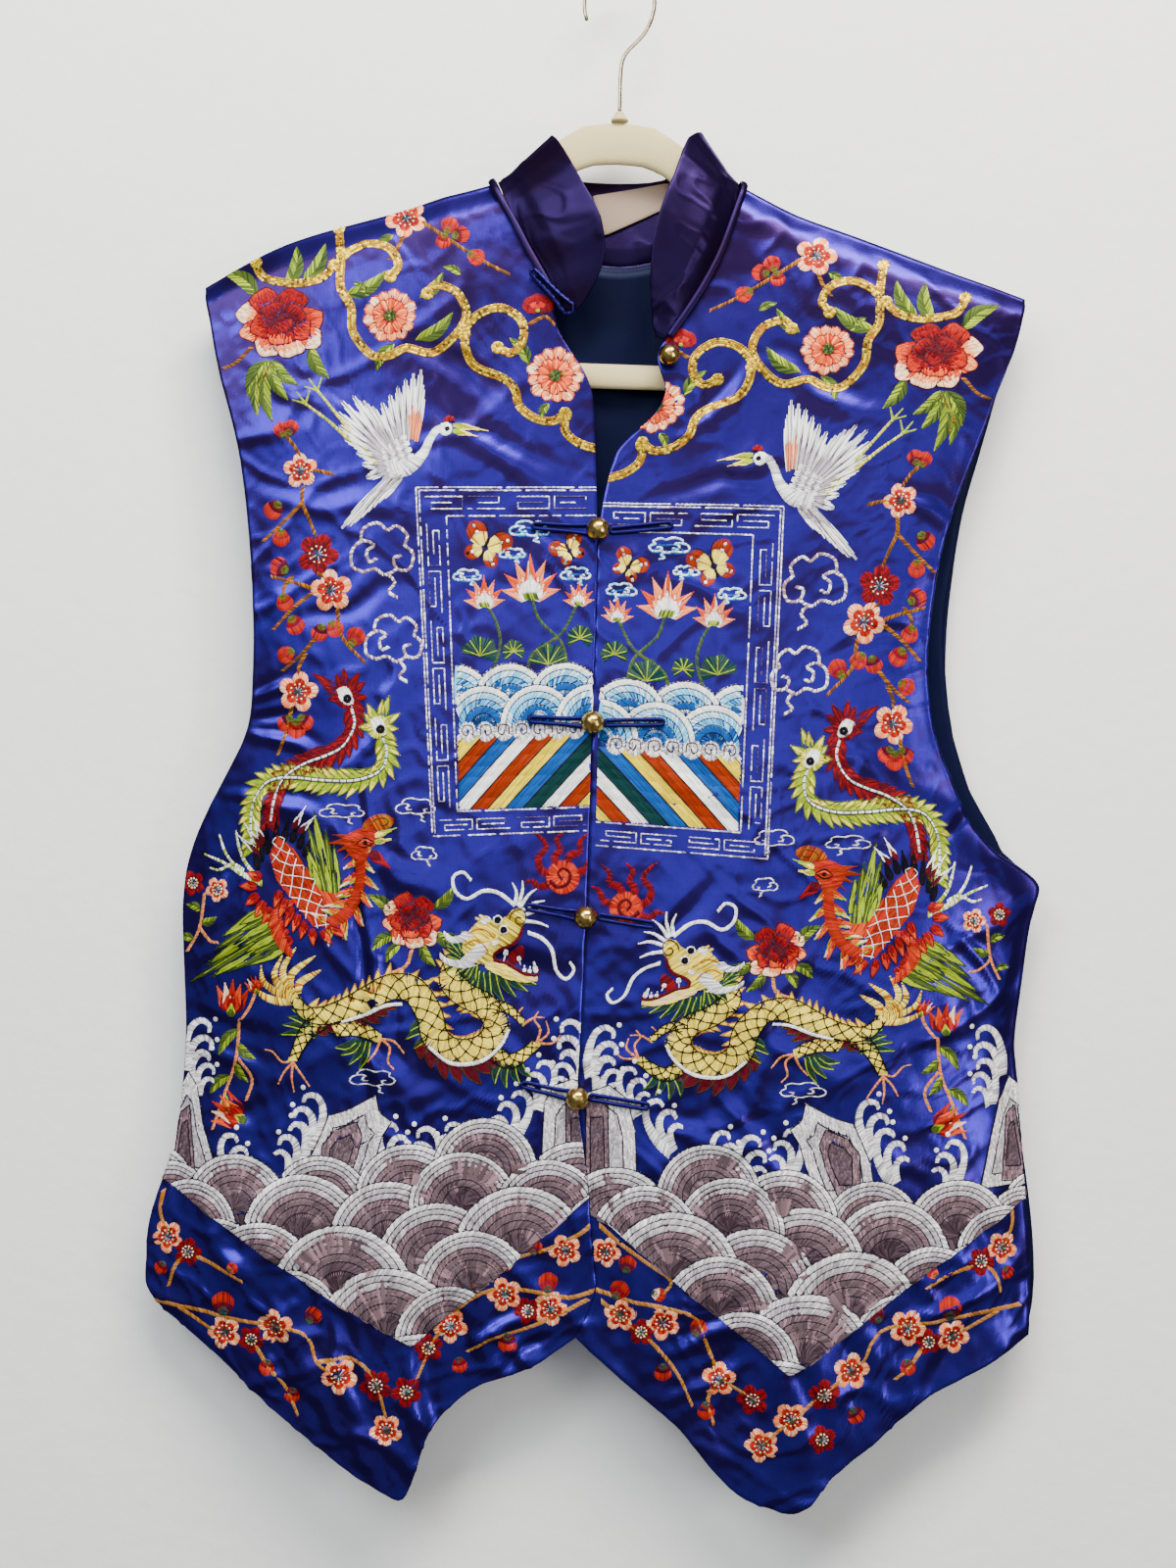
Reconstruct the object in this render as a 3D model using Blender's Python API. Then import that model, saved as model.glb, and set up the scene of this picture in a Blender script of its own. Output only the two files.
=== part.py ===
"""An embroidered silk vest hanging on its hanger, modelled in metres with +Z up.

The origin is the inside of the hook's bend, where a rod carries it. The vest faces -Y.
Every table below is in millimetres, and mesh_object scales its points to metres.
"""

import math

import bmesh
import bpy
import numpy as np
from mathutils import Vector
from mathutils.bvhtree import BVHTree

MM = 0.001
SEAM_GAP = 0.3
SATIN_WALL = 1.5
LINING_WALL = 1.0
COLLAR_WALL = 1.8
PIPING_WIDTH = 4.6
PIPING_HEIGHT = 2.4
CORD = 2.7
BUTTON = 10.3
SHANK = 3.0
HANGER_THICKNESS = 6.4
HANGER_TILT = 1.9
WIRE = 2.3
HOOK_BEND_RADIUS = 20.0
LABEL_WALL = 1.0
EYE_RADIUS = 3.5
TAIL_RADIUS = 1.65
CORD_CLEARANCE = 0.25
COLLAR_SHANK = 2.0
PIPING_CLEARANCE = 0.4
PIPING_STEP = 0.2
PROBE_REACH = 12.0
UNDERARM_Z = -500.0
LINING_INSET_SIDE = 9.0
LINING_INSET_ARMHOLE = 1.6
LINING_LIFT_HEM = 8.0
LINING_RISE_NECK = 1.5
LINING_DROP_SHOULDER = 3.0
LINING_GAP = 1.1
GRID_STEPS = 2
DEPTH = np.array((0.0, 1.0, 0.0))

BLUE_SATIN = ((0.030, 0.036, 0.390, 1), 0.34, 0.0)
NAVY_LINING = ((0.008, 0.016, 0.075, 1), 0.55, 0.0)
CREAM_FLOCK = ((0.820, 0.740, 0.560, 1), 0.85, 0.0)
LABEL_TAPE = ((0.780, 0.690, 0.560, 1), 0.70, 0.0)
OLD_BRASS = ((0.330, 0.250, 0.055, 1), 0.28, 1.0)
GILT_STEEL = ((0.560, 0.430, 0.230, 1), 0.25, 1.0)

# The wearer's right front, on the viewer's left, one row for each section from hem to shoulder.
# outer_x, outer_z, inner_x, inner_z, edge_depth, middle_depth
FRONT_RIGHT = (
    (-258.0, -760.0, -25.6, -772.0, 5.0, 22.0),
    (-268.0, -744.0, -14.0, -744.0, 4.5, 23.0),
    (-268.0, -720.0, -16.2, -718.0, 4.0, 24.0),
    (-261.0, -692.0, -17.8, -692.0, 3.0, 25.0),
    (-252.0, -663.0, -21.2, -662.0, 1.65, 26.0),
    (-248.0, -634.0, -23.9, -636.0, 1.65, 26.0),
    (-246.0, -601.0, -22.2, -600.0, 1.65, 26.0),
    (-247.0, -570.0, -20.7, -566.0, 1.65, 26.0),
    (-248.0, -536.0, -19.2, -533.0, 1.65, 25.5),
    (-245.0, -508.0, -18.2, -503.0, 1.65, 25.0),
    (-232.0, -476.0, -17.0, -470.0, 6.0, 24.0),
    (-219.0, -452.0, -16.2, -440.0, 9.0, 23.0),
    (-208.0, -424.0, -15.2, -408.0, 11.0, 22.0),
    (-206.0, -381.0, -13.7, -368.0, 12.0, 20.5),
    (-207.0, -347.0, -13.0, -334.0, 12.0, 19.0),
    (-209.0, -318.0, -13.0, -310.0, 12.0, 18.0),
    (-214.0, -278.0, -13.8, -280.0, 11.5, 16.5),
    (-219.5, -254.0, -15.2, -247.0, 11.0, 15.0),
    (-225.0, -234.0, -23.0, -227.0, 10.0, 14.0),
    (-229.0, -215.0, -34.5, -208.0, 9.0, 13.0),
    (-231.5, -201.0, -39.0, -186.0, 8.0, 12.0),
    (-233.5, -192.0, -50.0, -164.0, 7.0, 10.0),
    (-234.7, -186.0, -69.0, -129.5, 6.2, 6.4),
    (-235.0, -181.5, -71.0, -122.5, 1.65, 1.65),
)
# The wearer's left front, on the viewer's right.
# outer_x, outer_z, inner_x, inner_z, edge_depth, middle_depth
FRONT_LEFT = (
    (231.0, -774.0, -25.1, -771.6, 5.0, 22.0),
    (232.0, -750.0, -13.4, -744.0, 4.5, 23.0),
    (231.5, -722.0, -15.6, -718.0, 4.0, 24.0),
    (229.5, -694.0, -17.2, -692.0, 3.0, 25.0),
    (228.0, -667.0, -20.6, -662.0, 1.65, 26.0),
    (226.0, -634.0, -23.3, -636.0, 1.65, 26.0),
    (224.0, -610.0, -21.6, -600.0, 1.65, 26.0),
    (228.0, -577.0, -20.1, -566.0, 1.65, 26.0),
    (232.5, -545.0, -18.6, -533.0, 1.65, 25.5),
    (238.0, -521.0, -17.6, -503.0, 1.65, 25.0),
    (215.0, -503.5, -16.4, -472.0, 6.0, 24.0),
    (198.0, -485.0, -15.6, -441.0, 9.0, 23.0),
    (186.0, -459.0, -14.6, -408.0, 11.0, 22.0),
    (176.0, -430.0, -13.1, -368.0, 12.0, 20.5),
    (173.0, -395.0, -12.4, -334.0, 12.0, 19.0),
    (176.0, -360.0, -10.0, -308.0, 12.0, 18.0),
    (183.0, -324.0, -6.0, -290.0, 11.5, 17.0),
    (193.0, -294.0, -1.5, -276.5, 11.0, 16.5),
    (205.0, -263.0, 8.0, -266.0, 11.0, 15.5),
    (212.0, -243.5, 19.0, -256.0, 10.5, 15.0),
    (218.0, -229.0, 25.9, -241.0, 10.0, 14.0),
    (222.5, -218.0, 21.0, -223.0, 9.0, 13.5),
    (225.5, -208.0, 31.5, -205.0, 8.0, 12.5),
    (227.8, -199.0, 52.0, -174.0, 7.0, 10.5),
    (229.6, -192.5, 68.5, -130.0, 6.2, 6.4),
    (230.0, -188.0, 70.0, -124.5, 1.65, 1.65),
)
# The whole back. The armhole on the viewer's right stands past the front's.
# right_x, right_z, left_x, left_z, edge_depth, middle_depth
BACK = (
    (-253.0, -762.0, 233.0, -774.0, 5.0, 9.0),
    (-262.0, -745.0, 236.0, -751.0, 5.0, 9.5),
    (-262.0, -720.0, 235.5, -723.0, 4.0, 10.0),
    (-256.0, -692.0, 232.5, -695.0, 3.0, 11.0),
    (-249.0, -663.0, 228.5, -667.0, 1.65, 12.0),
    (-246.0, -634.0, 226.2, -634.0, 1.65, 12.5),
    (-244.0, -601.0, 224.3, -610.0, 1.65, 13.0),
    (-245.0, -570.0, 228.4, -577.0, 1.65, 13.0),
    (-246.0, -536.0, 232.8, -545.0, 1.65, 13.0),
    (-243.0, -508.0, 237.0, -520.0, 1.65, 13.0),
    (-229.0, -478.0, 220.0, -504.0, 5.5, 13.0),
    (-214.0, -453.0, 206.0, -481.0, 8.0, 13.0),
    (-202.0, -424.0, 195.5, -452.0, 9.5, 13.0),
    (-199.0, -381.0, 187.5, -418.0, 10.0, 13.0),
    (-200.0, -347.0, 187.0, -380.0, 10.0, 13.0),
    (-203.0, -318.0, 190.5, -345.0, 10.0, 13.0),
    (-209.0, -278.0, 196.5, -308.0, 10.0, 13.0),
    (-216.0, -252.0, 205.5, -276.0, 9.5, 12.5),
    (-223.0, -230.0, 213.5, -248.0, 9.0, 12.5),
    (-229.5, -207.0, 222.5, -216.0, 9.0, 12.0),
    (-234.7, -187.0, 229.6, -193.5, 7.4, 7.8),
    (-235.0, -182.5, 230.0, -189.0, 1.65, 1.65),
)
# Each front's pointed hem and its shoulder, from the outer corner to the centre, as x, z.
HEM_RIGHT = (
    (-258.0, -760.0),
    (-225.0, -785.0),
    (-196.0, -811.0),
    (-167.0, -834.0),
    (-143.0, -852.0),
    (-122.0, -862.0),
    (-107.0, -825.0),
    (-80.0, -799.0),
    (-50.0, -788.0),
    (-25.6, -772.0),
)
HEM_LEFT = (
    (231.0, -774.0),
    (206.0, -789.0),
    (172.0, -806.0),
    (145.0, -828.0),
    (117.0, -851.0),
    (97.0, -870.0),
    (66.0, -860.0),
    (34.0, -824.0),
    (2.0, -796.0),
    (-25.1, -771.6),
)
SHOULDER_RIGHT = (
    (-235.0, -181.5),
    (-213.0, -168.5),
    (-192.0, -158.0),
    (-172.0, -151.0),
    (-152.0, -145.5),
    (-133.0, -140.5),
    (-116.0, -135.5),
    (-100.0, -130.0),
    (-86.0, -126.5),
    (-71.0, -122.5),
)
SHOULDER_LEFT = (
    (230.0, -188.0),
    (212.0, -181.0),
    (192.0, -174.0),
    (172.0, -166.5),
    (152.0, -159.0),
    (133.0, -152.0),
    (116.0, -146.0),
    (100.0, -140.0),
    (86.0, -133.0),
    (70.0, -124.5),
)
# The back's hem, nearly straight, and its top edge: shoulder, neckline and shoulder, as x, z.
HEM_BACK = (
    (-253.0, -762.0),
    (-213.0, -768.0),
    (-173.0, -773.0),
    (-132.0, -776.0),
    (-91.0, -777.5),
    (-50.0, -778.0),
    (-10.0, -778.0),
    (30.0, -778.0),
    (71.0, -778.0),
    (112.0, -778.0),
    (153.0, -777.0),
    (193.0, -776.0),
    (233.0, -774.0),
)
TOP_BACK = (
    (-235.0, -182.5),
    (-180.0, -154.5),
    (-124.0, -138.5),
    (-71.5, -123.5),
    (-61.0, -140.5),
    (-38.0, -158.0),
    (0.0, -167.0),
    (38.0, -158.0),
    (60.0, -140.5),
    (69.5, -125.5),
    (124.0, -150.5),
    (178.0, -170.0),
    (230.0, -189.0),
)
NECK_HALF_WIDTH = 71.5
NECK_FADE = 14.0
NECK_BACK_DEPTH = 12.5

# The largest folds. A positive height stands out from the body, a negative one is a trough.
# from_x, from_z, to_x, to_z, width, height
FRONT_FOLDS = (
    (-215.0, -262.0, -150.0, -272.0, 9.0, 1.6),
    (-178.0, -545.0, -245.0, -560.0, 13.0, 1.8),
    (-246.0, -628.0, -165.0, -640.0, 9.0, -2.4),
    (-240.0, -650.0, -190.0, -742.0, 16.0, 3.0),
    (-215.0, -700.0, -150.0, -835.0, 17.0, 3.4),
    (-176.0, -715.0, -178.0, -805.0, 15.0, -3.0),
    (-120.0, -690.0, -128.0, -840.0, 18.0, 3.6),
    (-110.0, -720.0, -95.0, -812.0, 12.0, -3.6),
    (-70.0, -705.0, -62.0, -786.0, 12.0, 3.0),
    (-44.0, -760.0, -86.0, -792.0, 7.0, -2.4),
    (-60.0, -262.0, -120.0, -300.0, 14.0, 1.8),
    (-28.0, -560.0, -95.0, -600.0, 15.0, -1.6),
    (34.0, -322.0, 110.0, -262.0, 12.0, 2.0),
    (40.0, -345.0, 130.0, -300.0, 13.0, -1.6),
    (203.0, -552.0, 231.0, -592.0, 7.0, 2.4),
    (170.0, -528.0, 222.0, -574.0, 12.0, -1.8),
    (215.0, -640.0, 190.0, -750.0, 17.0, 2.6),
    (160.0, -700.0, 150.0, -815.0, 18.0, -3.2),
    (105.0, -690.0, 98.0, -858.0, 20.0, 3.6),
    (56.0, -740.0, 68.0, -852.0, 15.0, -3.4),
    (30.0, -819.0, 74.0, -806.0, 11.0, -2.0),
    (14.0, -700.0, 12.0, -795.0, 14.0, 3.0),
    (60.0, -585.0, 130.0, -640.0, 18.0, 1.8),
)
BACK_FOLDS = (
    (-190.0, -300.0, -60.0, -350.0, 20.0, 1.6),
    (180.0, -330.0, 60.0, -360.0, 22.0, 1.5),
    (-230.0, -540.0, -120.0, -620.0, 18.0, -1.8),
    (220.0, -560.0, 110.0, -640.0, 18.0, -1.8),
    (-150.0, -560.0, -165.0, -770.0, 26.0, 2.0),
    (-60.0, -520.0, -55.0, -775.0, 24.0, -1.6),
    (30.0, -540.0, 40.0, -775.0, 26.0, 2.0),
    (130.0, -560.0, 150.0, -772.0, 24.0, -1.6),
)

# The stand collar, from its right front end round the back of the neck to its left end.
# turn is the side that its outer face looks to: 0 front, 90 the shoulder, 180 the back.
# base_x, base_y, base_z, top_x, top_y, top_z, bulge, turn
COLLAR = (
    (-29.5, -14.5, -198.5, -24.0, -16.0, -197.0, 0.0, 0.0),
    (-34.5, -14.5, -188.0, -15.0, -21.0, -184.5, 1.0, 5.0),
    (-41.5, -13.0, -175.0, -8.5, -26.0, -166.0, 2.0, 10.0),
    (-50.0, -11.5, -160.0, -11.0, -28.0, -148.0, 3.0, 15.0),
    (-57.5, -9.0, -144.0, -20.5, -25.0, -129.0, 3.0, 30.0),
    (-64.5, -5.5, -131.0, -31.5, -14.0, -106.0, 2.0, 60.0),
    (-67.6, 0.0, -121.4, -38.0, -1.0, -94.0, 1.0, 90.0),
    (-65.0, 5.5, -126.5, -39.0, 9.0, -99.0, 1.0, 120.0),
    (-57.0, 9.5, -140.5, -35.5, 13.0, -110.0, 0.5, 150.0),
    (-40.0, 12.0, -153.5, -28.0, 15.0, -115.5, 0.0, 165.0),
    (-20.0, 13.0, -162.0, -15.0, 16.0, -117.0, 0.0, 175.0),
    (0.0, 13.5, -165.0, 1.0, 16.5, -117.5, 0.0, 180.0),
    (20.0, 13.0, -162.0, 17.0, 16.0, -117.0, 0.0, 185.0),
    (40.0, 12.0, -153.5, 31.0, 15.0, -113.0, 0.0, 195.0),
    (56.0, 9.5, -141.0, 40.0, 12.0, -104.0, 0.5, 210.0),
    (63.0, 5.5, -127.5, 45.0, 8.0, -95.0, 1.0, 240.0),
    (65.6, 0.0, -122.6, 46.0, -1.0, -92.5, 1.0, 270.0),
    (64.5, -5.5, -131.5, 38.5, -13.0, -99.0, 3.0, 300.0),
    (60.5, -9.0, -145.0, 31.0, -22.0, -120.0, 5.0, 330.0),
    (56.0, -11.5, -159.0, 23.0, -27.0, -142.0, 6.0, 345.0),
    (48.5, -13.0, -175.0, 18.0, -28.0, -163.0, 5.0, 350.0),
    (38.5, -14.5, -192.0, 16.8, -25.0, -184.0, 3.0, 355.0),
    (28.5, -15.0, -206.0, 17.8, -19.5, -201.0, 1.0, 358.0),
    (22.5, -15.5, -215.0, 18.8, -16.8, -212.5, 0.0, 360.0),
)
COLLAR_FOLD_AT = (0.0, 0.14, 0.32, 0.62, 1.0)
COLLAR_FOLD_OUT = (0.0, 0.8, 1.0, 0.5, 0.0)

# The corded fastenings: button x and z, then each cord's outer end, and the cords' tilt.
# button_x, button_z, right_end_x, left_end_x, right_tilt, left_tilt
FASTENINGS = (
    (-12.4, -321.2, -47.5, 27.5, 2.5, 3.0),
    (-15.4, -429.0, -49.5, 23.0, 2.0, 0.5),
    (-19.2, -536.8, -51.0, 17.5, 5.5, -4.5),
    (-23.8, -636.9, -53.5, 14.5, 7.0, -5.0),
)
COLLAR_BUTTON = (27.4, -223.0)
COLLAR_LOOP = ((-48.5, -176.0), (-29.5, -196.5))

# The hanger's bent outline on the viewer's right, from the arch over the arm to the bar.
# centre_x, centre_z, width
HANGER_HALF = (
    (0.0, -99.0, 24.0),
    (17.0, -100.5, 23.5),
    (31.0, -108.0, 20.0),
    (43.0, -119.5, 17.0),
    (54.0, -132.0, 17.0),
    (68.0, -142.5, 17.5),
    (86.0, -147.0, 17.0),
    (110.0, -154.0, 16.5),
    (140.0, -163.5, 16.0),
    (172.0, -174.0, 15.0),
    (192.0, -181.0, 14.5),
    (205.0, -189.5, 14.0),
    (209.5, -202.0, 14.0),
    (204.0, -217.5, 14.0),
    (192.0, -227.5, 14.0),
    (174.0, -231.5, 14.0),
    (118.0, -231.5, 14.0),
    (60.0, -231.5, 14.0),
    (0.0, -231.5, 14.0),
)
# The hanger's neck is turned round the hook's wire: radius, z.
HANGER_NECK = (
    (5.2, -86.6),
    (4.8, -85.0),
    (3.0, -83.2),
    (2.4, -81.4),
)
# The hook's stem, bent out at the top to meet the round bend, as x, z.
HOOK_STEM = (
    (0.0, -81.0),
    (0.2, -68.0),
    (0.8, -56.0),
    (3.0, -48.5),
    (8.5, -42.5),
    (14.5, -36.0),
    (18.2, -28.5),
)
HOOK_TIP = ((-19.8, -24.0), (-18.6, -29.0))

# The blank neck label, sewn aslant inside the back of the collar, as x, z.
LABEL_CORNERS = ((-8.8, -148.6), (26.5, -132.8), (28.3, -117.8), (-15.4, -125.0))


def clear_scene():
    for item in list(bpy.data.objects):
        bpy.data.objects.remove(item, do_unlink=True)


def finish(name, colour, roughness, metallic):
    made = bpy.data.materials.new(name)
    made.use_nodes = True
    shader = made.node_tree.nodes["Principled BSDF"]
    shader.inputs["Base Color"].default_value = colour
    shader.inputs["Roughness"].default_value = roughness
    shader.inputs["Metallic"].default_value = metallic
    return made


def mesh_object(name, points, faces, look):
    """Makes one closed, smooth-shaded object from points in millimetres."""
    mesh = bpy.data.meshes.new(name)
    scaled = [tuple(float(value) * MM for value in point) for point in points]
    mesh.from_pydata(scaled, [], faces)
    shape = bmesh.new()
    shape.from_mesh(mesh)
    bmesh.ops.recalc_face_normals(shape, faces=shape.faces)
    shape.to_mesh(mesh)
    shape.free()
    mesh.shade_smooth()
    mesh.set_sharp_from_angle(angle=math.radians(40))
    made = bpy.data.objects.new(name, mesh)
    made.data.materials.append(finish(name, *look))
    bpy.context.scene.collection.objects.link(made)
    return made


def refine(rows, steps):
    """Runs a smooth curve through a table's rows that never overshoots them."""
    rows = np.asarray(rows, float)
    change = np.diff(rows, axis=0)
    before, after = change[:-1], change[1:]
    same_way = before * after > 0
    total = np.where(same_way, before + after, 1.0)
    slope = np.zeros_like(rows)
    slope[0], slope[-1] = change[0], change[-1]
    slope[1:-1] = np.where(same_way, 2 * before * after / total, 0.0)
    out = []
    for k in range(len(rows) - 1):
        for step in range(steps):
            t = step / steps
            out.append(
                (1 + 2 * t) * (1 - t) ** 2 * rows[k]
                + t * (1 - t) ** 2 * slope[k]
                + t * t * (3 - 2 * t) * rows[k + 1]
                + t * t * (t - 1) * slope[k + 1]
            )
    out.append(rows[-1])
    return np.array(out)


def fold_depth(x, z, folds):
    """The depth that the folds add at a point: a soft ridge along each fold's line."""
    total = 0.0
    for from_x, from_z, to_x, to_z, width, height in folds:
        run_x, run_z = to_x - from_x, to_z - from_z
        along = ((x - from_x) * run_x + (z - from_z) * run_z) / (run_x**2 + run_z**2)
        held = min(max(along, 0.0), 1.0)
        off = math.hypot(x - from_x - held * run_x, z - from_z - held * run_z)
        fade = math.sin(math.pi * (0.12 + 0.76 * held))
        total += height * fade * math.exp(-((off / width) ** 2))
    return total


def front_crown(share):
    """How far a front has come out from its side edge, flat from there to the centre."""
    return 1 - (1 - min(share / 0.42, 1.0)) ** 2.4


def back_crown(share):
    """The same across the whole back, with a side edge at each end."""
    return 1 - (1 - min(min(share, 1 - share) / 0.22, 1.0)) ** 2.4


def neck_share(x):
    """1 in the middle of the back's neckline, fading to 0 where it meets a shoulder."""
    return min(1.0, max(0.0, (NECK_HALF_WIDTH - abs(x)) / NECK_FADE))


def panel_points(rows, bottom, top, crown, folds, facing):
    """Fills the outline between the section ends, the hem and the top edge with a grid."""
    low, high = refine(bottom, GRID_STEPS), refine(top, GRID_STEPS)
    count = len(low)
    start_z, end_z = rows[0][1], rows[-1][1]
    grid = np.zeros((len(rows), count, 3))
    for r, (x0, z0, x1, z1, edge, middle) in enumerate(rows):
        rise = (z0 - start_z) / (end_z - start_z)
        for c in range(count):
            share = c / (count - 1)
            point = np.array([x0 + (x1 - x0) * share, z0 + (z1 - z0) * share])
            for line, weight, row in ((low, 1 - rise, rows[0]), (high, rise, rows[-1])):
                straight = row[:2] + (row[2:4] - row[:2]) * share
                point = point + weight * (line[c] - straight)
            out = edge + (middle - edge) * crown(share)
            if facing > 0 and r > 0.75 * len(rows):
                out = max(out, NECK_BACK_DEPTH * neck_share(point[0]))
            settle = min(1.0, (out - 1.6) / 6.0)
            out += settle * fold_depth(point[0], point[1], folds)
            grid[r, c] = (point[0], facing * out, point[1])
    return grid


def grid_normals(grid, toward):
    """Unit normals of a grid of points, all on the side of the toward vector."""
    along = np.gradient(grid, axis=1)
    up = np.gradient(grid, axis=0)
    normal = np.cross(along, up)
    normal /= np.linalg.norm(normal, axis=2, keepdims=True)
    flip = np.sign((normal * toward).sum(axis=2, keepdims=True))
    normal = normal * np.where(flip == 0, 1, flip)
    for axis in (0, 1):
        around = np.concatenate((normal.take([0], axis), normal, normal.take([-1], axis)), axis)
        count = normal.shape[axis]
        before, after = around.take(range(count), axis), around.take(range(2, count + 2), axis)
        normal = (before + 2 * normal + after) / 4
    return normal / np.linalg.norm(normal, axis=2, keepdims=True)


def wall_object(name, outer, inner, look):
    """Closes two matching grids of points into one thin wall."""
    rows, columns = outer.shape[:2]
    points = [tuple(p) for p in outer.reshape(-1, 3)]
    points += [tuple(p) for p in inner.reshape(-1, 3)]
    shift = rows * columns
    faces = []
    for r in range(rows - 1):
        for c in range(columns - 1):
            a = r * columns + c
            b, c_up, a_up = a + 1, a + 1 + columns, a + columns
            faces.append((a, b, c_up, a_up))
            faces.append((a + shift, a_up + shift, c_up + shift, b + shift))
    rim = list(range(columns))
    rim += [r * columns + columns - 1 for r in range(1, rows)]
    rim += [(rows - 1) * columns + c for c in range(columns - 2, -1, -1)]
    rim += [r * columns for r in range(rows - 2, 0, -1)]
    for k, first in enumerate(rim):
        second = rim[(k + 1) % len(rim)]
        faces.append((first, first + shift, second + shift, second))
    return mesh_object(name, points, faces, look)


def tube_object(name, centres, sides, ups, looped, look):
    """Sweeps an oval along a line. ups gives each station's two half-axis vectors."""
    points = []
    for centre, (wide, high) in zip(centres, ups):
        for k in range(sides):
            angle = 2 * math.pi * (k + 0.5) / sides
            points.append(centre + wide * math.cos(angle) + high * math.sin(angle))
    faces = []
    count = len(centres)
    for s in range(count if looped else count - 1):
        here, there = s * sides, (s + 1) % count * sides
        for k in range(sides):
            nxt = (k + 1) % sides
            faces.append((here + k, here + nxt, there + nxt, there + k))
    if not looped:
        faces.append(tuple(range(sides)))
        faces.append(tuple(range((count - 1) * sides, count * sides)))
    return mesh_object(name, points, faces, look)


def round_ups(centres, radius, looped, fixed):
    """Half-axis vectors for a round cord whose line runs square to the fixed vector."""
    ups = []
    count = len(centres)
    for k in range(count):
        last = centres[k - 1] if looped or k else centres[0]
        following = centres[(k + 1) % count] if looped or k < count - 1 else centres[-1]
        line = following - last
        line = line / np.linalg.norm(line)
        side = np.cross(line, fixed)
        side = side / np.linalg.norm(side)
        high = np.cross(side, line)
        ups.append((side * radius, high * radius))
    return ups


def turned_object(name, profile, centre, axis, sides, look):
    """Turns a profile of radius and height rows about an axis, closed at both ends."""
    axis = np.array(axis, float)
    across = np.array((1.0, 0.0, 0.0))
    other = np.cross(axis, across)
    points, faces = [], []
    for radius, height in profile:
        for k in range(sides):
            angle = 2 * math.pi * k / sides
            rim = across * math.cos(angle) + other * math.sin(angle)
            points.append(np.array(centre) + axis * height + rim * radius)
    for s in range(len(profile) - 1):
        for k in range(sides):
            nxt = (k + 1) % sides
            a, b = s * sides, (s + 1) * sides
            faces.append((a + k, a + nxt, b + nxt, b + k))
    faces.append(tuple(range(sides)))
    faces.append(tuple(range((len(profile) - 1) * sides, len(profile) * sides)))
    return mesh_object(name, points, faces, look)


def joined_mesh(objects):
    """The points, in millimetres, and the faces of several objects together."""
    points, faces = [], []
    for item in objects:
        shift = len(points)
        points += [tuple(value / MM for value in v.co) for v in item.data.vertices]
        faces += [tuple(i + shift for i in p.vertices) for p in item.data.polygons]
    return points, faces


def surface_reader(objects):
    """Returns a function giving the least y of the faces met near x, z from the front."""
    tree = BVHTree.FromPolygons(*joined_mesh(objects))

    def read(x, z, spread):
        found = []
        for dx, dz in ((0, 0), (spread, 0), (-spread, 0), (0, spread), (0, -spread)):
            hit = tree.ray_cast(Vector((x + dx, -200.0, z + dz)), Vector((0, 1, 0)))[0]
            if hit is not None:
                found.append(hit.y)
        return min(found, default=None)

    return read


def build_fronts():
    """The two fronts, cut to a point at the hem, meeting edge to edge at the centre."""
    made = []
    for name, sections, hem, shoulder in (
        ("front_right", FRONT_RIGHT, HEM_RIGHT, SHOULDER_RIGHT),
        ("front_left", FRONT_LEFT, HEM_LEFT, SHOULDER_LEFT),
    ):
        rows = refine(sections, GRID_STEPS)
        outer = panel_points(rows, hem, shoulder, front_crown, FRONT_FOLDS, -1)
        inner = outer - grid_normals(outer, (0, -1, 0)) * SATIN_WALL
        made.append(wall_object(name, outer, inner, BLUE_SATIN))
    return made


def build_back():
    """The back panel. Returns its outer face, which the lining is made from."""
    rows = np.array(BACK)
    outer = panel_points(rows, HEM_BACK, TOP_BACK, back_crown, BACK_FOLDS, 1)
    normal = grid_normals(outer, (0, 1, 0))
    wall_object("back", outer, outer - normal * SATIN_WALL, BLUE_SATIN)
    return outer


def build_back_lining(outer):
    """The lining hangs inside the back, drawn in a little from its edges."""
    read = surface_reader([bpy.data.objects["back"]])
    last = len(outer) - 2
    drawn = outer[list(range(0, last - 1, 2)) + [last - 1, last]]
    middle = drawn[:, :, 0].mean(axis=1, keepdims=True)
    half = np.abs(drawn[:, :, 0] - middle).max(axis=1, keepdims=True)
    reach = np.abs(drawn[:, :, 0] - middle) / half
    inset = np.where(drawn[:, :1, 2] < UNDERARM_Z, LINING_INSET_SIDE, LINING_INSET_ARMHOLE)
    drawn[:, :, 0] -= np.sign(drawn[:, :, 0] - middle) * inset * reach**4
    drawn[0, :, 2] += LINING_LIFT_HEM
    for column in drawn[-1]:
        neck = neck_share(column[0])
        column[2] += LINING_RISE_NECK * neck - LINING_DROP_SHOULDER * (1 - neck)
    for r, row in enumerate(drawn):
        spread = 1.0 if r > len(drawn) - 3 else 5.0
        for point in row:
            point[1] = read(point[0], point[2], spread) - LINING_GAP
    inner = drawn - DEPTH * LINING_WALL
    wall_object("back_lining", drawn, inner, NAVY_LINING)


def outward(row):
    """The side that a collar section's outer face looks to."""
    turn = math.radians(row[7])
    sideways = math.copysign(abs(math.sin(turn)), row[0])
    out = np.array((0.6 * sideways, -math.cos(turn), 0.8 * abs(sideways)))
    return out / np.linalg.norm(out)


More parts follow.
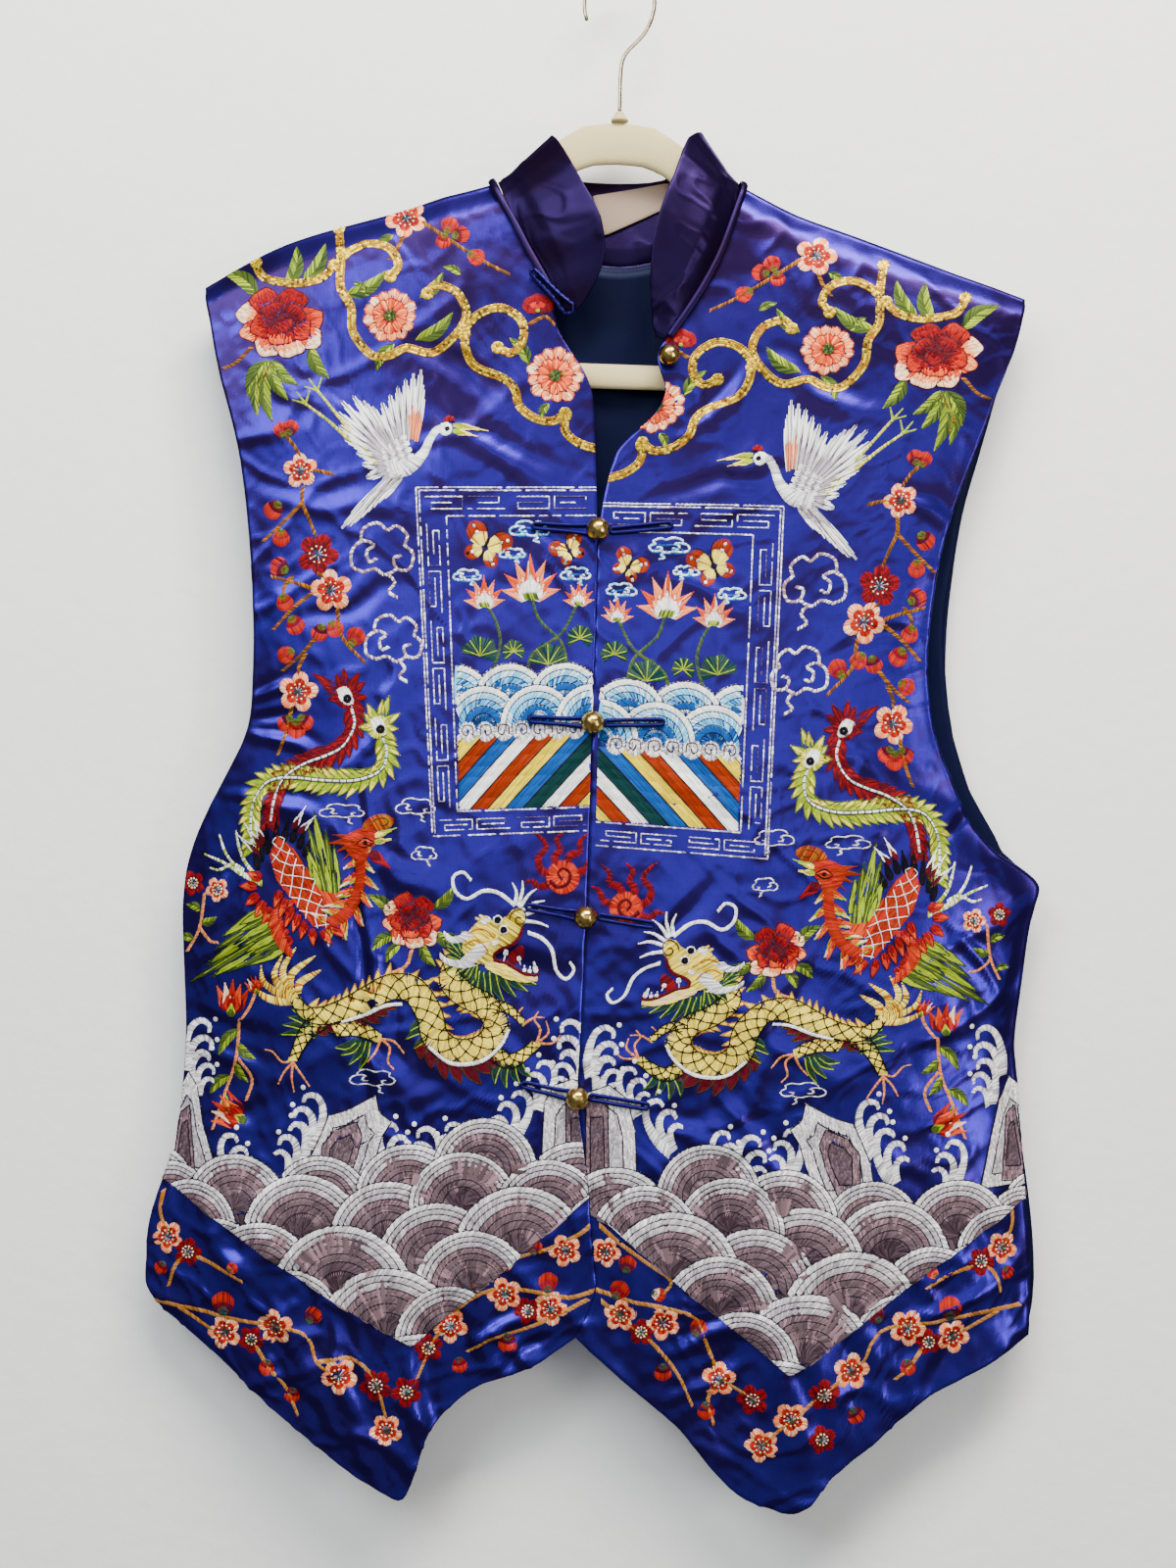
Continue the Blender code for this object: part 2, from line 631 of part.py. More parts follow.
def build_collar():
    """The stiffened stand collar, and the blank label sewn inside its back."""
    rows = refine(COLLAR, GRID_STEPS)
    grid = np.zeros((len(COLLAR_FOLD_AT), len(rows), 3))
    facing = np.zeros_like(grid)
    for k, row in enumerate(rows):
        for level, (share, push) in enumerate(zip(COLLAR_FOLD_AT, COLLAR_FOLD_OUT)):
            facing[level, k] = outward(row)
            grid[level, k] = row[:3] + (row[3:6] - row[:3]) * share
            grid[level, k] += facing[level, k] * row[6] * push
    normal = grid_normals(grid, facing)
    build_label(grid - normal * (COLLAR_WALL + SEAM_GAP))
    return wall_object("collar", grid, grid - normal * COLLAR_WALL, BLUE_SATIN)


def build_label(inside):
    """A small tape laid on the inside of the collar's back."""
    tree = BVHTree.FromPolygons(
        [tuple(p) for p in inside.reshape(-1, 3)],
        [
            (r * inside.shape[1] + c, r * inside.shape[1] + c + 1,
             (r + 1) * inside.shape[1] + c + 1, (r + 1) * inside.shape[1] + c)
            for r in range(inside.shape[0] - 1)
            for c in range(inside.shape[1] - 1)
        ],
    )
    corners = [np.array(corner) for corner in LABEL_CORNERS]
    steps = 5
    outer = np.zeros((3, steps, 3))
    for r in range(3):
        for c in range(steps):
            low = corners[0] + (corners[1] - corners[0]) * c / (steps - 1)
            high = corners[3] + (corners[2] - corners[3]) * c / (steps - 1)
            x, z = low + (high - low) * r / 2
            hit = tree.ray_cast(Vector((x, 5.5, z)), Vector((0, 1, 0)))[0]
            y = hit.y if hit is not None else 12.0
            outer[r, c] = (x, y - 0.4, z)
    inner = outer - DEPTH * LABEL_WALL
    wall_object("neck_label", outer, inner, LABEL_TAPE)


def stands_clear(tree, centre, halves):
    """True when an oval section keeps its clearance from the panels all round."""
    wide, high = halves
    for degrees in range(0, 360, 30):
        angle = math.radians(degrees)
        point = centre + wide * math.cos(angle) + high * math.sin(angle)
        near, normal, _, distance = tree.find_nearest(Vector(point))
        inside = distance < SATIN_WALL / 2 and (Vector(point) - near).dot(normal) < 0
        if distance < PIPING_CLEARANCE or inside:
            return False
    return True


def build_piping(panels):
    """The folded satin piping that covers the collar's seam on the outside."""
    rows = refine(COLLAR, GRID_STEPS)[1:-1]
    tree = BVHTree.FromPolygons(*joined_mesh(panels))
    lift = PIPING_HEIGHT / 2 + SEAM_GAP + PIPING_CLEARANCE
    centres = []
    for row in rows:
        out = outward(row)
        rise = (row[3:6] - row[:3]) / np.linalg.norm(row[3:6] - row[:3])
        seat = row[:3] - rise * PIPING_WIDTH * 0.62
        reached = [-PIPING_HEIGHT]
        for share in (-0.6, -0.3, 0.0, 0.3, 0.6):
            start = seat + rise * PIPING_WIDTH * share + out * PROBE_REACH
            distance = tree.ray_cast(Vector(start), Vector(-out))[3]
            if distance is not None and distance < 2 * PROBE_REACH:
                reached.append(PROBE_REACH - distance)
        centres.append(seat + out * (max(reached) + lift))
    eased = centres[:]
    for k in range(1, len(centres) - 1):
        eased[k] = (centres[k - 1] + 2 * centres[k] + centres[k + 1]) / 4
    ups = []
    for k, row in enumerate(rows):
        line = eased[min(k + 1, len(eased) - 1)] - eased[max(k - 1, 0)]
        wide = np.cross(line, outward(row))
        wide /= np.linalg.norm(wide)
        high = np.cross(wide, line)
        high /= np.linalg.norm(high)
        ups.append((wide * PIPING_WIDTH / 2, high * PIPING_HEIGHT / 2))
    for k in range(1, len(rows)):
        for share in (1.0, 0.75, 0.5, 0.25, 0.0):
            halves = [ups[k - 1][i] * (1 - share) + ups[k][i] * share for i in (0, 1)]
            while not stands_clear(tree, eased[k - 1] * (1 - share) + eased[k] * share, halves):
                eased[k] = eased[k] + outward(rows[k]) * PIPING_STEP
                eased[k - 1] = eased[k - 1] + outward(rows[k - 1]) * PIPING_STEP
    return tube_object("collar_piping", eased, 6, ups, False, BLUE_SATIN)


def cord_loop(tail_at, eye_at, eye, tail):
    """The line of a doubled cord in x, z: a small bend at its tail, a round eye at its end.

    eye and tail are the radii of the two bends, and the cords part towards the eye.
    """
    tail_at, eye_at = np.array(tail_at, float), np.array(eye_at, float)
    reach = np.linalg.norm(eye_at - tail_at)
    line = (eye_at - tail_at) / reach
    square = np.array((-line[1], line[0]))
    path = []
    for angle in np.radians(np.linspace(120, -120, 7)):
        path.append(eye_at + eye * (line * math.cos(angle) + square * math.sin(angle)))
    for side, shares in ((-1, (0.74, 0.56, 0.34, 0.12)), (1, (0.12, 0.34, 0.56, 0.74))):
        for share in shares:
            spread = tail + (eye * 0.86 - tail) * max(0.0, (share - 0.45) / 0.55) ** 1.4
            path.append(tail_at + line * reach * share + square * side * spread)
        if side < 0:
            for angle in np.radians((250, 180, 110)):
                bend = line * math.cos(angle) + square * math.sin(angle)
                path.append(tail_at + tail * bend)
    return path


def laid_cord(name, path, read, stiffness):
    """Lays a looped cord on what is under it, clear by the seam gap. Returns its least y."""
    faces = [read(x, z, CORD / 2) for x, z in path]
    nearest = min(value for value in faces if value is not None)
    faces = np.array([nearest if value is None else value for value in faces])
    for _ in range(stiffness):
        smooth = (np.roll(faces, 1) + faces + np.roll(faces, -1)) / 3
        faces = np.minimum(faces, smooth)
    heights = faces - SEAM_GAP - CORD / 2 - CORD_CLEARANCE
    centres = [np.array((x, y, z)) for (x, z), y in zip(path, heights)]
    ups = round_ups(centres, CORD / 2, True, DEPTH)
    tube_object(name, centres, 5, ups, True, BLUE_SATIN)
    return heights.min() - CORD / 2


def build_ball_button(name, x, z, foot_y, ball_back_y):
    """A round brass button whose shank reaches from the cloth through its cord's eye."""
    radius = BUTTON / 2
    centre = -ball_back_y + radius
    profile = [(SHANK / 2, -foot_y), (SHANK / 2, centre - radius * 0.93)]
    for degrees in (145, 115, 85, 55, 25):
        angle = math.radians(degrees)
        profile.append((radius * math.sin(angle), centre + radius * math.cos(angle)))
    profile.append((radius * 0.08, centre + radius))
    turned_object(name, profile, (x, 0.0, z), (0.0, -1.0, 0.0), 10, OLD_BRASS)


def build_fastenings(read):
    """Four corded fastenings down the centre, each a loop, a knot cord and a ball."""
    for k, (x, z, right_end, left_end, right_tilt, left_tilt) in enumerate(FASTENINGS, 1):
        loop = cord_loop((right_end, z + right_tilt), (x, z), EYE_RADIUS, TAIL_RADIUS)
        front_y = laid_cord(f"frog_loop_{k}", loop, read, 3)
        knot_x = x + EYE_RADIUS + CORD + 2 * SEAM_GAP + TAIL_RADIUS
        knot = cord_loop((left_end, z + left_tilt), (knot_x, z), TAIL_RADIUS, TAIL_RADIUS)
        laid_cord(f"frog_knot_{k}", knot, read, 2)
        foot_y = read(x, z, SHANK / 2) - 2 * SEAM_GAP
        build_ball_button(f"button_{k}", x, z, foot_y, front_y - SEAM_GAP)


def build_collar_fastening(read):
    """The collar's own ball, on its left end, and the open loop on its right end."""
    x, z = COLLAR_BUTTON
    foot_y = read(x, z, SHANK) - 2 * SEAM_GAP
    build_ball_button("button_collar", x, z, foot_y, foot_y - COLLAR_SHANK)
    laid_cord("collar_loop", cord_loop(*COLLAR_LOOP, EYE_RADIUS, TAIL_RADIUS), read, 6)


def build_hanger():
    """The moulded hanger: an arch with two arms that turn in to a level bar."""
    right = refine(HANGER_HALF, 1)
    left = right[1:-1][::-1] * np.array((-1.0, 1.0, 1.0))
    loop = np.vstack((right, left))
    pivot = HANGER_NECK[0][1]
    lean = math.radians(-HANGER_TILT)
    centres = []
    for x, z, _ in loop:
        turned_x = x * math.cos(lean) - (z - pivot) * math.sin(lean)
        turned_z = x * math.sin(lean) + (z - pivot) * math.cos(lean)
        centres.append(np.array((turned_x, 0.0, pivot + turned_z)))
    ups = []
    sides = 8
    grow = 1 / math.cos(math.pi / sides) / 2
    for (side, high), (_, _, width) in zip(round_ups(centres, 1.0, True, DEPTH), loop):
        ups.append((side * width * grow, high * HANGER_THICKNESS * grow))
    tube_object("hanger", centres, sides, ups, True, CREAM_FLOCK)
    turned_object("hanger_neck", HANGER_NECK, (0, 0, 0), (0, 0, 1), 14, CREAM_FLOCK)


def build_hook():
    """The wire hook. Its bend is a true arc whose inside touches the origin."""
    centre_z = WIRE / 2 - HOOK_BEND_RADIUS
    path = [(x, z) for x, z in refine(HOOK_STEM, 2)]
    for degrees in range(-12, 181, 12):
        angle = math.radians(degrees)
        rise = HOOK_BEND_RADIUS * math.sin(angle)
        path.append((HOOK_BEND_RADIUS * math.cos(angle), centre_z + rise))
    path += list(HOOK_TIP)
    centres = [np.array((x, 0.0, z)) for x, z in path]
    ups = round_ups(centres, WIRE / 2, False, DEPTH)
    tube_object("hook", centres, 8, ups, False, GILT_STEEL)


clear_scene()
fronts = build_fronts()
build_back_lining(build_back())
collar = build_collar()
piping = build_piping(fronts + [bpy.data.objects["back"]])
build_fastenings(surface_reader(fronts))
build_collar_fastening(surface_reader(fronts + [collar, piping]))
build_hanger()
build_hook()
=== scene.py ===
"""An embroidered silk vest on its hanger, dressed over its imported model. The vest faces -Y."""

import math

import bmesh
import bpy
import numpy as np
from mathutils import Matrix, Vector
from mathutils.bvhtree import BVHTree


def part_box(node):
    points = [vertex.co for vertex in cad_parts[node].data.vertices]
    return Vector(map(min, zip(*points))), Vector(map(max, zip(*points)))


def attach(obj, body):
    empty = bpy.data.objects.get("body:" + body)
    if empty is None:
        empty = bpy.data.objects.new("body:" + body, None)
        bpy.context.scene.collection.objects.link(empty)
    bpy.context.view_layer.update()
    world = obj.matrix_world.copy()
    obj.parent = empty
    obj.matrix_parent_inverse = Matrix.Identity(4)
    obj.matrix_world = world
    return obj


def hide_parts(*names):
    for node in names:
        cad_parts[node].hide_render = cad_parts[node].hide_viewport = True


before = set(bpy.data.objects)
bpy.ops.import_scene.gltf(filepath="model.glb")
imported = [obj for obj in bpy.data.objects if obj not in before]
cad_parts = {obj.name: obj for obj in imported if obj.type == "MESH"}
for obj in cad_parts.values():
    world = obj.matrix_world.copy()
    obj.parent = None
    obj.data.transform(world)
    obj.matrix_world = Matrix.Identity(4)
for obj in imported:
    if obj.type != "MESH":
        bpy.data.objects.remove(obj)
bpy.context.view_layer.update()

# The satin fronts
# Two lined panels of royal blue silk satin, cut in a deep point at the hem, seamed at the
# shoulders and the sides, their edges turned in. They hang from the hanger in soft creases.
MM = 0.001
# Points that lie nearer than this are one, in metres. All the lengths below are in millimetres
WELD = 0.00002
SATIN_THICKNESS, EDGE_ROUND = 1.0, 0.35
FRONT_SQUARES, FRONT_PUCKER = (118, 319), 0.42
# About how long and wide a panel is, and how far in its cloth is drawn to its edge
PANEL_LONG, PANEL_WIDE, EDGE_PULL = 650.0, 220.0, 16.0
# The face of a panel ends where it bends by more than this
FACE_BEND = math.radians(62)
# The step of the raster that a face's depth is read on, how often it is eased, the empty cells
# round it and how many of them the depth spreads into
RASTER, RASTER_EASE, RASTER_MARGIN, RASTER_SPREAD = 3.0, 5, 4, 12
# The reverse has one point for each third point of the face
REVERSE_STEP = 3
# How strongly plum shade is painted on the slopes of the folds that turn from the light, and how often the
# cloth is eased to find them
FOLD_SHADE, FOLD_EASE = 2.1, 14
# Creases near the hem are fuller than those above
HEM_FROM, HEM_FULLNESS, UPPER_FULLNESS = -690.0, 1.5, 1.15
# Heights, and how much the satin puckers there
PUCKER_AT = ((-760.0, -640.0, -480.0, -160.0), (1.9, 1.0, 0.66, 0.36))
# length, direction, height of each kind of ripple
RIPPLES = ((44.0, 34.0, 3.2), (27.0, -42.0, 2.5), (17.0, 18.0, 1.7), (12.0, -70.0, 1.2), (9.0, 40.0, 0.7))
FRONT_CORNERS = {
    "front_right": ((-258, -760), (-25.6, -772), (-71, -122.5), (-235, -181.5)),
    "front_left": ((231, -774), (-25.1, -771.6), (70, -124.5), (230, -188)),
}
# from_x, from_z, to_x, to_z, width, height. A positive crease is a ridge, a negative one a trough.
FRONT_CREASES = (
    (-205, -225, -150, -262, 6, 1.1), (-130, -205, -60, -250, 7, -1.2), (-190, -300, -110, -318, 6.5, 1),
    (-95, -262, -40, -300, 6, 1.2), (-175, -372, -120, -352, 5, -0.9), (-60, -318, -22, -345, 5, 1),
    (-206, -412, -184, -405, 3, 1), (-206, -425, -182, -421, 3, -1), (-206, -436, -170, -446, 3.5, 1.2),
    (-150, -455, -118, -400, 5, 1.1), (-235, -515, -190, -490, 6, -1.4), (-244, -560, -205, -548, 4.5, 1.2),
    (-244, -590, -190, -604, 5, -1.2), (-240, -615, -198, -622, 4, 1.3), (-150, -498, -96, -520, 7, 1),
    (-88, -560, -34, -572, 6, -1.1), (-60, -610, -30, -640, 5.5, 1.2), (-150, -610, -118, -640, 7, 1.3),
    (-236, -700, -205, -748, 6, 1.6), (-200, -752, -175, -806, 6, -1.8), (-160, -768, -142, -838, 5.5, 1.8),
    (-118, -770, -116, -842, 6, 1.8), (-96, -748, -84, -796, 5, -1.6), (-82, -773, -38, -757, 4, 2),
    (-72, -790, -32, -768, 3.4, -1.6), (88, -232, 150, -262, 7, 1.2), (38, -262, 76, -236, 5, 1.4),
    (30, -300, 92, -286, 5.5, -1.1), (150, -300, 188, -318, 5, 1.2), (24, -345, 84, -372, 6, 1),
    (120, -392, 165, -372, 5, -1), (14, -452, 70, -474, 6, 1.1), (120, -440, 182, -486, 7, 1.4),
    (188, -546, 223, -588, 3.6, 2), (176, -562, 210, -602, 5, -1.3), (100, -560, 60, -604, 6, 1.2),
    (18, -548, 52, -520, 5, -1.2), (22, -650, 70, -668, 6, 1.1), (196, -700, 222, -744, 6, -1.5),
    (178, -748, 160, -806, 7, 1.8), (122, -740, 130, -822, 7, -1.8), (88, -766, 102, -850, 6, 1.6),
    (30, -776, 70, -761, 4, 2), (30, -806, 72, -786, 3.6, 1.5), (4, -742, 6, -786, 5, -1.5),
    (-146, -490, -142, -664, 3.4, -2.4), (-139, -510, -134, -640, 4, 1.4),
    (-236, -652, -196, -640, 4, -1.3), (-120, -668, -70, -700, 6, 1.4), (60, -640, 104, -700, 6, 1.3),
    (-216, -470, -172, -476, 4, 1.4), (196, -470, 160, -500, 4.5, 1.5),
)


def spread_noise(x, z, scale, seed):
    """Soft random hills between -1 and 1, one every scale millimetres."""
    rng = np.random.default_rng(seed)
    table = rng.uniform(-1, 1, (256, 256))
    i, k = np.floor(x / scale).astype(int), np.floor(z / scale).astype(int)
    s, t = x / scale - i, z / scale - k
    s, t = s * s * (3 - 2 * s), t * t * (3 - 2 * t)
    corner = [table[(i + a) % 256, (k + b) % 256] for a in (0, 1) for b in (0, 1)]
    return (corner[0] * (1 - s) + corner[2] * s) * (1 - t) + (corner[1] * (1 - s) + corner[3] * s) * t


def crumple(x, z, scale, degrees, seed):
    """Sharp little ridges that wander over the cloth, longer one way than the other, 0 to 1."""
    angle = math.radians(degrees)
    along, across = x * math.cos(angle) + z * math.sin(angle), z * math.cos(angle) - x * math.sin(angle)
    across = across + 0.25 * scale * spread_noise(along, across, scale * 1.7, seed + 3)
    field = spread_noise(along / 3.4, across, scale, seed)
    field = field + 0.3 * spread_noise(along, across, scale * 0.7, seed + 1)
    shown = np.clip(0.6 + 1.2 * spread_noise(x, z, scale * 2.6, seed + 2), 0, 1)
    return np.clip(1 - np.abs(field) * 4.2, 0, 1) ** 1.3 * shown


def panel_rim(node, facing):
    """The outline of the face of a panel that looks along facing * Y, in order, in millimetres."""
    mesh = bmesh.new()
    mesh.from_mesh(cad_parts[node].data)
    bmesh.ops.remove_doubles(mesh, verts=mesh.verts, dist=WELD)
    left, regions = set(mesh.faces), []
    while left:
        grown = [left.pop()]
        region = set(grown)
        while grown:
            for edge in grown.pop().edges:
                for face in edge.link_faces:
                    if face in left and edge.calc_face_angle(0) < FACE_BEND:
                        left.discard(face)
                        region.add(face)
                        grown.append(face)
        regions.append(region)
    region = max(regions, key=lambda faces: sum(f.normal.y * f.calc_area() for f in faces) * facing)
    after = {}
    for face in region:
        for loop in face.loops:
            if loop.edge.link_faces[0] not in region or loop.edge.link_faces[-1] not in region:
                after[loop.vert] = loop.link_loop_next.vert
    start = next(iter(after))
    rim, vert = [start], after[start]
    while vert != start:
        rim.append(vert)
        vert = after[vert]
    points = np.array([tuple(v.co) for v in rim]) / MM
    mesh.free()
    return points


def even_line(points, count):
    """Points spread evenly along a line, after one round of smoothing between them."""
    points = np.asarray(points, float)
    ends = np.vstack((2 * points[0] - points[1], points, 2 * points[-1] - points[-2]))
    fine = []
    for k in range(1, len(ends) - 2):
        a, b, c, d = ends[k - 1: k + 3]
        for t in (0.0, 0.25, 0.5, 0.75):
            bend = (2 * a - 5 * b + 4 * c - d) * t * t + (3 * b - a - 3 * c + d) * t**3
            fine.append(b + ((c - a) * t + bend) / 2)
    fine = np.array(fine + [points[-1]])
    run = np.concatenate(([0], np.cumsum(np.linalg.norm(np.diff(fine, axis=0), axis=1))))
    at = np.linspace(0, run[-1], count)
    return np.stack([np.interp(at, run, fine[:, i]) for i in range(fine.shape[1])], axis=1)


def blur(field):
    """Averages each cell of a raster with its neighbours."""
    for axis in (0, 1):
        padded = np.concatenate((field.take([0], axis), field, field.take([-1], axis)), axis)
        count = field.shape[axis]
        field = (padded.take(range(count), axis) + 2 * field + padded.take(range(2, count + 2), axis)) / 4
    return field


class Height:
    """The depth of a face at any place in its plane, in millimetres, read from a raster."""

    def __init__(self, tree, low, high, facing, step, ease):
        self.low, self.step = np.array(low) - RASTER_MARGIN * step, step
        counts = np.ceil((np.array(high) + RASTER_MARGIN * step - self.low) / step).astype(int)
        depth, mask = np.zeros(counts), np.zeros(counts)
        for i in range(counts[0]):
            for k in range(counts[1]):
                x, z = self.low + np.array((i, k)) * step
                start = Vector((x * MM, facing * 0.2, z * MM))
                hit = tree.ray_cast(start, Vector((0, -facing, 0)))[0]
                if hit is not None:
                    depth[i, k], mask[i, k] = hit.y / MM, 1
        depth *= mask
        for _ in range(ease):
            depth, mask = blur(depth), blur(mask)
        known = mask > 0.002
        depth[known] /= mask[known]
        for _ in range(RASTER_SPREAD):
            share = blur(known.astype(float))
            grown = blur(np.where(known, depth, 0)) / np.maximum(share, 1e-9)
            depth = np.where(known, depth, grown)
            known = known | (share > 0)
        self.depth = depth

    def __call__(self, x, z):
        s = np.clip((np.asarray(x) - self.low[0]) / self.step, 0, self.depth.shape[0] - 1.001)
        t = np.clip((np.asarray(z) - self.low[1]) / self.step, 0, self.depth.shape[1] - 1.001)
        i, k = s.astype(int), t.astype(int)
        s, t = s - i, t - k
        d = self.depth
        near = d[i, k] * (1 - s) + d[i + 1, k] * s
        far = d[i, k + 1] * (1 - s) + d[i + 1, k + 1] * s
        return near * (1 - t) + far * t


def crease_depth(x, z, creases):
    """What the creases add: uneven ridges that wander and die out, each with a soft trough."""
    total = np.zeros_like(x)
    for k, (x0, z0, x1, z1, width, height) in enumerate(creases):
        height = height * (HEM_FULLNESS if z0 < HEM_FROM else UPPER_FULLNESS)
        run = np.array((x1 - x0, z1 - z0))
        length = np.hypot(*run)
        along = ((x - x0) * run[0] + (z - z0) * run[1]) / length
        across = (-(x - x0) * run[1] + (z - z0) * run[0]) / length
        across = across + width * 0.9 * spread_noise(along, along * 0, 24.0, 40 + k)
        share = np.clip(along / length, -0.3, 1.3)
        fade = np.clip(np.sin(np.pi * (share + 0.3) / 1.6), 0, 1) ** 1.6
        grown = width * (0.75 + 0.5 * share)
        ridge = np.exp(-((across / grown) ** 2)) - 0.45 * np.exp(-(((across - 1.5 * grown) / grown) ** 2))
        total += height * fade * ridge
    return total


def search_tree(mesh):
    """A search tree of a mesh's faces."""
    return BVHTree.FromPolygons([v.co[:] for v in mesh.vertices], [p.vertices[:] for p in mesh.polygons])


def cloth_face(node, corners, facing, columns, rows, creases, pucker, deepest=-6.0):
    """A fine grid of points over a panel's face: its outline, its depth, and its own creases."""
    rim = panel_rim(node, facing)
    at = [int(np.argmin(np.hypot(rim[:, 0] - x, rim[:, 2] - z))) for x, z in corners]

    def side(start, end, count):
        step = 1 if (end - start) % len(rim) < (start - end) % len(rim) else -1
        line = [rim[start]]
        while start != end:
            start = (start + step) % len(rim)
            line.append(rim[start])
        return even_line(line, count)

    low, high = side(at[0], at[1], columns), side(at[3], at[2], columns)
    outer, inner = side(at[0], at[3], rows), side(at[1], at[2], rows)
    u = np.linspace(0, 1, columns)[None, :, None]
    v = np.linspace(0, 1, rows)[:, None, None]
    ruled = (1 - v) * low[None] + v * high[None] + (1 - u) * outer[:, None] + u * inner[:, None]
    ends = (1 - u) * (1 - v) * low[0] + u * (1 - v) * low[-1] + (1 - u) * v * high[0] + u * v * high[-1]
    grid = ruled - ends
    x, z = grid[..., 0], grid[..., 2]
    spot = ((x.min(), z.min()), (x.max(), z.max()))
    read = Height(search_tree(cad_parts[node].data), *spot, facing, RASTER, RASTER_EASE)
    depth = read(x, z)
    steps = {0: np.arange(rows)[:, None], 1: np.arange(columns)[None, :]}
    spacing = {0: PANEL_LONG / rows, 1: PANEL_WIDE / columns}
    for axis, index, line in ((0, 0, low), (0, -1, high), (1, 0, outer), (1, -1, inner)):
        off = line[:, 1] - read(line[:, 0], line[:, 2])
        reach = steps[axis] if index == 0 else steps[axis].max() - steps[axis]
        hold = np.clip(1 - reach * spacing[axis] / EDGE_PULL, 0, 1)
        hold = hold * hold * (3 - 2 * hold)
        if axis == 1:
            corner = np.minimum(np.arange(rows), np.arange(rows)[::-1]) * spacing[0] / EDGE_PULL
            off = off * np.clip(corner, 0, 1)
        depth = depth + hold * (off[None, :] if axis == 0 else off[:, None])
    settle = np.clip((np.abs(depth) - 0.8) / 4.5, 0, 1)
    drape = crease_depth(x, z, creases)
    pucker = pucker * np.interp(z, *PUCKER_AT)
    drape = drape + pucker * spread_noise(x + 9, z, 15.0, 5) * (0.6 + 0.5 * spread_noise(x, z, 60.0, 6))
    drape = drape + 0.5 * pucker * spread_noise(x * 1.3 + z * 0.4, z, 7.0, 7)
    for scale, degrees, height in RIPPLES:
        drape = drape + height * pucker * crumple(x, z, scale, degrees, int(scale))
    drape = np.maximum(drape, deepest)
    away = [np.minimum(steps[axis], steps[axis].max() - steps[axis]) * spacing[axis] for axis in (0, 1)]
    loose = np.clip(np.minimum(*away) / 10.0, 0.1, 1)
    grid[..., 1] = depth + facing * np.where(drape > 0, np.maximum(settle, loose * 0.9), settle) * drape
    return grid


def grid_normals(grid, facing):
    """The direction that each point of a grid faces."""
    normal = np.cross(np.gradient(grid, axis=1), np.gradient(grid, axis=0))
    normal /= np.linalg.norm(normal, axis=2, keepdims=True)
    return normal * np.where(normal[..., 1:2] * facing < 0, -1, 1)


def add_piece(name, points, faces, materials, slots=None, smooth=True):
    """Makes one mesh piece from points in millimetres."""
    mesh = bpy.data.meshes.new(name)
    mesh.from_pydata((np.asarray(points, float) * MM).tolist(), [], faces)
    for material in materials:
        mesh.materials.append(material)
    if slots is not None:
        mesh.polygons.foreach_set("material_index", np.asarray(slots, np.int32))
    if smooth:
        mesh.shade_smooth()
    made = bpy.data.objects.new(name, mesh)
    bpy.context.scene.collection.objects.link(made)
    return made


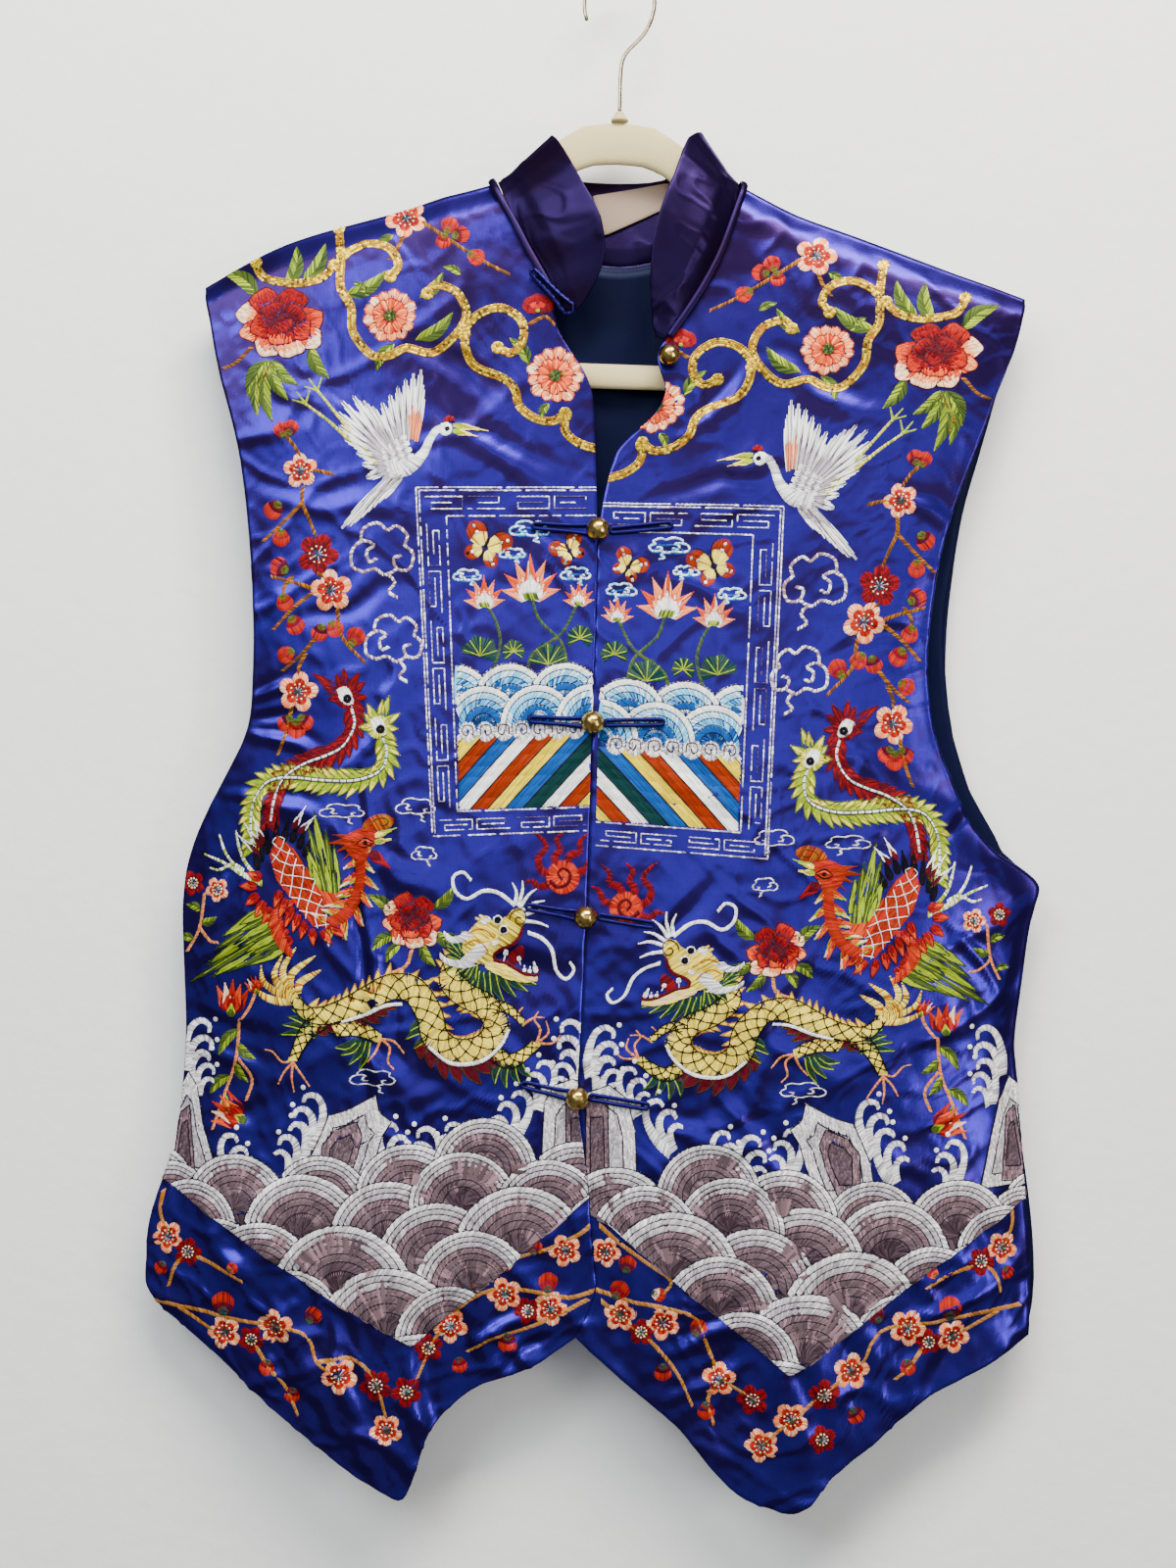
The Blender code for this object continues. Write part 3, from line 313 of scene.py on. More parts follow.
def cloth_shell(name, grid, facing, thickness, materials, shading):
    """A sheet with a rounded turned edge: its face, a coarser back and the edge between them."""
    rows, columns = grid.shape[:2]
    normal = grid_normals(grid, facing)
    around = np.pad(grid[..., 1] * facing, REVERSE_STEP, mode="edge")
    window = range(2 * REVERSE_STEP + 1)
    hollow = np.min([around[r:r + rows, c:c + columns] for r in window for c in window], axis=0)
    reverse = grid - normal * thickness
    reverse[1:-1, 1:-1, 1] = facing * np.minimum(reverse[..., 1] * facing, hollow - thickness / 2)[1:-1, 1:-1]
    reverse = reverse[::REVERSE_STEP, ::REVERSE_STEP]
    back_rows, back_columns = reverse.shape[:2]
    rim = [(0, c) for c in range(columns)] + [(r, columns - 1) for r in range(1, rows)]
    rim += [(rows - 1, c) for c in range(columns - 2, -1, -1)] + [(r, 0) for r in range(rows - 2, 0, -1)]
    row, column = np.array(rim).T
    edge, faced = grid[row, column], normal[row, column]
    out = np.cross(np.roll(edge, -1, axis=0) - np.roll(edge, 1, axis=0), faced)
    out /= np.maximum(np.linalg.norm(out, axis=1, keepdims=True), 1e-9)
    if ((edge - grid.mean(axis=(0, 1))) * out).sum() < 0:
        out = -out
    turned = edge - faced * thickness / 2 + out * EDGE_ROUND
    points = np.vstack((grid.reshape(-1, 3), reverse.reshape(-1, 3), turned))

    def quads(across, down, first):
        a = (np.arange(down - 1)[:, None] * across + np.arange(across - 1)[None]).reshape(-1) + first
        return np.stack((a, a + 1, a + 1 + across, a + across), axis=1)

    face, other = quads(columns, rows, 0), quads(back_columns, back_rows, rows * columns)[:, ::-1]
    front_ring = row * columns + column
    back_row, back_column = (np.round(place / REVERSE_STEP).astype(int) for place in (row, column))
    back_ring = rows * columns + back_row * back_columns + back_column
    middle_ring = rows * columns + back_rows * back_columns + np.arange(len(rim))
    faces = face.tolist() + other.tolist()
    for k in range(len(rim)):
        n = (k + 1) % len(rim)
        faces.append([front_ring[k], middle_ring[k], middle_ring[n], front_ring[n]])
        if back_ring[k] == back_ring[n]:
            faces.append([middle_ring[k], back_ring[k], middle_ring[n]])
        else:
            faces.append([middle_ring[k], back_ring[k], back_ring[n], middle_ring[n]])
    probe = points[face[len(face) // 2]]
    if np.cross(probe[1] - probe[0], probe[2] - probe[0])[1] * facing < 0:
        faces = [list(reversed(f)) for f in faces]
    slots = np.zeros(len(faces), int)
    slots[len(face): len(face) + len(other)] = min(1, len(materials) - 1)
    made = add_piece(name, points, [[int(v) for v in f] for f in faces], materials, slots)
    # Painted shade: fold_shade is high on the slopes of the folds that turn from the light above, and the
    # satin's material paints plum shade there. It is weaker near the hem
    broad = grid[..., 1]
    for _ in range(FOLD_EASE):
        broad = blur(broad)
    tilt, lean = (np.gradient((grid[..., 1] - broad) * facing, axis=axis) / 2.0 for axis in (0, 1))
    strong = shading / (1.0 + 1.2 * np.clip((-600.0 - grid[..., 2]) / 120.0, 0, 1))
    folded = np.clip(0.34 + 0.035 * shading + strong * (0.9 * tilt + 0.45 * lean), 0, 1)
    fold = made.data.attributes.new("fold_shade", "FLOAT", "POINT")
    values = np.full(len(points), 0.5)
    values[: rows * columns] = folded.reshape(-1)
    fold.data.foreach_set("value", values.astype(np.float32))
    return made


def new_group(name, inputs, outputs):
    """An empty shader node group with named sockets. Returns it and its two end nodes."""
    group = bpy.data.node_groups.new(name, "ShaderNodeTree")
    for label, kind, value in inputs:
        socket = group.interface.new_socket(label, in_out="INPUT", socket_type=kind)
        socket.default_value = value
    for label, kind in outputs:
        group.interface.new_socket(label, in_out="OUTPUT", socket_type=kind)
    return group, group.nodes.new("NodeGroupInput"), group.nodes.new("NodeGroupOutput")


def add_node(tree, kind, **settings):
    """Adds a node and sets its properties and, by name or number, its inputs."""
    node = tree.nodes.new(kind)
    for key, value in settings.items():
        if hasattr(node, key):
            setattr(node, key, value)
        else:
            spot = int(key[1:]) if key[0] == "i" and key[1:].isdigit() else key.replace("_", " ")
            node.inputs[spot].default_value = value
    return node


def object_place(tree):
    """The place of each point in the object's own coordinates."""
    return add_node(tree, "ShaderNodeTexCoord").outputs["Object"]


def grain(tree, scale, detail):
    """Noise in the object's own coordinates."""
    noise = add_node(tree, "ShaderNodeTexNoise", Scale=scale, Detail=detail)
    tree.links.new(object_place(tree), noise.inputs["Vector"])
    return noise.outputs["Fac"]


def mapped(tree, value, low, high, start=0.0, end=1.0):
    """A value that runs from start to end, made to run from low to high."""
    node = add_node(tree, "ShaderNodeMapRange", From_Min=start, From_Max=end, To_Min=low, To_Max=high)
    tree.links.new(value, node.inputs["Value"])
    return node.outputs[0]


def combined(tree, kind, a, b, first=0, **settings):
    """A node's result from two values, linked to its input number first and the next one."""
    node = add_node(tree, kind, **settings)
    tree.links.new(a, node.inputs[first])
    tree.links.new(b, node.inputs[first + 1])
    return node.outputs[0]


def make_weave_and_shade():
    """Weave and slubs of a silk satin: a tone, a height, and where plum shade is painted: on the
    shaded slopes of its folds, in soft patches, and more towards the top, most of all at the shoulders."""
    group, ins, outs = new_group(
        "weave_and_shade",
        (("Threads", "NodeSocketFloat", 2400.0), ("Slub", "NodeSocketFloat", 0.5)),
        (("Tone", "NodeSocketFloat"), ("Height", "NodeSocketFloat"), ("Plum_shade", "NodeSocketFloat")),
    )
    link = group.links.new
    fields = []
    for stretch, detail in (((1.0, 1.0, 0.06), 1.0), ((0.05, 1.0, 1.0), 2.0)):
        mapping = add_node(group, "ShaderNodeMapping", Scale=stretch)
        link(object_place(group), mapping.inputs["Vector"])
        noise = add_node(group, "ShaderNodeTexNoise", Detail=detail)
        link(mapping.outputs[0], noise.inputs["Vector"])
        link(ins.outputs["Threads"], noise.inputs["Scale"])
        fields.append(noise.outputs["Fac"])
    weave = combined(group, "ShaderNodeMix", *fields, first=2, i0=0.5)
    slubs = add_node(group, "ShaderNodeMix")
    link(ins.outputs["Slub"], slubs.inputs[0])
    link(weave, slubs.inputs[2])
    link(grain(group, 38.0, 3.0), slubs.inputs[3])
    link(slubs.outputs[0], outs.inputs["Tone"])
    link(weave, outs.inputs["Height"])
    axes = add_node(group, "ShaderNodeSeparateXYZ")
    link(object_place(group), axes.inputs[0])
    # Painted shade: plum where fold_shade marks slopes turned from the light, plus soft random patches, more
    # plum up at the shoulders and less lower down
    fold = add_node(group, "ShaderNodeAttribute", attribute_name="fold_shade").outputs["Fac"]
    shaded = mapped(group, fold, -0.1, 1.4, 0.36, 0.62)
    patch = mapped(group, grain(group, 16.0, 3.0), -0.5, 0.5, 0.36, 0.62)
    shoulder = mapped(group, axes.outputs["Z"], 0.0, 0.42, -0.36, -0.17)
    high = mapped(group, axes.outputs["Z"], 0.65, 0.95, -0.50, -0.14)
    plum_shade = shaded
    for operation, other in (("ADD", patch), ("ADD", shoulder), ("MULTIPLY", high)):
        plum_shade = combined(group, "ShaderNodeMath", plum_shade, other, operation=operation, use_clamp=True)
    link(plum_shade, outs.inputs["Plum_shade"])
    return group


WEAVE_AND_SHADE = make_weave_and_shade()


def new_material(name, **values):
    """A material whose Principled shader has these plain values. Returns it, its tree and shader."""
    material = bpy.data.materials.new(name)
    material.use_nodes = True
    shader = material.node_tree.nodes["Principled BSDF"]
    for key, value in values.items():
        shader.inputs[key.replace("_", " ")].default_value = value
    return material, material.node_tree, shader


def two_tones(tree, share, dark, light):
    """A colour between two, by a share from 0 to 1."""
    mix = add_node(tree, "ShaderNodeMix", data_type="RGBA")
    mix.inputs[6].default_value, mix.inputs[7].default_value = (*dark, 1), (*light, 1)
    tree.links.new(share, mix.inputs[0])
    return mix.outputs[2]


def add_relief(tree, shader, height, strength, distance=0.0002):
    """Gives a shader fine relief. distance is in metres."""
    relief = add_node(tree, "ShaderNodeBump", Strength=strength, Distance=distance)
    tree.links.new(height, relief.inputs["Height"])
    tree.links.new(relief.outputs[0], shader.inputs["Normal"])


def silk_material(name, dark, light, plum, threads, slub, bump, **values):
    """A woven silk cloth between two close tones, with a third painted over them as plum shade."""
    material, tree, shader = new_material(name, **values)
    weave = add_node(tree, "ShaderNodeGroup", node_tree=WEAVE_AND_SHADE)
    weave.inputs["Threads"].default_value = threads
    weave.inputs["Slub"].default_value = slub
    plum_shade = add_node(tree, "ShaderNodeMix", data_type="RGBA")
    plum_shade.inputs[7].default_value = (*plum, 1)
    tree.links.new(weave.outputs["Plum_shade"], plum_shade.inputs[0])
    tree.links.new(two_tones(tree, weave.outputs["Tone"], dark, light), plum_shade.inputs[6])
    tree.links.new(plum_shade.outputs[2], shader.inputs["Base Color"])
    add_relief(tree, shader, weave.outputs["Height"], bump)
    return material


blue_satin = silk_material(
    "blue_satin", dark=(0.012, 0.006, 0.115), light=(0.038, 0.022, 0.340), plum=(0.017, 0.006, 0.034),
    threads=2400.0, slub=0.35, bump=0.22,
    Roughness=0.27, Metallic=0.84, Specular_IOR_Level=0.25, Specular_Tint=(0.5, 0.5, 1.0, 1),
)
navy_lining = silk_material(
    "navy_lining", dark=(0.0012, 0.0015, 0.010), light=(0.0025, 0.0035, 0.024), plum=(0.002, 0.002, 0.012),
    threads=1800.0, slub=0.3, bump=0.3,
    Roughness=0.42, Specular_IOR_Level=0.12, Specular_Tint=(0.4, 0.5, 1.0, 1),
)


cloth = {}
for node, corners in FRONT_CORNERS.items():
    cloth[node] = cloth_face(node, corners, -1, *FRONT_SQUARES, FRONT_CREASES, FRONT_PUCKER)
    looks = [blue_satin, navy_lining]
    piece = cloth_shell(node + "_cloth", cloth[node], -1, SATIN_THICKNESS, looks, FOLD_SHADE)
    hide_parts(node)
    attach(piece, "root")

# The back and its lining
# The back is one plain satin panel with the same hand as the fronts. A dark lining hangs inside
# it from the neck and armholes, cut a little smaller, and shows through the open neck.
BACK_CORNERS = ((-253, -762), (233, -774), (230, -189), (-235, -182.5))
BACK_CREASES = (
    (-200, -240, -110, -290, 9, 1.2), (190, -250, 110, -300, 9, 1.1), (-60, -200, 60, -206, 9, 0.9),
    (-190, -420, -110, -390, 7, -1), (180, -430, 90, -400, 7, 1), (-100, -330, 30, -380, 9, 0.9),
    (-230, -520, -150, -560, 7, 1.4), (-236, -590, -160, -600, 6, -1.2), (220, -540, 150, -590, 7, 1.4),
    (220, -610, 140, -620, 6, 1.2), (-90, -480, -20, -540, 9, 1), (60, -470, 20, -560, 9, -1),
    (-200, -640, -190, -750, 9, 1.6), (-120, -620, -128, -765, 10, -1.5), (-40, -640, -32, -770, 11, 1.4),
    (60, -630, 74, -768, 10, 1.5), (150, -650, 160, -760, 9, -1.5),
)
LINING_CORNERS = ((-244, -754), (224, -766), (228.4, -192), (-233.4, -185.5))
LINING_CREASES = (
    (-30, -190, -12, -280, 7, 1.1), (20, -180, 8, -260, 6, -1), (-50, -300, 40, -330, 8, 1),
    (170, -300, 182, -420, 5, 0.8),
)
BACK_SQUARES = (100, 130)
BACK_THICKNESS = 0.8
# How strongly plum shade is painted on the slopes of the folds of the back and of its lining
BACK_SHADE = 0.7
# How far a crease of the back or its lining may go in
BACK_DEEPEST = -0.25
for node, corners, facing, creases, pucker, looks, slot in (
    ("back", BACK_CORNERS, 1, BACK_CREASES, 0.3, [blue_satin, navy_lining], "blue_satin"),
    ("back_lining", LINING_CORNERS, -1, LINING_CREASES, 0.2, [navy_lining], "navy_lining"),
):
    grid = cloth_face(node, corners, facing, *BACK_SQUARES, creases, pucker, BACK_DEEPEST)
    piece = cloth_shell(node + "_cloth", grid, facing, BACK_THICKNESS, looks, BACK_SHADE)
    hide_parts(node)
    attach(piece, "root")

# The stand collar and the cord at its foot
# A stiffened double layer of the same satin, 48 mm high, open at the front and leaning in. A
# satin-covered cord is sewn into the seam that joins it to the neck.
# The foot of the collar is drawn to the cord where it is nearer to it than this
TUCK_REACH = 9.0
# The length of one turn of a twisted cord
CORD_PITCH = 2.7
NECK_MIDDLE = (0.0, 20.0)


def finer_copy(node, name, material, rounds=2, wrinkle=0.0, scale=12.0, soften=2, twist=0.0):
    """A smooth copy of a node's form that replaces it, with soft wrinkles or a twist worked in."""
    mesh = bmesh.new()
    mesh.from_mesh(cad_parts[node].data)
    bmesh.ops.remove_doubles(mesh, verts=mesh.verts, dist=WELD)
    turn = math.radians(35)
    bmesh.ops.join_triangles(mesh, faces=mesh.faces, angle_face_threshold=turn, angle_shape_threshold=turn)
    rough = bpy.data.meshes.new(name)
    mesh.to_mesh(rough)
    mesh.free()
    made = bpy.data.objects.new(name, rough)
    bpy.context.scene.collection.objects.link(made)
    split = made.modifiers.new("split", "SUBSURF")
    split.levels, split.subdivision_type = rounds, "SIMPLE"
    ease = made.modifiers.new("ease", "SMOOTH")
    ease.factor, ease.iterations = 0.5, soften
    made.data = bpy.data.meshes.new_from_object(made.evaluated_get(bpy.context.evaluated_depsgraph_get()))
    made.modifiers.clear()
    bpy.data.meshes.remove(rough)
    made.data.name = name
    spots = np.zeros(len(made.data.vertices) * 3, np.float32)
    made.data.vertices.foreach_get("co", spots)
    spots = spots.reshape(-1, 3).astype(float) / MM
    if wrinkle:
        out = spots[:, :2] - NECK_MIDDLE
        out /= np.maximum(np.linalg.norm(out, axis=1, keepdims=True), 1e-6)
        along, up = spots[:, 0] + spots[:, 1] * 0.6, spots[:, 2]
        soft = 1.1 * spread_noise(along, up * 0.4, scale * 1.8, 3)
        soft += 1.5 * crumple(along, up, scale * 1.5, 62.0, 8)
        soft += 1.0 * crumple(along, up, scale * 1.2, -28.0, 9)
        spots[:, :2] += out * (wrinkle * soft)[:, None]
    if twist:
        normals = np.array([v.normal[:] for v in made.data.vertices])
        spots += normals * (twist * np.sin(2 * math.pi * spots[:, 0] / CORD_PITCH))[:, None]
    made.data.vertices.foreach_set("co", (spots * MM).reshape(-1).astype(np.float32))
    made.data.materials.clear()
    made.data.materials.append(material)
    made.data.shade_smooth()
    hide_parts(node)
    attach(made, "root")
    return made


# Painted shade: the collar and its cord get the fronts' satin painted darker and more plum
shaded_collar_silk = silk_material(
    "shaded_collar_silk", dark=(0.006, 0.0030, 0.020), light=(0.013, 0.008, 0.062), plum=(0.013, 0.004, 0.014),
    threads=2400.0, slub=0.6, bump=0.22,
    Roughness=0.33, Metallic=0.75, Specular_IOR_Level=0.15, Specular_Tint=(0.6, 0.5, 0.9, 1),
)
collar = finer_copy("collar", "collar_satin", shaded_collar_silk, rounds=3, wrinkle=0.55, soften=9)
piping = finer_copy("collar_piping", "collar_piping_satin", shaded_collar_silk, soften=3)
seam = search_tree(piping.data)
for vert in collar.data.vertices:
    spot, _, _, apart = seam.find_nearest(vert.co)
    if apart < TUCK_REACH * MM:
        vert.co += (spot - vert.co) * min(0.92, 1.3 * (1 - apart / (TUCK_REACH * MM)))

# The button cords
# Each fastening has two doubled cords of the same satin, sewn down flat. One ends in an eye and
# the other holds the ball. A twisted cord makes the loop at the collar.
# Painted shade: the cords get the fronts' satin painted darker
shaded_cord_satin = silk_material(
    "shaded_cord_satin", dark=(0.005, 0.003, 0.045), light=(0.012, 0.007, 0.120), plum=(0.010, 0.005, 0.040),
    threads=3000.0, slub=0.2, bump=0.8,
    Roughness=0.36, Metallic=0.7, Specular_IOR_Level=0.2, Specular_Tint=(0.6, 0.6, 1.0, 1),
)
for number in range(1, 5):
    for kind in ("loop", "knot"):
        node = f"frog_{kind}_{number}"
        finer_copy(node, node + "_cord", shaded_cord_satin, rounds=1)
finer_copy("collar_loop", "collar_loop_cord", shaded_cord_satin, twist=0.35)

# The ball buttons
# Hollow brass balls of two pressed halves, 10.3 mm across, darkened with age, with a worked
# seam round the middle and a loop at the back.
BALL_TURNS, BALL_RINGS = 48, 33
BALL_TILT = math.radians(24)


def paint(tree, shader, share, dark, light):
    """Gives a shader a colour between two, by a share from 0 to 1."""
    tree.links.new(two_tones(tree, share, dark, light), shader.inputs["Base Color"])


def make_old_brass():
    """Brass that is bright where it is rubbed and brown and dull in the stains."""
    material, tree, shader = new_material("old_brass", Roughness=0.24, Metallic=1.0)
    wear = mapped(tree, grain(tree, 420.0, 4.0), 0.0, 1.0, 0.35, 0.62)
    paint(tree, shader, wear, (0.16, 0.09, 0.02), (0.62, 0.44, 0.12))
    tree.links.new(mapped(tree, wear, 0.38, 0.16), shader.inputs["Roughness"])
    return material


old_brass = make_old_brass()


def brass_ball(node):
    """A ball with a seam bead round it and shallow pressed petals on each half."""
    low, high = (np.array(corner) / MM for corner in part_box(node))
    centre, radius = (low + high) / 2, float((high - low).max()) / 2
    lean, rise = math.cos(BALL_TILT), math.sin(BALL_TILT)
    points, faces = [], []
    for ring in range(BALL_RINGS):
        up = math.pi * (ring / (BALL_RINGS - 1) - 0.5)
        for k in range(BALL_TURNS):
            turn = 2 * math.pi * k / BALL_TURNS
            petals = 0.012 * math.cos(6 * turn) * max(0.0, math.sin(2 * abs(up))) ** 2
            bead = 0.022 * math.exp(-(up / 0.07) ** 2) * (1 + 0.5 * math.cos(24 * turn))
            x, y, z = math.cos(up) * math.cos(turn), math.sin(up), math.cos(up) * math.sin(turn)
            way = np.array((x, y * lean - z * rise, y * rise + z * lean))
            points.append(centre + way * (radius * (0.965 + petals + bead)))
    for ring in range(BALL_RINGS - 1):
        for k in range(BALL_TURNS):
            a, b = ring * BALL_TURNS + k, ring * BALL_TURNS + (k + 1) % BALL_TURNS
            faces.append((a, a + BALL_TURNS, b + BALL_TURNS, b))
    made = add_piece(node + "_ball", points, faces, [old_brass])
    clean = bmesh.new()
    clean.from_mesh(made.data)
    bmesh.ops.remove_doubles(clean, verts=clean.verts, dist=1e-6)
    bmesh.ops.recalc_face_normals(clean, faces=clean.faces)
    clean.to_mesh(made.data)
    clean.free()
    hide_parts(node)
    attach(made, "root")


for node in ("button_1", "button_2", "button_3", "button_4", "button_collar"):
    brass_ball(node)

# The neck label
# A plain woven tape, with its ends folded under and sewn down across the back of the neck.
def make_label_tape():
    """A plain weave of threads laid a little askew."""
    material, tree, shader = new_material("label_tape", Roughness=0.55, Sheen_Weight=0.2)
    turned = add_node(tree, "ShaderNodeMapping", Rotation=(0.0, -0.4, 0.0))
    tree.links.new(object_place(tree), turned.inputs["Vector"])
    threads = []
    for direction in ("X", "Z"):
        wave = add_node(tree, "ShaderNodeTexWave", bands_direction=direction, Scale=900.0, Distortion=0.6)
        tree.links.new(turned.outputs[0], wave.inputs["Vector"])
        threads.append(wave.outputs["Fac"])
    weave = combined(tree, "ShaderNodeMath", *threads, operation="MULTIPLY")
    paint(tree, shader, weave, (0.25, 0.165, 0.115), (0.42, 0.29, 0.21))
    add_relief(tree, shader, weave, 0.5)
    return material


label = finer_copy("neck_label", "neck_label_tape", make_label_tape(), wrinkle=0.12, scale=9.0)

# The hanger and its hook
# A slim moulded hanger with a bar, covered in short cream flock, and a bent wire hook in gilt
# steel screwed into its neck.
def make_flock():
    """Short cream nap, rubbed darker in places."""
    material, tree, shader = new_material(
        "cream_flock", Roughness=0.9, Sheen_Weight=0.15, Sheen_Roughness=0.5, Sheen_Tint=(1.0, 0.95, 0.85, 1)
    )
    nap = grain(tree, 1500.0, 3.0)
    rubbed = combined(tree, "ShaderNodeMix", nap, grain(tree, 30.0, 4.0), first=2, i0=0.6)
    paint(tree, shader, rubbed, (0.46, 0.37, 0.17), (0.70, 0.58, 0.30))
    add_relief(tree, shader, nap, 0.6, 0.0004)
    return material


def make_gilt_steel():
    """Gilt wire with the faint streaks of its drawing."""
    material, tree, shader = new_material("gilt_steel", Roughness=0.2, Metallic=1.0)
    drawn = grain(tree, 260.0, 3.0)
    paint(tree, shader, drawn, (0.34, 0.25, 0.15), (0.72, 0.58, 0.38))
    tree.links.new(mapped(tree, drawn, 0.14, 0.34), shader.inputs["Roughness"])
    return material


cream_flock, gilt_steel = make_flock(), make_gilt_steel()
for node in ("hanger", "hanger_neck"):
    finer_copy(node, node + "_flocked", cream_flock, rounds=1)
finer_copy("hook", "hook_wire", gilt_steel, rounds=1)

# The embroiderer's threads and stitches
# Untwisted silk floss in flat stitches, and gilt and silver thread laid on and caught down. Every
# stitch is a thin raised strand. Motifs are drawn on a chart of small squares over the fronts.
# The side of a chart square, and the square over the middle of the object's top
SQUARE = 0.55
CHART_ORIGIN = (633.0, -42.0)
# How high the middle of a strand rises, and how far apart the strands of a petal lie
STRAND_RISE, STRAND_GAP = 0.30, 1.1
LEAF_BEND = 0.12
# Each thread's dye, as the share of red, green and blue light that it gives back. Metal comes last
THREADS = {
    "white": (0.92, 0.92, 0.91), "pale_grey": (0.60, 0.56, 0.58), "pearl_grey": (0.42, 0.38, 0.42),
    "pink_grey": (0.28, 0.17, 0.195), "dusky_pink": (0.140, 0.094, 0.108), "mauve": (0.090, 0.058, 0.072),
    "dark_mauve": (0.045, 0.026, 0.035), "slate": (0.013, 0.008, 0.019), "coral": (0.40, 0.018, 0.007),
    "scarlet": (0.225, 0.004, 0.006), "crimson": (0.085, 0.003, 0.008), "salmon": (0.66, 0.070, 0.016),
    "blush": (0.92, 0.25, 0.085), "pale_pink": (0.94, 0.60, 0.38), "leaf": (0.065, 0.100, 0.014),
    "dark_leaf": (0.018, 0.035, 0.009), "lime": (0.30, 0.40, 0.012), "sea_green": (0.003, 0.032, 0.032),
    "grey_green": (0.030, 0.060, 0.046), "butter": (0.90, 0.68, 0.085), "maize": (0.78, 0.58, 0.010),
    "ochre": (0.36, 0.125, 0.003), "brown": (0.100, 0.038, 0.009), "tan": (0.46, 0.21, 0.060),
    "orange": (0.26, 0.022, 0.002), "sky": (0.004, 0.068, 0.30), "deep_teal": (0.004, 0.024, 0.090),
    "ice": (0.16, 0.55, 0.86), "black": (0.004, 0.003, 0.006), "gold": (0.27, 0.150, 0.002),
    "bright_gold": (0.60, 0.42, 0.012), "dark_gold": (0.060, 0.034, 0.003), "silver": (0.46, 0.40, 0.60),
    "dull_silver": (0.070, 0.040, 0.110),
}
# How much of its dye's light a strand gives back: each takes one of these tones
TONES = (0.66, 0.92, 1.12)
METAL_FROM = list(THREADS).index("gold")
THREAD_NUMBER = {name: number for number, name in enumerate(THREADS)}
chance = np.random.default_rng(11)


def lay(sewn, starts, ends, threads, share=None, width=1.3, lift=0.15):
    """Adds stitches between chart points, with the thread picked along a list by share."""
    starts, ends = np.reshape(starts, (-1, 2)).astype(float), np.reshape(ends, (-1, 2)).astype(float)
    count = len(starts)
    names = [threads] if isinstance(threads, str) else list(threads)
    numbers = np.array([THREAD_NUMBER[name] for name in names])
    spread = chance.uniform(0, 1, count) if share is None else share + chance.normal(0, 0.09, count)
    pick = numbers[np.clip((spread * len(names)).astype(int), 0, len(names) - 1)]
    thread = pick * len(TONES) + chance.integers(0, len(TONES), count)
    sewn.append(np.column_stack((starts, ends, np.full(count, width), np.full(count, lift), thread)))


def run_length(points):
    """How long a line is."""
    return float(np.linalg.norm(np.diff(np.asarray(points, float), axis=0), axis=1).sum())


def graded(values, count):
    """A few values spread evenly over so many places."""
    return np.interp(np.linspace(0, 1, count), np.linspace(0, 1, len(values)), values)


def ways(angle):
    """Unit steps at these angles."""
    return np.stack((np.cos(angle), np.sin(angle)), axis=-1)


def ways_along(line):
    """Unit steps along a line and across it, at each of its points."""
    along = np.gradient(line, axis=0)
    along /= np.maximum(np.linalg.norm(along, axis=1, keepdims=True), 1e-6)
    return along, np.stack((-along[:, 1], along[:, 0]), axis=1)


def spine(base, tip):
    """Both ends of a spine, the step between them, its length, and a unit step across it."""
    base, tip = np.array(base, float), np.array(tip, float)
    axis = tip - base
    length = max(np.linalg.norm(axis), 1e-6)
    return base, tip, axis, length, np.array((-axis[1], axis[0])) / length


def satin_stitch(sewn, path, widths, threads, share=None, slant=0.4, gap=1.05, lift=0.2):
    """Close stitches from side to side of a band along a path, a little uneven at its edges."""
    line = even_line(path, max(3, int(run_length(path) / gap)))
    wide = graded(widths, len(line))[:, None]
    wide = wide + chance.normal(0, 0.25, wide.shape)
    along, side = ways_along(line)
    reach = (side + along * slant) * wide / 2
    lay(sewn, line - reach, line + reach, threads, share, gap * 1.25, lift)


def stem_stitch(sewn, path, threads, width=1.5, length=6.0, lift=0.25):
    """A thin line of overlapping stitches."""
    line = even_line(path, max(4, int(run_length(path) / (length * 0.5)) + 1))
    side = ways_along(line)[1] * width * 0.22
    lay(sewn, line[:-2] - side[:-2], line[2:] + side[2:], threads, None, width, lift)


def closed_curve(points, count):
    """A smooth closed outline through chart points."""
    points = np.asarray(points, float)
    ring = even_line(np.vstack((points[-2:], points, points[:2])), (len(points) + 3) * 12 + 1)
    return ring[12:-12][:: max(1, len(points) * 12 // count)]


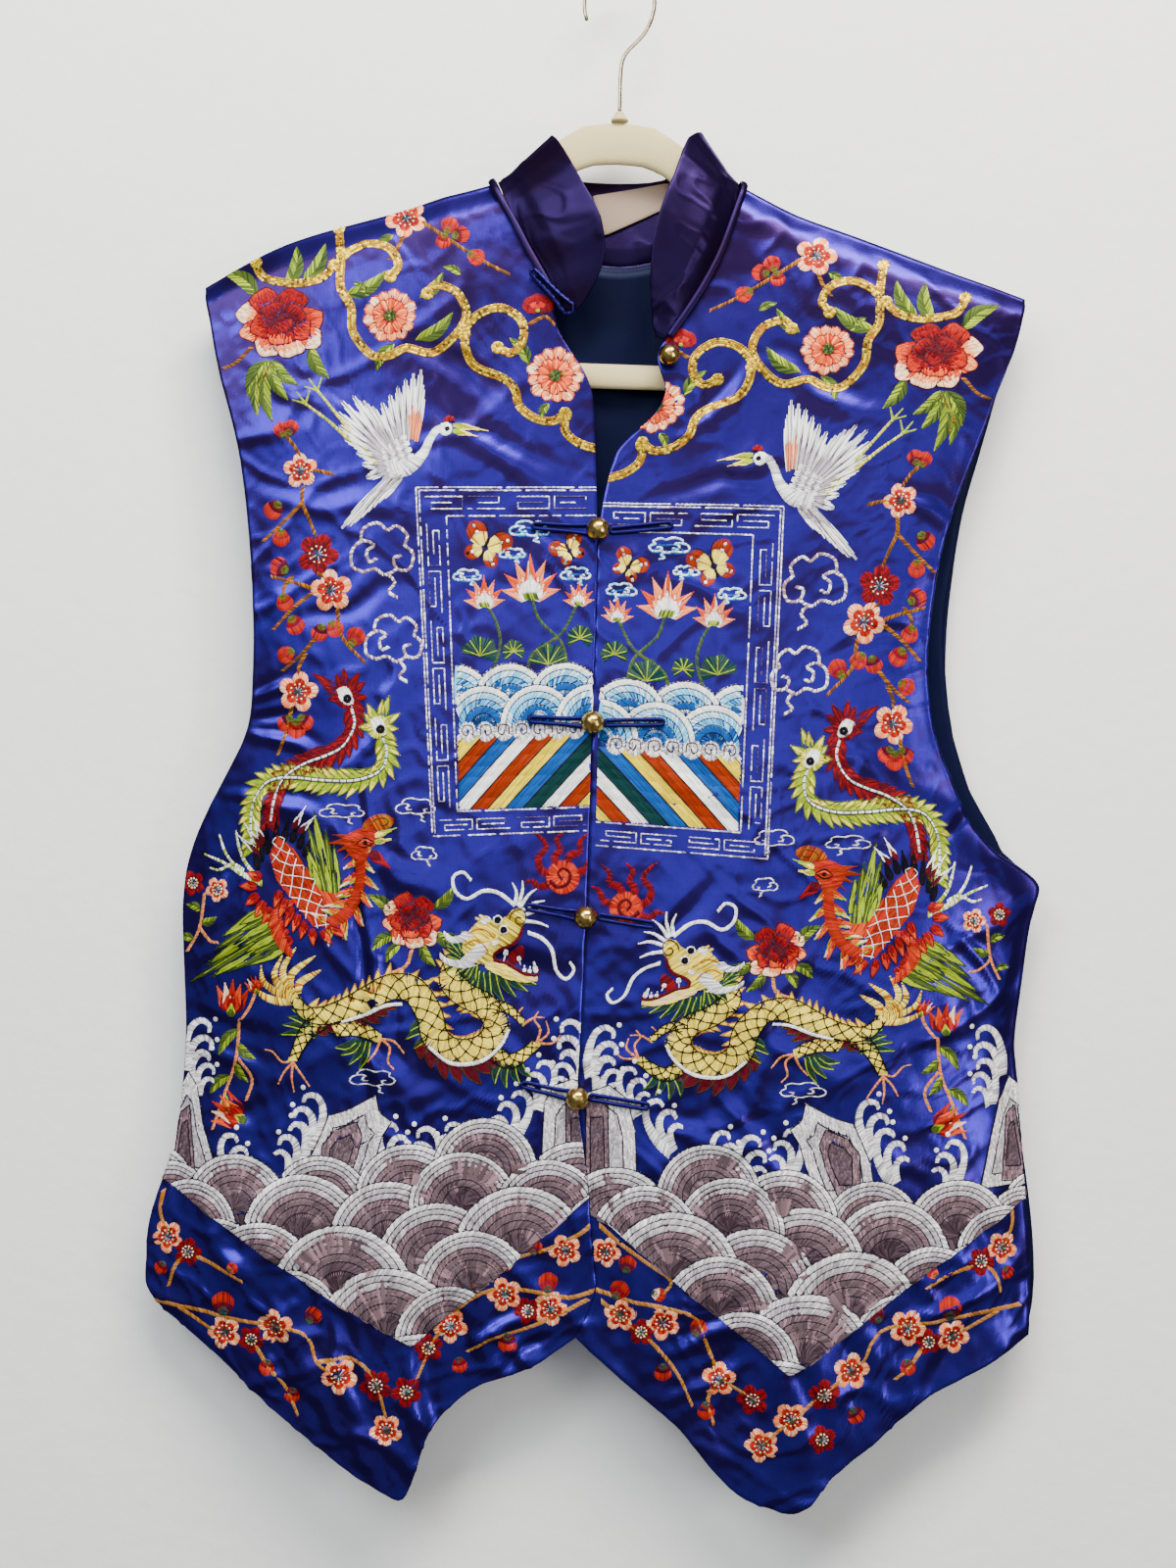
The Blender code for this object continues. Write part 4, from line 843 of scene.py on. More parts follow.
def long_and_short(sewn, outline, way, threads, shade=None, length=15.0, gap=1.1, lift=0.2, smooth=True):
    """Fills an outline with broken rows of stitches that run at an angle, 0 across, 90 down."""
    ring = closed_curve(outline, 48) if smooth else np.asarray(outline, float)
    angle = math.radians(way)
    turn = np.array(((math.cos(angle), -math.sin(angle)), (math.sin(angle), math.cos(angle))))
    flat = ring @ turn
    starts, ends = [], []
    for y in np.arange(flat[:, 1].min() + gap * 0.4, flat[:, 1].max(), gap):
        a, b = flat, np.roll(flat, -1, axis=0)
        cut = (a[:, 1] > y) != (b[:, 1] > y)
        cross = a[cut, 0] + (y - a[cut, 1]) * (b[cut, 0] - a[cut, 0]) / (b[cut, 1] - a[cut, 1])
        cross = np.sort(cross)
        for left, right in zip(cross[::2], cross[1::2]):
            left, right = left - chance.uniform(0, 0.5), right + chance.uniform(0, 0.5)
            pieces = max(1, int(round((right - left) / length)))
            cuts = np.linspace(left, right, pieces + 1)
            cuts[1:-1] += chance.uniform(-0.4, 0.4, pieces - 1) * length
            for k in range(pieces):
                starts.append((cuts[k] - (0.8 if k else 0), y))
                ends.append((cuts[k + 1], y))
    if not starts:
        return
    starts, ends = np.array(starts) @ turn.T, np.array(ends) @ turn.T
    share = None if shade is None else shade(*((starts + ends) / 2).T)
    lay(sewn, starts, ends, threads, share, gap * 1.25, lift)


def inside(x, z, ring):
    """True for each point that lies within a closed ring."""
    within = np.zeros(len(x), bool)
    for (ax, az), (bx, bz) in zip(ring, np.roll(ring, -1, axis=0)):
        if az != bz:
            cut = ((az > z) != (bz > z)) & (x < ax + (z - az) * (bx - ax) / (bz - az))
            within ^= cut
    return within


def stack_up(sewn, layers):
    """Adds layers of stitches, each an outline and its stitches, without what a later one hides."""
    for order, (_, stitches) in enumerate(layers):
        stitches = np.vstack(stitches)
        x, y = ((stitches[:, 0:2] + stitches[:, 2:4]) / 2).T
        seen = np.ones(len(x), bool)
        for cover, _ in layers[order + 1:]:
            seen &= ~inside(x, y, np.asarray(cover, float))
        sewn.append(stitches[seen])


def rays(sewn, centre, inner, outer, first, last, threads, share=None, gap=1.15, twist=0.0, lift=0.2):
    """Stitches that spread from a centre between two radii. outer may vary with the angle."""
    reach = outer(np.linspace(first, last, 40)).max() if callable(outer) else outer
    count = max(2, int(abs(last - first) * math.pi / 180 * reach / gap))
    angle = np.linspace(first, last, count)
    far = outer(angle) if callable(outer) else np.full(count, float(outer))
    angle = np.radians(angle)
    near = inner(np.degrees(angle)) if callable(inner) else np.full(count, float(inner))
    near = near + (far - near) * 0.3 * (near < 0.3 * reach) * (np.arange(count) % 2)
    far = far + chance.uniform(-0.35, 0.35, count)
    start = np.array(centre) + near[:, None] * ways(angle - twist)
    lay(sewn, start, np.array(centre) + far[:, None] * ways(angle), threads, share, gap * 1.25, lift)


def knots(sewn, points, size, threads, lift=0.5):
    """Small wound knots, each of three crossed stitches."""
    points = np.reshape(points, (-1, 2)).astype(float)
    for degrees in (10, 70, 130):
        way = ways(math.radians(degrees)) * size / 2
        lay(sewn, points - way, points + way, threads, None, size * 0.75, lift)


def blade(sewn, base, tip, width, threads, round_tip=False, lift=0.25):
    """A feather or a narrow petal: strands that open from its root to its edge."""
    base, tip, axis, _, side = spine(base, tip)
    s = np.linspace(-1, 1, max(3, int(width / STRAND_GAP)))[:, None]
    reach = 1 - 0.25 * s**2 if round_tip else 1 - 0.5 * np.abs(s)
    start = base + side * s * width * 0.22 + axis * 0.02
    middle = base + axis * reach * 0.55 + side * s * width * 0.5
    end = base + axis * reach + side * s * width * (0.5 if round_tip else 0.34)
    share = np.repeat((0.2, 0.8), len(s))
    starts, ends = np.vstack((start, middle - axis * 0.04)), np.vstack((middle, end))
    lay(sewn, starts, ends, threads, share, STRAND_GAP * 1.25, lift)


def feather(root, tip, width, threads, edge=None, lift=0.25):
    """One pointed feather: floss along it and a thin edge line. Gives its outline and stitches."""
    root, tip, axis, length, side = spine(root, tip)
    side, stitches = side * width, []
    ring = np.array([
        root - side * 0.26, root + axis * 0.34 - side * 0.50, root + axis * 0.72 - side * 0.29, tip,
        root + axis * 0.72 + side * 0.29, root + axis * 0.34 + side * 0.50, root + side * 0.26,
    ])

    def shade(x, y):
        return np.clip(((x - root[0]) * axis[0] + (y - root[1]) * axis[1]) / length**2, 0, 0.99)

    way = math.degrees(math.atan2(axis[1], axis[0]))
    long_and_short(stitches, ring, way, threads, shade, max(length * 0.42, 6.0), 1.15, lift)
    if edge:
        stem_stitch(stitches, ring[3:], edge, 1.1, 5, lift + 0.1)
        stem_stitch(stitches, ring[:4], edge, 0.9, 5, lift + 0.1)
    return closed_curve(ring, 28), stitches


def leaf(sewn, base, tip, width):
    """Two rows of slanting stitches on each side of a middle vein, a little bent."""
    base, tip, axis, length, side = spine(base, tip)
    t = np.linspace(0.0, 0.93, max(4, int(length / 1.15)))[:, None]
    for sign, threads in ((1, ("leaf", "leaf", "dark_leaf")), (-1, ("lime", "leaf", "lime", "leaf"))):
        reach = np.minimum(t + 0.22, 1.0)
        edge = width / 2 * np.abs(np.sin(np.pi * reach**0.8)) ** 0.8
        start = base + axis * t + side * LEAF_BEND * length * np.sin(np.pi * t)
        end = base + axis * reach + side * (sign * edge + LEAF_BEND * length * np.sin(np.pi * reach))
        lay(sewn, start, end, threads, None, 1.45, 0.2)


def turned_points(points, centre, degrees, size=1.0, flip=False):
    """Drawn points turned, sized and moved to their place on the chart."""
    points = np.array(points, float) * ((-size if flip else size), size)
    angle = math.radians(degrees)
    turn = np.array(((math.cos(angle), math.sin(angle)), (-math.sin(angle), math.cos(angle))))
    return points @ turn + np.array(centre)


# Plum blossom
# Five round petals, coral inside a pale rim or all red, round a ring of knotted stamens.
# Buds sit on brown or tan twigs.
def plum(sewn, x, y, r, red=False):
    """An open blossom."""
    heart = ("crimson", "crimson", "scarlet") if red else ("scarlet", "coral", "coral")
    rim = ("crimson", "scarlet", "scarlet") if red else ("blush", "pale_pink", "blush")
    turn = chance.uniform(0, 72)
    for petal in range(5):
        middle = turn + 72 * petal + chance.uniform(-3, 3)

        def edge(angle):
            return r * (0.52 + 0.48 * np.clip(np.cos(np.radians((angle - middle) * 2.45)), 0, 1) ** 0.55)

        rays(sewn, (x, y), lambda a: edge(a) * 0.5, edge, middle - 33, middle + 33, rim, lift=0.15)
        reach = r * 0.2, lambda a: edge(a) * 0.78
        rays(sewn, (x, y), *reach, middle - 31, middle + 31, heart, gap=1.3, lift=0.25)
    for gap in range(5):
        far = (x, y) + ways(math.radians(turn + 36 + 72 * gap)) * r * 0.62
        lay(sewn, [(x, y)], [far], "crimson", None, 1.5, 0.35)
    spread = ways(np.radians(np.arange(0, 360, 36) + turn))
    stamens = (x, y) + spread * r * 0.08, (x, y) + spread * r * 0.34
    lay(sewn, *stamens, ("grey_green", "pearl_grey"), None, 1.1, 0.45)
    knots(sewn, (x, y) + spread * r * 0.38, 2.0, ("pale_pink", "white", "butter"), 0.6)
    knots(sewn, [(x, y)], 3.2, "grey_green")


def bud(sewn, x, y, r, degrees, thread="scarlet", cup="leaf"):
    """A round bud in its cup."""
    tip = turned_points([(r, 0)], (x, y), degrees)[0]
    blade(sewn, (2 * x - tip[0], 2 * y - tip[1]), tip, r * 1.8, (thread, thread, "coral"), True)
    foot = turned_points([(-r * 1.1, 0), (-r * 0.2, 0)], (x, y), degrees)
    blade(sewn, foot[0], foot[1], r * 0.8, cup, True, lift=0.4)


def half_bloom(sewn, x, y, r, degrees):
    """A blossom seen from the side."""
    for lean, thread in ((-48, "scarlet"), (48, "crimson"), (0, "coral")):
        far = turned_points([(r, 0)], (x, y), degrees + lean)[0]
        blade(sewn, (x, y), far, r * 0.95, (thread, thread, "scarlet"), True, lift=0.25 if lean == 0 else 0.2)
    knots(sewn, [(x, y)], 4.0, ("leaf", "lime"))


def twig(sewn, path, wide=4.0, thin=2.2, threads=("brown", "brown", "ochre")):
    satin_stitch(sewn, path, (wide, thin), threads, slant=0.9)


# The sea along the hem
# Rows of round waves, each with pale outer bands and mauve inner ones, worked in slanting
# stitches, over a plain band cut in a V. Rocks, foam and spray stand along their top.

# Far and near edge of each band, as shares of the wave's radius, and its threads
WAVE_BANDS = (
    (0.99, 0.90, ("white", "pale_grey")),
    (0.90, 0.81, ("pale_grey", "pale_grey", "pearl_grey")),
    (0.81, 0.71, ("pearl_grey", "pale_grey")),
    (0.71, 0.61, ("dusky_pink", "pink_grey")),
    (0.61, 0.50, ("dusky_pink",)),
    (0.50, 0.37, ("mauve", "dusky_pink")),
    (0.37, 0.03, ("mauve", "dark_mauve")),
)
WAVE_FROM, WAVE_TO = 168, 372


def sea(sewn, waves, bottom, bands, lift, gap):
    """Waves as x, y and radius, from the back row to the front one; each hides what is behind it."""
    for number, (x, y, radius) in enumerate(waves):
        found = []
        rim = (x, y) + ways(np.radians(np.arange(WAVE_FROM, WAVE_TO + 1, 6))) * radius
        lay(found, rim[:-1], rim[1:], "slate", None, 1.3, lift + 0.1)
        ground, span = bands[-4][2], (0.05 * radius, 0.97 * radius)
        rays(found, (x, y), *span, WAVE_FROM, WAVE_TO, ground, gap=4.0, lift=lift - 0.25)
        for far, near, threads in bands:
            slant, span = 0.8 * (far - near) / max(near, 0.3), (near * radius, (far + 0.012) * radius)
            rays(found, (x, y), *span, WAVE_FROM, WAVE_TO, threads, gap=gap, twist=slant, lift=lift)
            ring = (x, y) + ways(np.radians(np.arange(WAVE_FROM, WAVE_TO + 1, 7))) * near * radius
            lay(found, ring[:-1], ring[1:], "slate", None, 1.1, lift + 0.25)
        found = np.vstack(found)
        spot = (found[:, 0:2] + found[:, 2:4]) / 2
        keep = np.ones(len(spot), bool)
        for later_x, later_y, later in waves[number + 1:]:
            apart = np.hypot(spot[:, 0] - later_x, spot[:, 1] - later_y)
            keep &= ~((apart < later) & (spot[:, 1] < later_y + 8))
        sewn.append(cut_below(found[keep], bottom))


def cut_below(stitches, line):
    """Shortens stitches that cross a line from above, and drops those below it."""
    line = np.array(line, float)
    deep = [stitches[:, e + 1] - np.interp(stitches[:, e], line[:, 0], line[:, 1]) for e in (0, 2)]
    stitches = stitches.copy()
    for near, far, e, other in ((deep[0], deep[1], 2, 0), (deep[1], deep[0], 0, 2)):
        cross = (near < 0) & (far > 0)
        share = (near[cross] / (near[cross] - far[cross]))[:, None]
        start = stitches[cross, other:other + 2]
        stitches[cross, e:e + 2] = start + (stitches[cross, e:e + 2] - start) * share
    return stitches[(deep[0] < 0) | (deep[1] < 0)]


def foam(sewn, x, y, size, lean, flip=False):
    """A breaking crest: a stem with hooks that curl over like claws, and spray above them."""
    for path, widths in (
        (((-8, 28), (-8, 10), (-2, -8), (7, -19), (17, -22), (25, -16), (24, -9)), (15, 13, 10, 8, 7, 6, 4)),
        (((-5, 18), (2, 5), (10, -2), (19, -3), (25, 3), (23, 10)), (11, 9, 8, 7, 6, 4)),
        (((-6, 30), (1, 20), (9, 14), (17, 15), (20, 21)), (11, 9, 7, 6, 4)),
    ):
        path = turned_points(path, (x, y), lean, size, flip)
        satin_stitch(sewn, path, [w * size for w in widths], ("white", "white", "pearl_grey"), lift=0.25)
    knots(sewn, turned_points([(33, -22), (32, 0)], (x, y), lean, size, flip), 5.0, "white")


def rock(sewn, outline, core, way=80):
    """A rock of nested facets, pale outside and mauve within."""
    middle, layers = core.mean(axis=0), []
    for ring, threads, turn in (
        (outline, ("white", "pale_grey", "pale_grey"), 0),
        ((outline * 2 + middle) / 3, ("pale_grey", "pearl_grey"), 20),
        (core, ("pink_grey", "dusky_pink"), 10),
        (middle + (core - middle) * 0.6, ("dusky_pink", "mauve"), 30),
    ):
        facet = []
        long_and_short(facet, ring, way + turn, threads, smooth=False, gap=1.25, lift=0.2, length=5)
        edge = np.vstack((ring, ring[:1]))
        for a, b in zip(edge[:-1], edge[1:]):
            stem_stitch(facet, (a, (a + b) / 2, b), "slate", 1.2, lift=0.5)
        layers.append((ring, facet))
    stack_up(sewn, layers)


# The lower edge of the waves, above the plain band
SEA_BOTTOM = {
    "front_right": ((130, 1188), (161, 1205), (250, 1262), (340, 1322), (422, 1368), (520, 1288),
     (615, 1206)),
    "front_left": ((590, 1218), (608, 1234), (700, 1314), (805, 1398), (880, 1345), (960, 1285),
     (1060, 1220)),
}
# x, y, radius of each wave of the right front; the left one repeats them the other way round
WAVES = (
    (150, 1222, 46), (330, 1226, 46), (172, 1236, 44), (242, 1231, 50), (420, 1218, 50), (496, 1190, 48),
    (590, 1218, 52), (195, 1254, 45), (312, 1256, 56), (400, 1262, 56), (474, 1226, 50), (560, 1234, 50),
    (622, 1262, 46), (225, 1292, 46), (268, 1298, 50), (448, 1284, 56), (532, 1274, 62), (585, 1290, 40),
    (352, 1318, 66), (484, 1310, 54), (300, 1342, 46), (398, 1358, 64), (460, 1362, 50), (424, 1412, 52),
)
LEFT_SEA_SUM, LEFT_SEA_DROP = 1218, 26
WAVE_SPREAD = 1.1
# Each rock's outline and its core
ROCKS = {
    "front_right": (
        (((552, 1210), (556, 1122), (566, 1104), (584, 1098), (604, 1104), (604, 1214)),
         ((578, 1210), (578, 1120), (604, 1116), (604, 1214))),
        (((314, 1218), (320, 1176), (331, 1152), (338, 1135), (358, 1129), (386, 1114), (390, 1132),
          (402, 1141), (392, 1156), (386, 1178), (372, 1216)),
         ((330, 1212), (331, 1166), (344, 1150), (366, 1141), (372, 1156), (366, 1180), (352, 1212))),
        (((168, 1202), (176, 1120), (188, 1096), (198, 1110), (206, 1150), (226, 1206)),
         ((170, 1205), (180, 1138), (190, 1130), (198, 1202))),
    ),
    "front_left": (
        (((598, 1216), (598, 1112), (622, 1104), (640, 1118), (648, 1150), (650, 1216)),
         ((598, 1214), (598, 1118), (620, 1116), (622, 1214))),
        (((892, 1226), (886, 1184), (876, 1160), (868, 1143), (848, 1137), (820, 1122), (816, 1140),
          (804, 1149), (814, 1164), (820, 1186), (834, 1224)),
         ((876, 1220), (875, 1174), (862, 1158), (840, 1149), (834, 1164), (840, 1188), (854, 1220))),
        (((1058, 1210), (1046, 1110), (1034, 1100), (1022, 1124), (1012, 1160), (1000, 1212)),
         ((1054, 1208), (1040, 1130), (1030, 1138), (1024, 1206))),
    ),
}
# x, y, size, lean, flipped
FOAM = {
    "front_right": (
        (594, 1062, 0.9, 10, True), (588, 1092, 0.8, 24, True), (560, 1106, 0.85, 40, True),
        (532, 1140, 0.95, 50, True), (470, 1166, 0.8, 30, True), (446, 1172, 0.9, 20, True),
        (310, 1172, 0.95, 40, True), (326, 1142, 0.95, 34, True), (396, 1170, 0.9, -40, False),
        (232, 1184, 0.9, -40, False), (190, 1066, 0.95, -8, False), (196, 1096, 0.8, -20, False),
    ),
    "front_left": (
        (606, 1068, 0.9, -10, False), (612, 1098, 0.8, -24, False), (638, 1112, 0.85, -40, False),
        (668, 1148, 0.95, -50, False), (730, 1174, 0.8, -30, False), (756, 1180, 0.9, -20, False),
        (898, 1178, 0.95, -40, False), (880, 1148, 0.95, -34, False), (810, 1176, 0.9, 40, True),
        (976, 1190, 0.9, 40, True), (1020, 1072, 0.95, 8, True), (1014, 1104, 0.8, 20, True),
    ),
}
# Blossom: x, y, radius, red. Bud: x, y, radius, way, thread.
HEM_BLOSSOMS = {
    "front_right": (
        (169, 1264, 17, 0), (191, 1278, 15, 1), (230, 1358, 18, 0), (258, 1364, 14, 1), (283, 1350, 19, 0),
        (349, 1397, 19, 0), (386, 1407, 17, 1), (396, 1453, 17, 0), (417, 1413, 16, 1), (439, 1371, 15, 1),
        (461, 1349, 18, 0), (516, 1316, 18, 0), (539, 1333, 14, 1), (562, 1331, 18, 0), (577, 1272, 17, 0),
    ),
    "front_left": (
        (1024, 1274, 17, 0), (1001, 1286, 15, 1), (971, 1362, 18, 0), (946, 1366, 14, 1),
        (925, 1352, 19, 0), (867, 1395, 19, 0), (839, 1417, 17, 1), (805, 1441, 18, 0), (837, 1463, 15, 1),
        (776, 1470, 18, 0), (767, 1424, 16, 1), (733, 1404, 18, 0), (676, 1345, 18, 0), (654, 1354, 14, 1),
        (633, 1338, 17, 0), (618, 1273, 16, 0),
    ),
}
HEM_BUDS = {
    "front_right": (
        (229, 1328, 12, -90, "crimson"), (162, 1296, 7, 120, "scarlet"), (240, 1290, 6, -40, "salmon"),
        (322, 1338, 9, -50, "crimson"), (274, 1392, 8, 100, "scarlet"), (300, 1420, 8, 100, "scarlet"),
        (546, 1268, 8, -80, "crimson"), (560, 1304, 10, -90, "scarlet"), (517, 1285, 7, 160, "pale_pink"),
        (481, 1302, 8, -90, "coral"), (519, 1366, 10, 90, "crimson"), (470, 1390, 8, 80, "scarlet"),
    ),
    "front_left": (
        (968, 1332, 12, -90, "crimson"), (1030, 1300, 7, 60, "scarlet"), (950, 1296, 6, 220, "salmon"),
        (892, 1338, 9, -120, "crimson"), (925, 1392, 8, 80, "scarlet"), (640, 1285, 9, -80, "crimson"),
        (632, 1312, 10, -60, "scarlet"), (712, 1351, 9, -60, "crimson"), (676, 1396, 9, 90, "crimson"),
        (672, 1316, 7, 20, "pale_pink"), (720, 1436, 9, 90, "scarlet"), (872, 1440, 9, 60, "crimson"),
    ),
}
HEM_TWIGS = {
    "front_right": (
        ((163, 1218), (160, 1240), (168, 1262)), ((191, 1278), (178, 1292), (170, 1314)),
        ((200, 1282), (226, 1292), (250, 1304)),
        ((152, 1330), (200, 1336), (240, 1344), (300, 1352), (318, 1362), (326, 1384), (345, 1397)),
        ((180, 1334), (206, 1350), (226, 1362)), ((262, 1370), (276, 1392), (292, 1410), (306, 1440)),
        ((326, 1384), (360, 1380), (384, 1400), (396, 1440)),
        ((604, 1245), (590, 1256), (560, 1270), (524, 1280), (512, 1290)),
        ((610, 1312), (580, 1320), (540, 1312), (500, 1312), (470, 1330), (445, 1362), (428, 1400)),
        ((600, 1322), (560, 1342), (528, 1354), (500, 1362), (478, 1376)),
    ),
    "front_left": (
        ((1034, 1228), (1036, 1250), (1026, 1272)), ((1001, 1286), (1016, 1300), (1022, 1318)),
        ((992, 1290), (968, 1298), (944, 1312)),
        ((1044, 1334), (1000, 1338), (950, 1346), (905, 1352), (888, 1366), (880, 1384), (866, 1396)),
        ((1018, 1338), (990, 1352), (968, 1364)), ((940, 1372), (926, 1392), (912, 1404)),
        ((866, 1396), (836, 1418), (806, 1442), (776, 1470)),
        ((612, 1246), (630, 1262), (660, 1284), (684, 1302), (676, 1316)),
        ((608, 1312), (640, 1322), (680, 1330), (710, 1342), (722, 1372), (738, 1404), (770, 1424)),
        ((614, 1324), (640, 1346), (664, 1364), (690, 1396), (706, 1430)),
        ((733, 1404), (722, 1424), (728, 1450)),
    ),
}


def hem_embroidery(front):
    """All that is worked along one front's hem."""
    sewn = []
    for outline, core in ROCKS[front]:
        rock(sewn, np.array(outline, float), np.array(core, float))
    for x, y, size, lean, flip in FOAM[front]:
        foam(sewn, x, y, size, lean, flip)
    waves = [(x, y, r * WAVE_SPREAD) for x, y, r in WAVES]
    if front == "front_left":
        waves = [(LEFT_SEA_SUM - x, y + LEFT_SEA_DROP, r) for x, y, r in waves]
    bed, line = [], np.array(SEA_BOTTOM[front], float)
    top = np.column_stack((line[::-1, 0], np.full(len(line), waves[3][1] - 14.0)))
    long_and_short(bed, np.vstack((line, top)), 70, ("mauve", "dark_mauve"), smooth=False, gap=1.5, lift=0.1)
    sewn.append(cut_below(np.vstack(bed), line))
    sea(sewn, waves, SEA_BOTTOM[front], WAVE_BANDS, lift=0.75, gap=1.35)
    for path in HEM_TWIGS[front]:
        twig(sewn, path, 4.5, 3.0, ("tan", "tan", "ochre"))
    for place in HEM_BUDS[front]:
        bud(sewn, *place, "grey_green")
    for place in HEM_BLOSSOMS[front]:
        plum(sewn, *place)
    return np.vstack(sewn)


# Sewing
# Turns chart stitches into strands on a front: they are cut at the panel's edge, follow the
# creased cloth, and take their floss or metal thread.
def thread_material(name, fineness, darkest, **values):
    """Reads each strand's own colour, with fine filaments in it."""
    material, tree, shader = new_material(name, **values)
    strand = add_node(tree, "ShaderNodeAttribute", attribute_name="strand_colour")
    fibre = grain(tree, fineness, 1.0)
    tint = add_node(tree, "ShaderNodeVectorMath", operation="SCALE")
    tree.links.new(strand.outputs["Color"], tint.inputs[0])
    tree.links.new(mapped(tree, fibre, darkest, 1.1), tint.inputs["Scale"])
    tree.links.new(tint.outputs[0], shader.inputs["Base Color"])
    add_relief(tree, shader, fibre, 0.3, 0.0001)
    return material


silk_floss = thread_material(
    "silk_floss", 2200.0, 0.86, Roughness=0.45, Metallic=0.25, Specular_IOR_Level=0.08
)
metal_thread = thread_material(
    "metal_thread", 5200.0, 0.7, Roughness=0.34, Metallic=0.7, Specular_IOR_Level=0.3
)
# share of the length, side (-1 to 1), rise of each point of a stitch
STRAND_POINTS = (
    (0.0, -0.55, 0.0), (0.0, 0.55, 0.0), (0.5, -1.0, 0.25), (0.5, 0.0, 1.0), (0.5, 1.0, 0.25),
    (1.0, -0.55, 0.0), (1.0, 0.55, 0.0),
)
STRAND_FACES = ((0, 3, 2), (0, 1, 3), (1, 4, 3), (2, 3, 5), (3, 6, 5), (3, 4, 6))
SHORTEST_STITCH, EDGE_TRIES = 0.35, 5
END_SUNK, LEAST_LIFT = 0.12, 0.03
SEWN_RASTER = 2.0
# Colours in each row of the baked palette
SWATCHES = 10


def sew(name, stitches, front):
    """Makes one piece of embroidery from chart stitches on a front's cloth."""
    grid, read = cloth[front], HEIGHTS[front]
    start = (stitches[:, 0:2] - CHART_ORIGIN) * (SQUARE, -SQUARE)
    end = (stitches[:, 2:4] - CHART_ORIGIN) * (SQUARE, -SQUARE)
    ring = np.vstack((grid[0], grid[1:, -1], grid[-1, -2::-1], grid[-2:0:-1, 0]))[::2, ::2]
    held = [inside(*p.T, ring) for p in (start, end)]
    keep = held[0] | held[1]
    start, end, stitches = start[keep], end[keep], stitches[keep]
    for near, far, ok in ((start, end, held[1][keep]), (end, start, held[0][keep])):
        cut = ~ok
        low, high = np.zeros(cut.sum()), np.ones(cut.sum())
        for _ in range(EDGE_TRIES):
            middle = (low + high) / 2
            spot = near[cut] + (far[cut] - near[cut]) * middle[:, None]
            fine = inside(*spot.T, ring)
            low, high = np.where(fine, middle, low), np.where(fine, high, middle)
        far[cut] = near[cut] + (far[cut] - near[cut]) * low[:, None]
    length = np.linalg.norm(end - start, axis=1)
    keep = length > SHORTEST_STITCH
    start, end, stitches, length = start[keep], end[keep], stitches[keep], length[keep]
    along = (end - start) / length[:, None]
    side = np.stack((-along[:, 1], along[:, 0]), axis=1)
    count, rows = len(start), len(STRAND_POINTS)
    points = np.zeros((count, rows, 3))
    for k, (t, across, rise) in enumerate(STRAND_POINTS):
        spot = start + (end - start) * t + side * (across * stitches[:, 4] * SQUARE / 2)[:, None]
        sunk = 0.0 if t == 0.5 else END_SUNK
        lift = np.maximum(stitches[:, 5] - sunk, LEAST_LIFT) + STRAND_RISE * rise
        points[:, k] = np.column_stack((spot[:, 0], read(spot[:, 0], spot[:, 1]) - lift, spot[:, 1]))
    faces = (np.array(STRAND_FACES)[None] + np.arange(count)[:, None, None] * rows).reshape(-1, 3)
    thread = stitches[:, 6].astype(int)
    slots = np.repeat((thread // len(TONES) >= METAL_FROM).astype(int), len(STRAND_FACES))
    made = add_piece(name, points.reshape(-1, 3), faces.tolist(), [silk_floss, metal_thread], slots)
    palette = np.array([np.minimum(np.array(dye) * tone, 0.95) for dye in THREADS.values() for tone in TONES])
    colours = np.column_stack((palette[thread], np.ones(count)))
    shade = made.data.color_attributes.new("strand_colour", "FLOAT_COLOR", "POINT")
    shade.data.foreach_set("color", np.repeat(colours, rows, axis=0).reshape(-1).astype(np.float32))
    cells = np.stack((thread % SWATCHES, thread // SWATCHES), axis=1)
    sides = [STRAND_POINTS[k][:2] for face in STRAND_FACES for k in face]
    corners = np.array([(0.5 + 0.4 * across, 0.1 + 0.8 * t) for t, across in sides])
    place = (cells[:, None] + corners[None]) / (SWATCHES, len(palette) // SWATCHES + 1)
    layer = made.data.uv_layers.new(name="OFBake")
    layer.data.foreach_set("uv", place.reshape(-1).astype(np.float32))
    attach(made, "root")


HEIGHTS = {}
for front, grid in cloth.items():
    tree = search_tree(bpy.data.objects[front + "_cloth"].data)
    spot = (grid[..., ::2].min(axis=(0, 1)), grid[..., ::2].max(axis=(0, 1)))
    HEIGHTS[front] = Height(tree, *spot, -1, SEWN_RASTER, 0)
    sew(front + "_sea", hem_embroidery(front), front)
# The gilt scroll
# Four rows of gilt thread laid side by side and caught down, in a winding cloud scroll over each
# shoulder. Its ends are knobs.
GILT_ROWS, GILT_GAP = 4, 2.2
SCROLLS = (
    ((258, 262), (262, 273), (272, 282), (303, 287), (328, 281), (340, 268)),
    ((343, 226), (346, 250), (347, 268), (347, 292), (358, 312), (360, 338), (379, 362), (398, 362),
     (415, 354),
     (441, 359), (464, 342), (476, 320), (466, 297), (445, 289), (436, 298)),
    ((350, 256), (373, 245), (396, 250), (406, 268), (398, 280)),
    ((473, 336), (489, 319), (512, 313), (532, 326), (534, 346), (522, 360), (508, 354)),
    ((474, 340), (476, 358), (486, 374), (514, 386), (526, 398), (530, 414), (546, 427), (564, 430),
     (577, 422)),
    ((577, 424), (577, 440), (590, 452), (608, 458), (622, 462)),
)


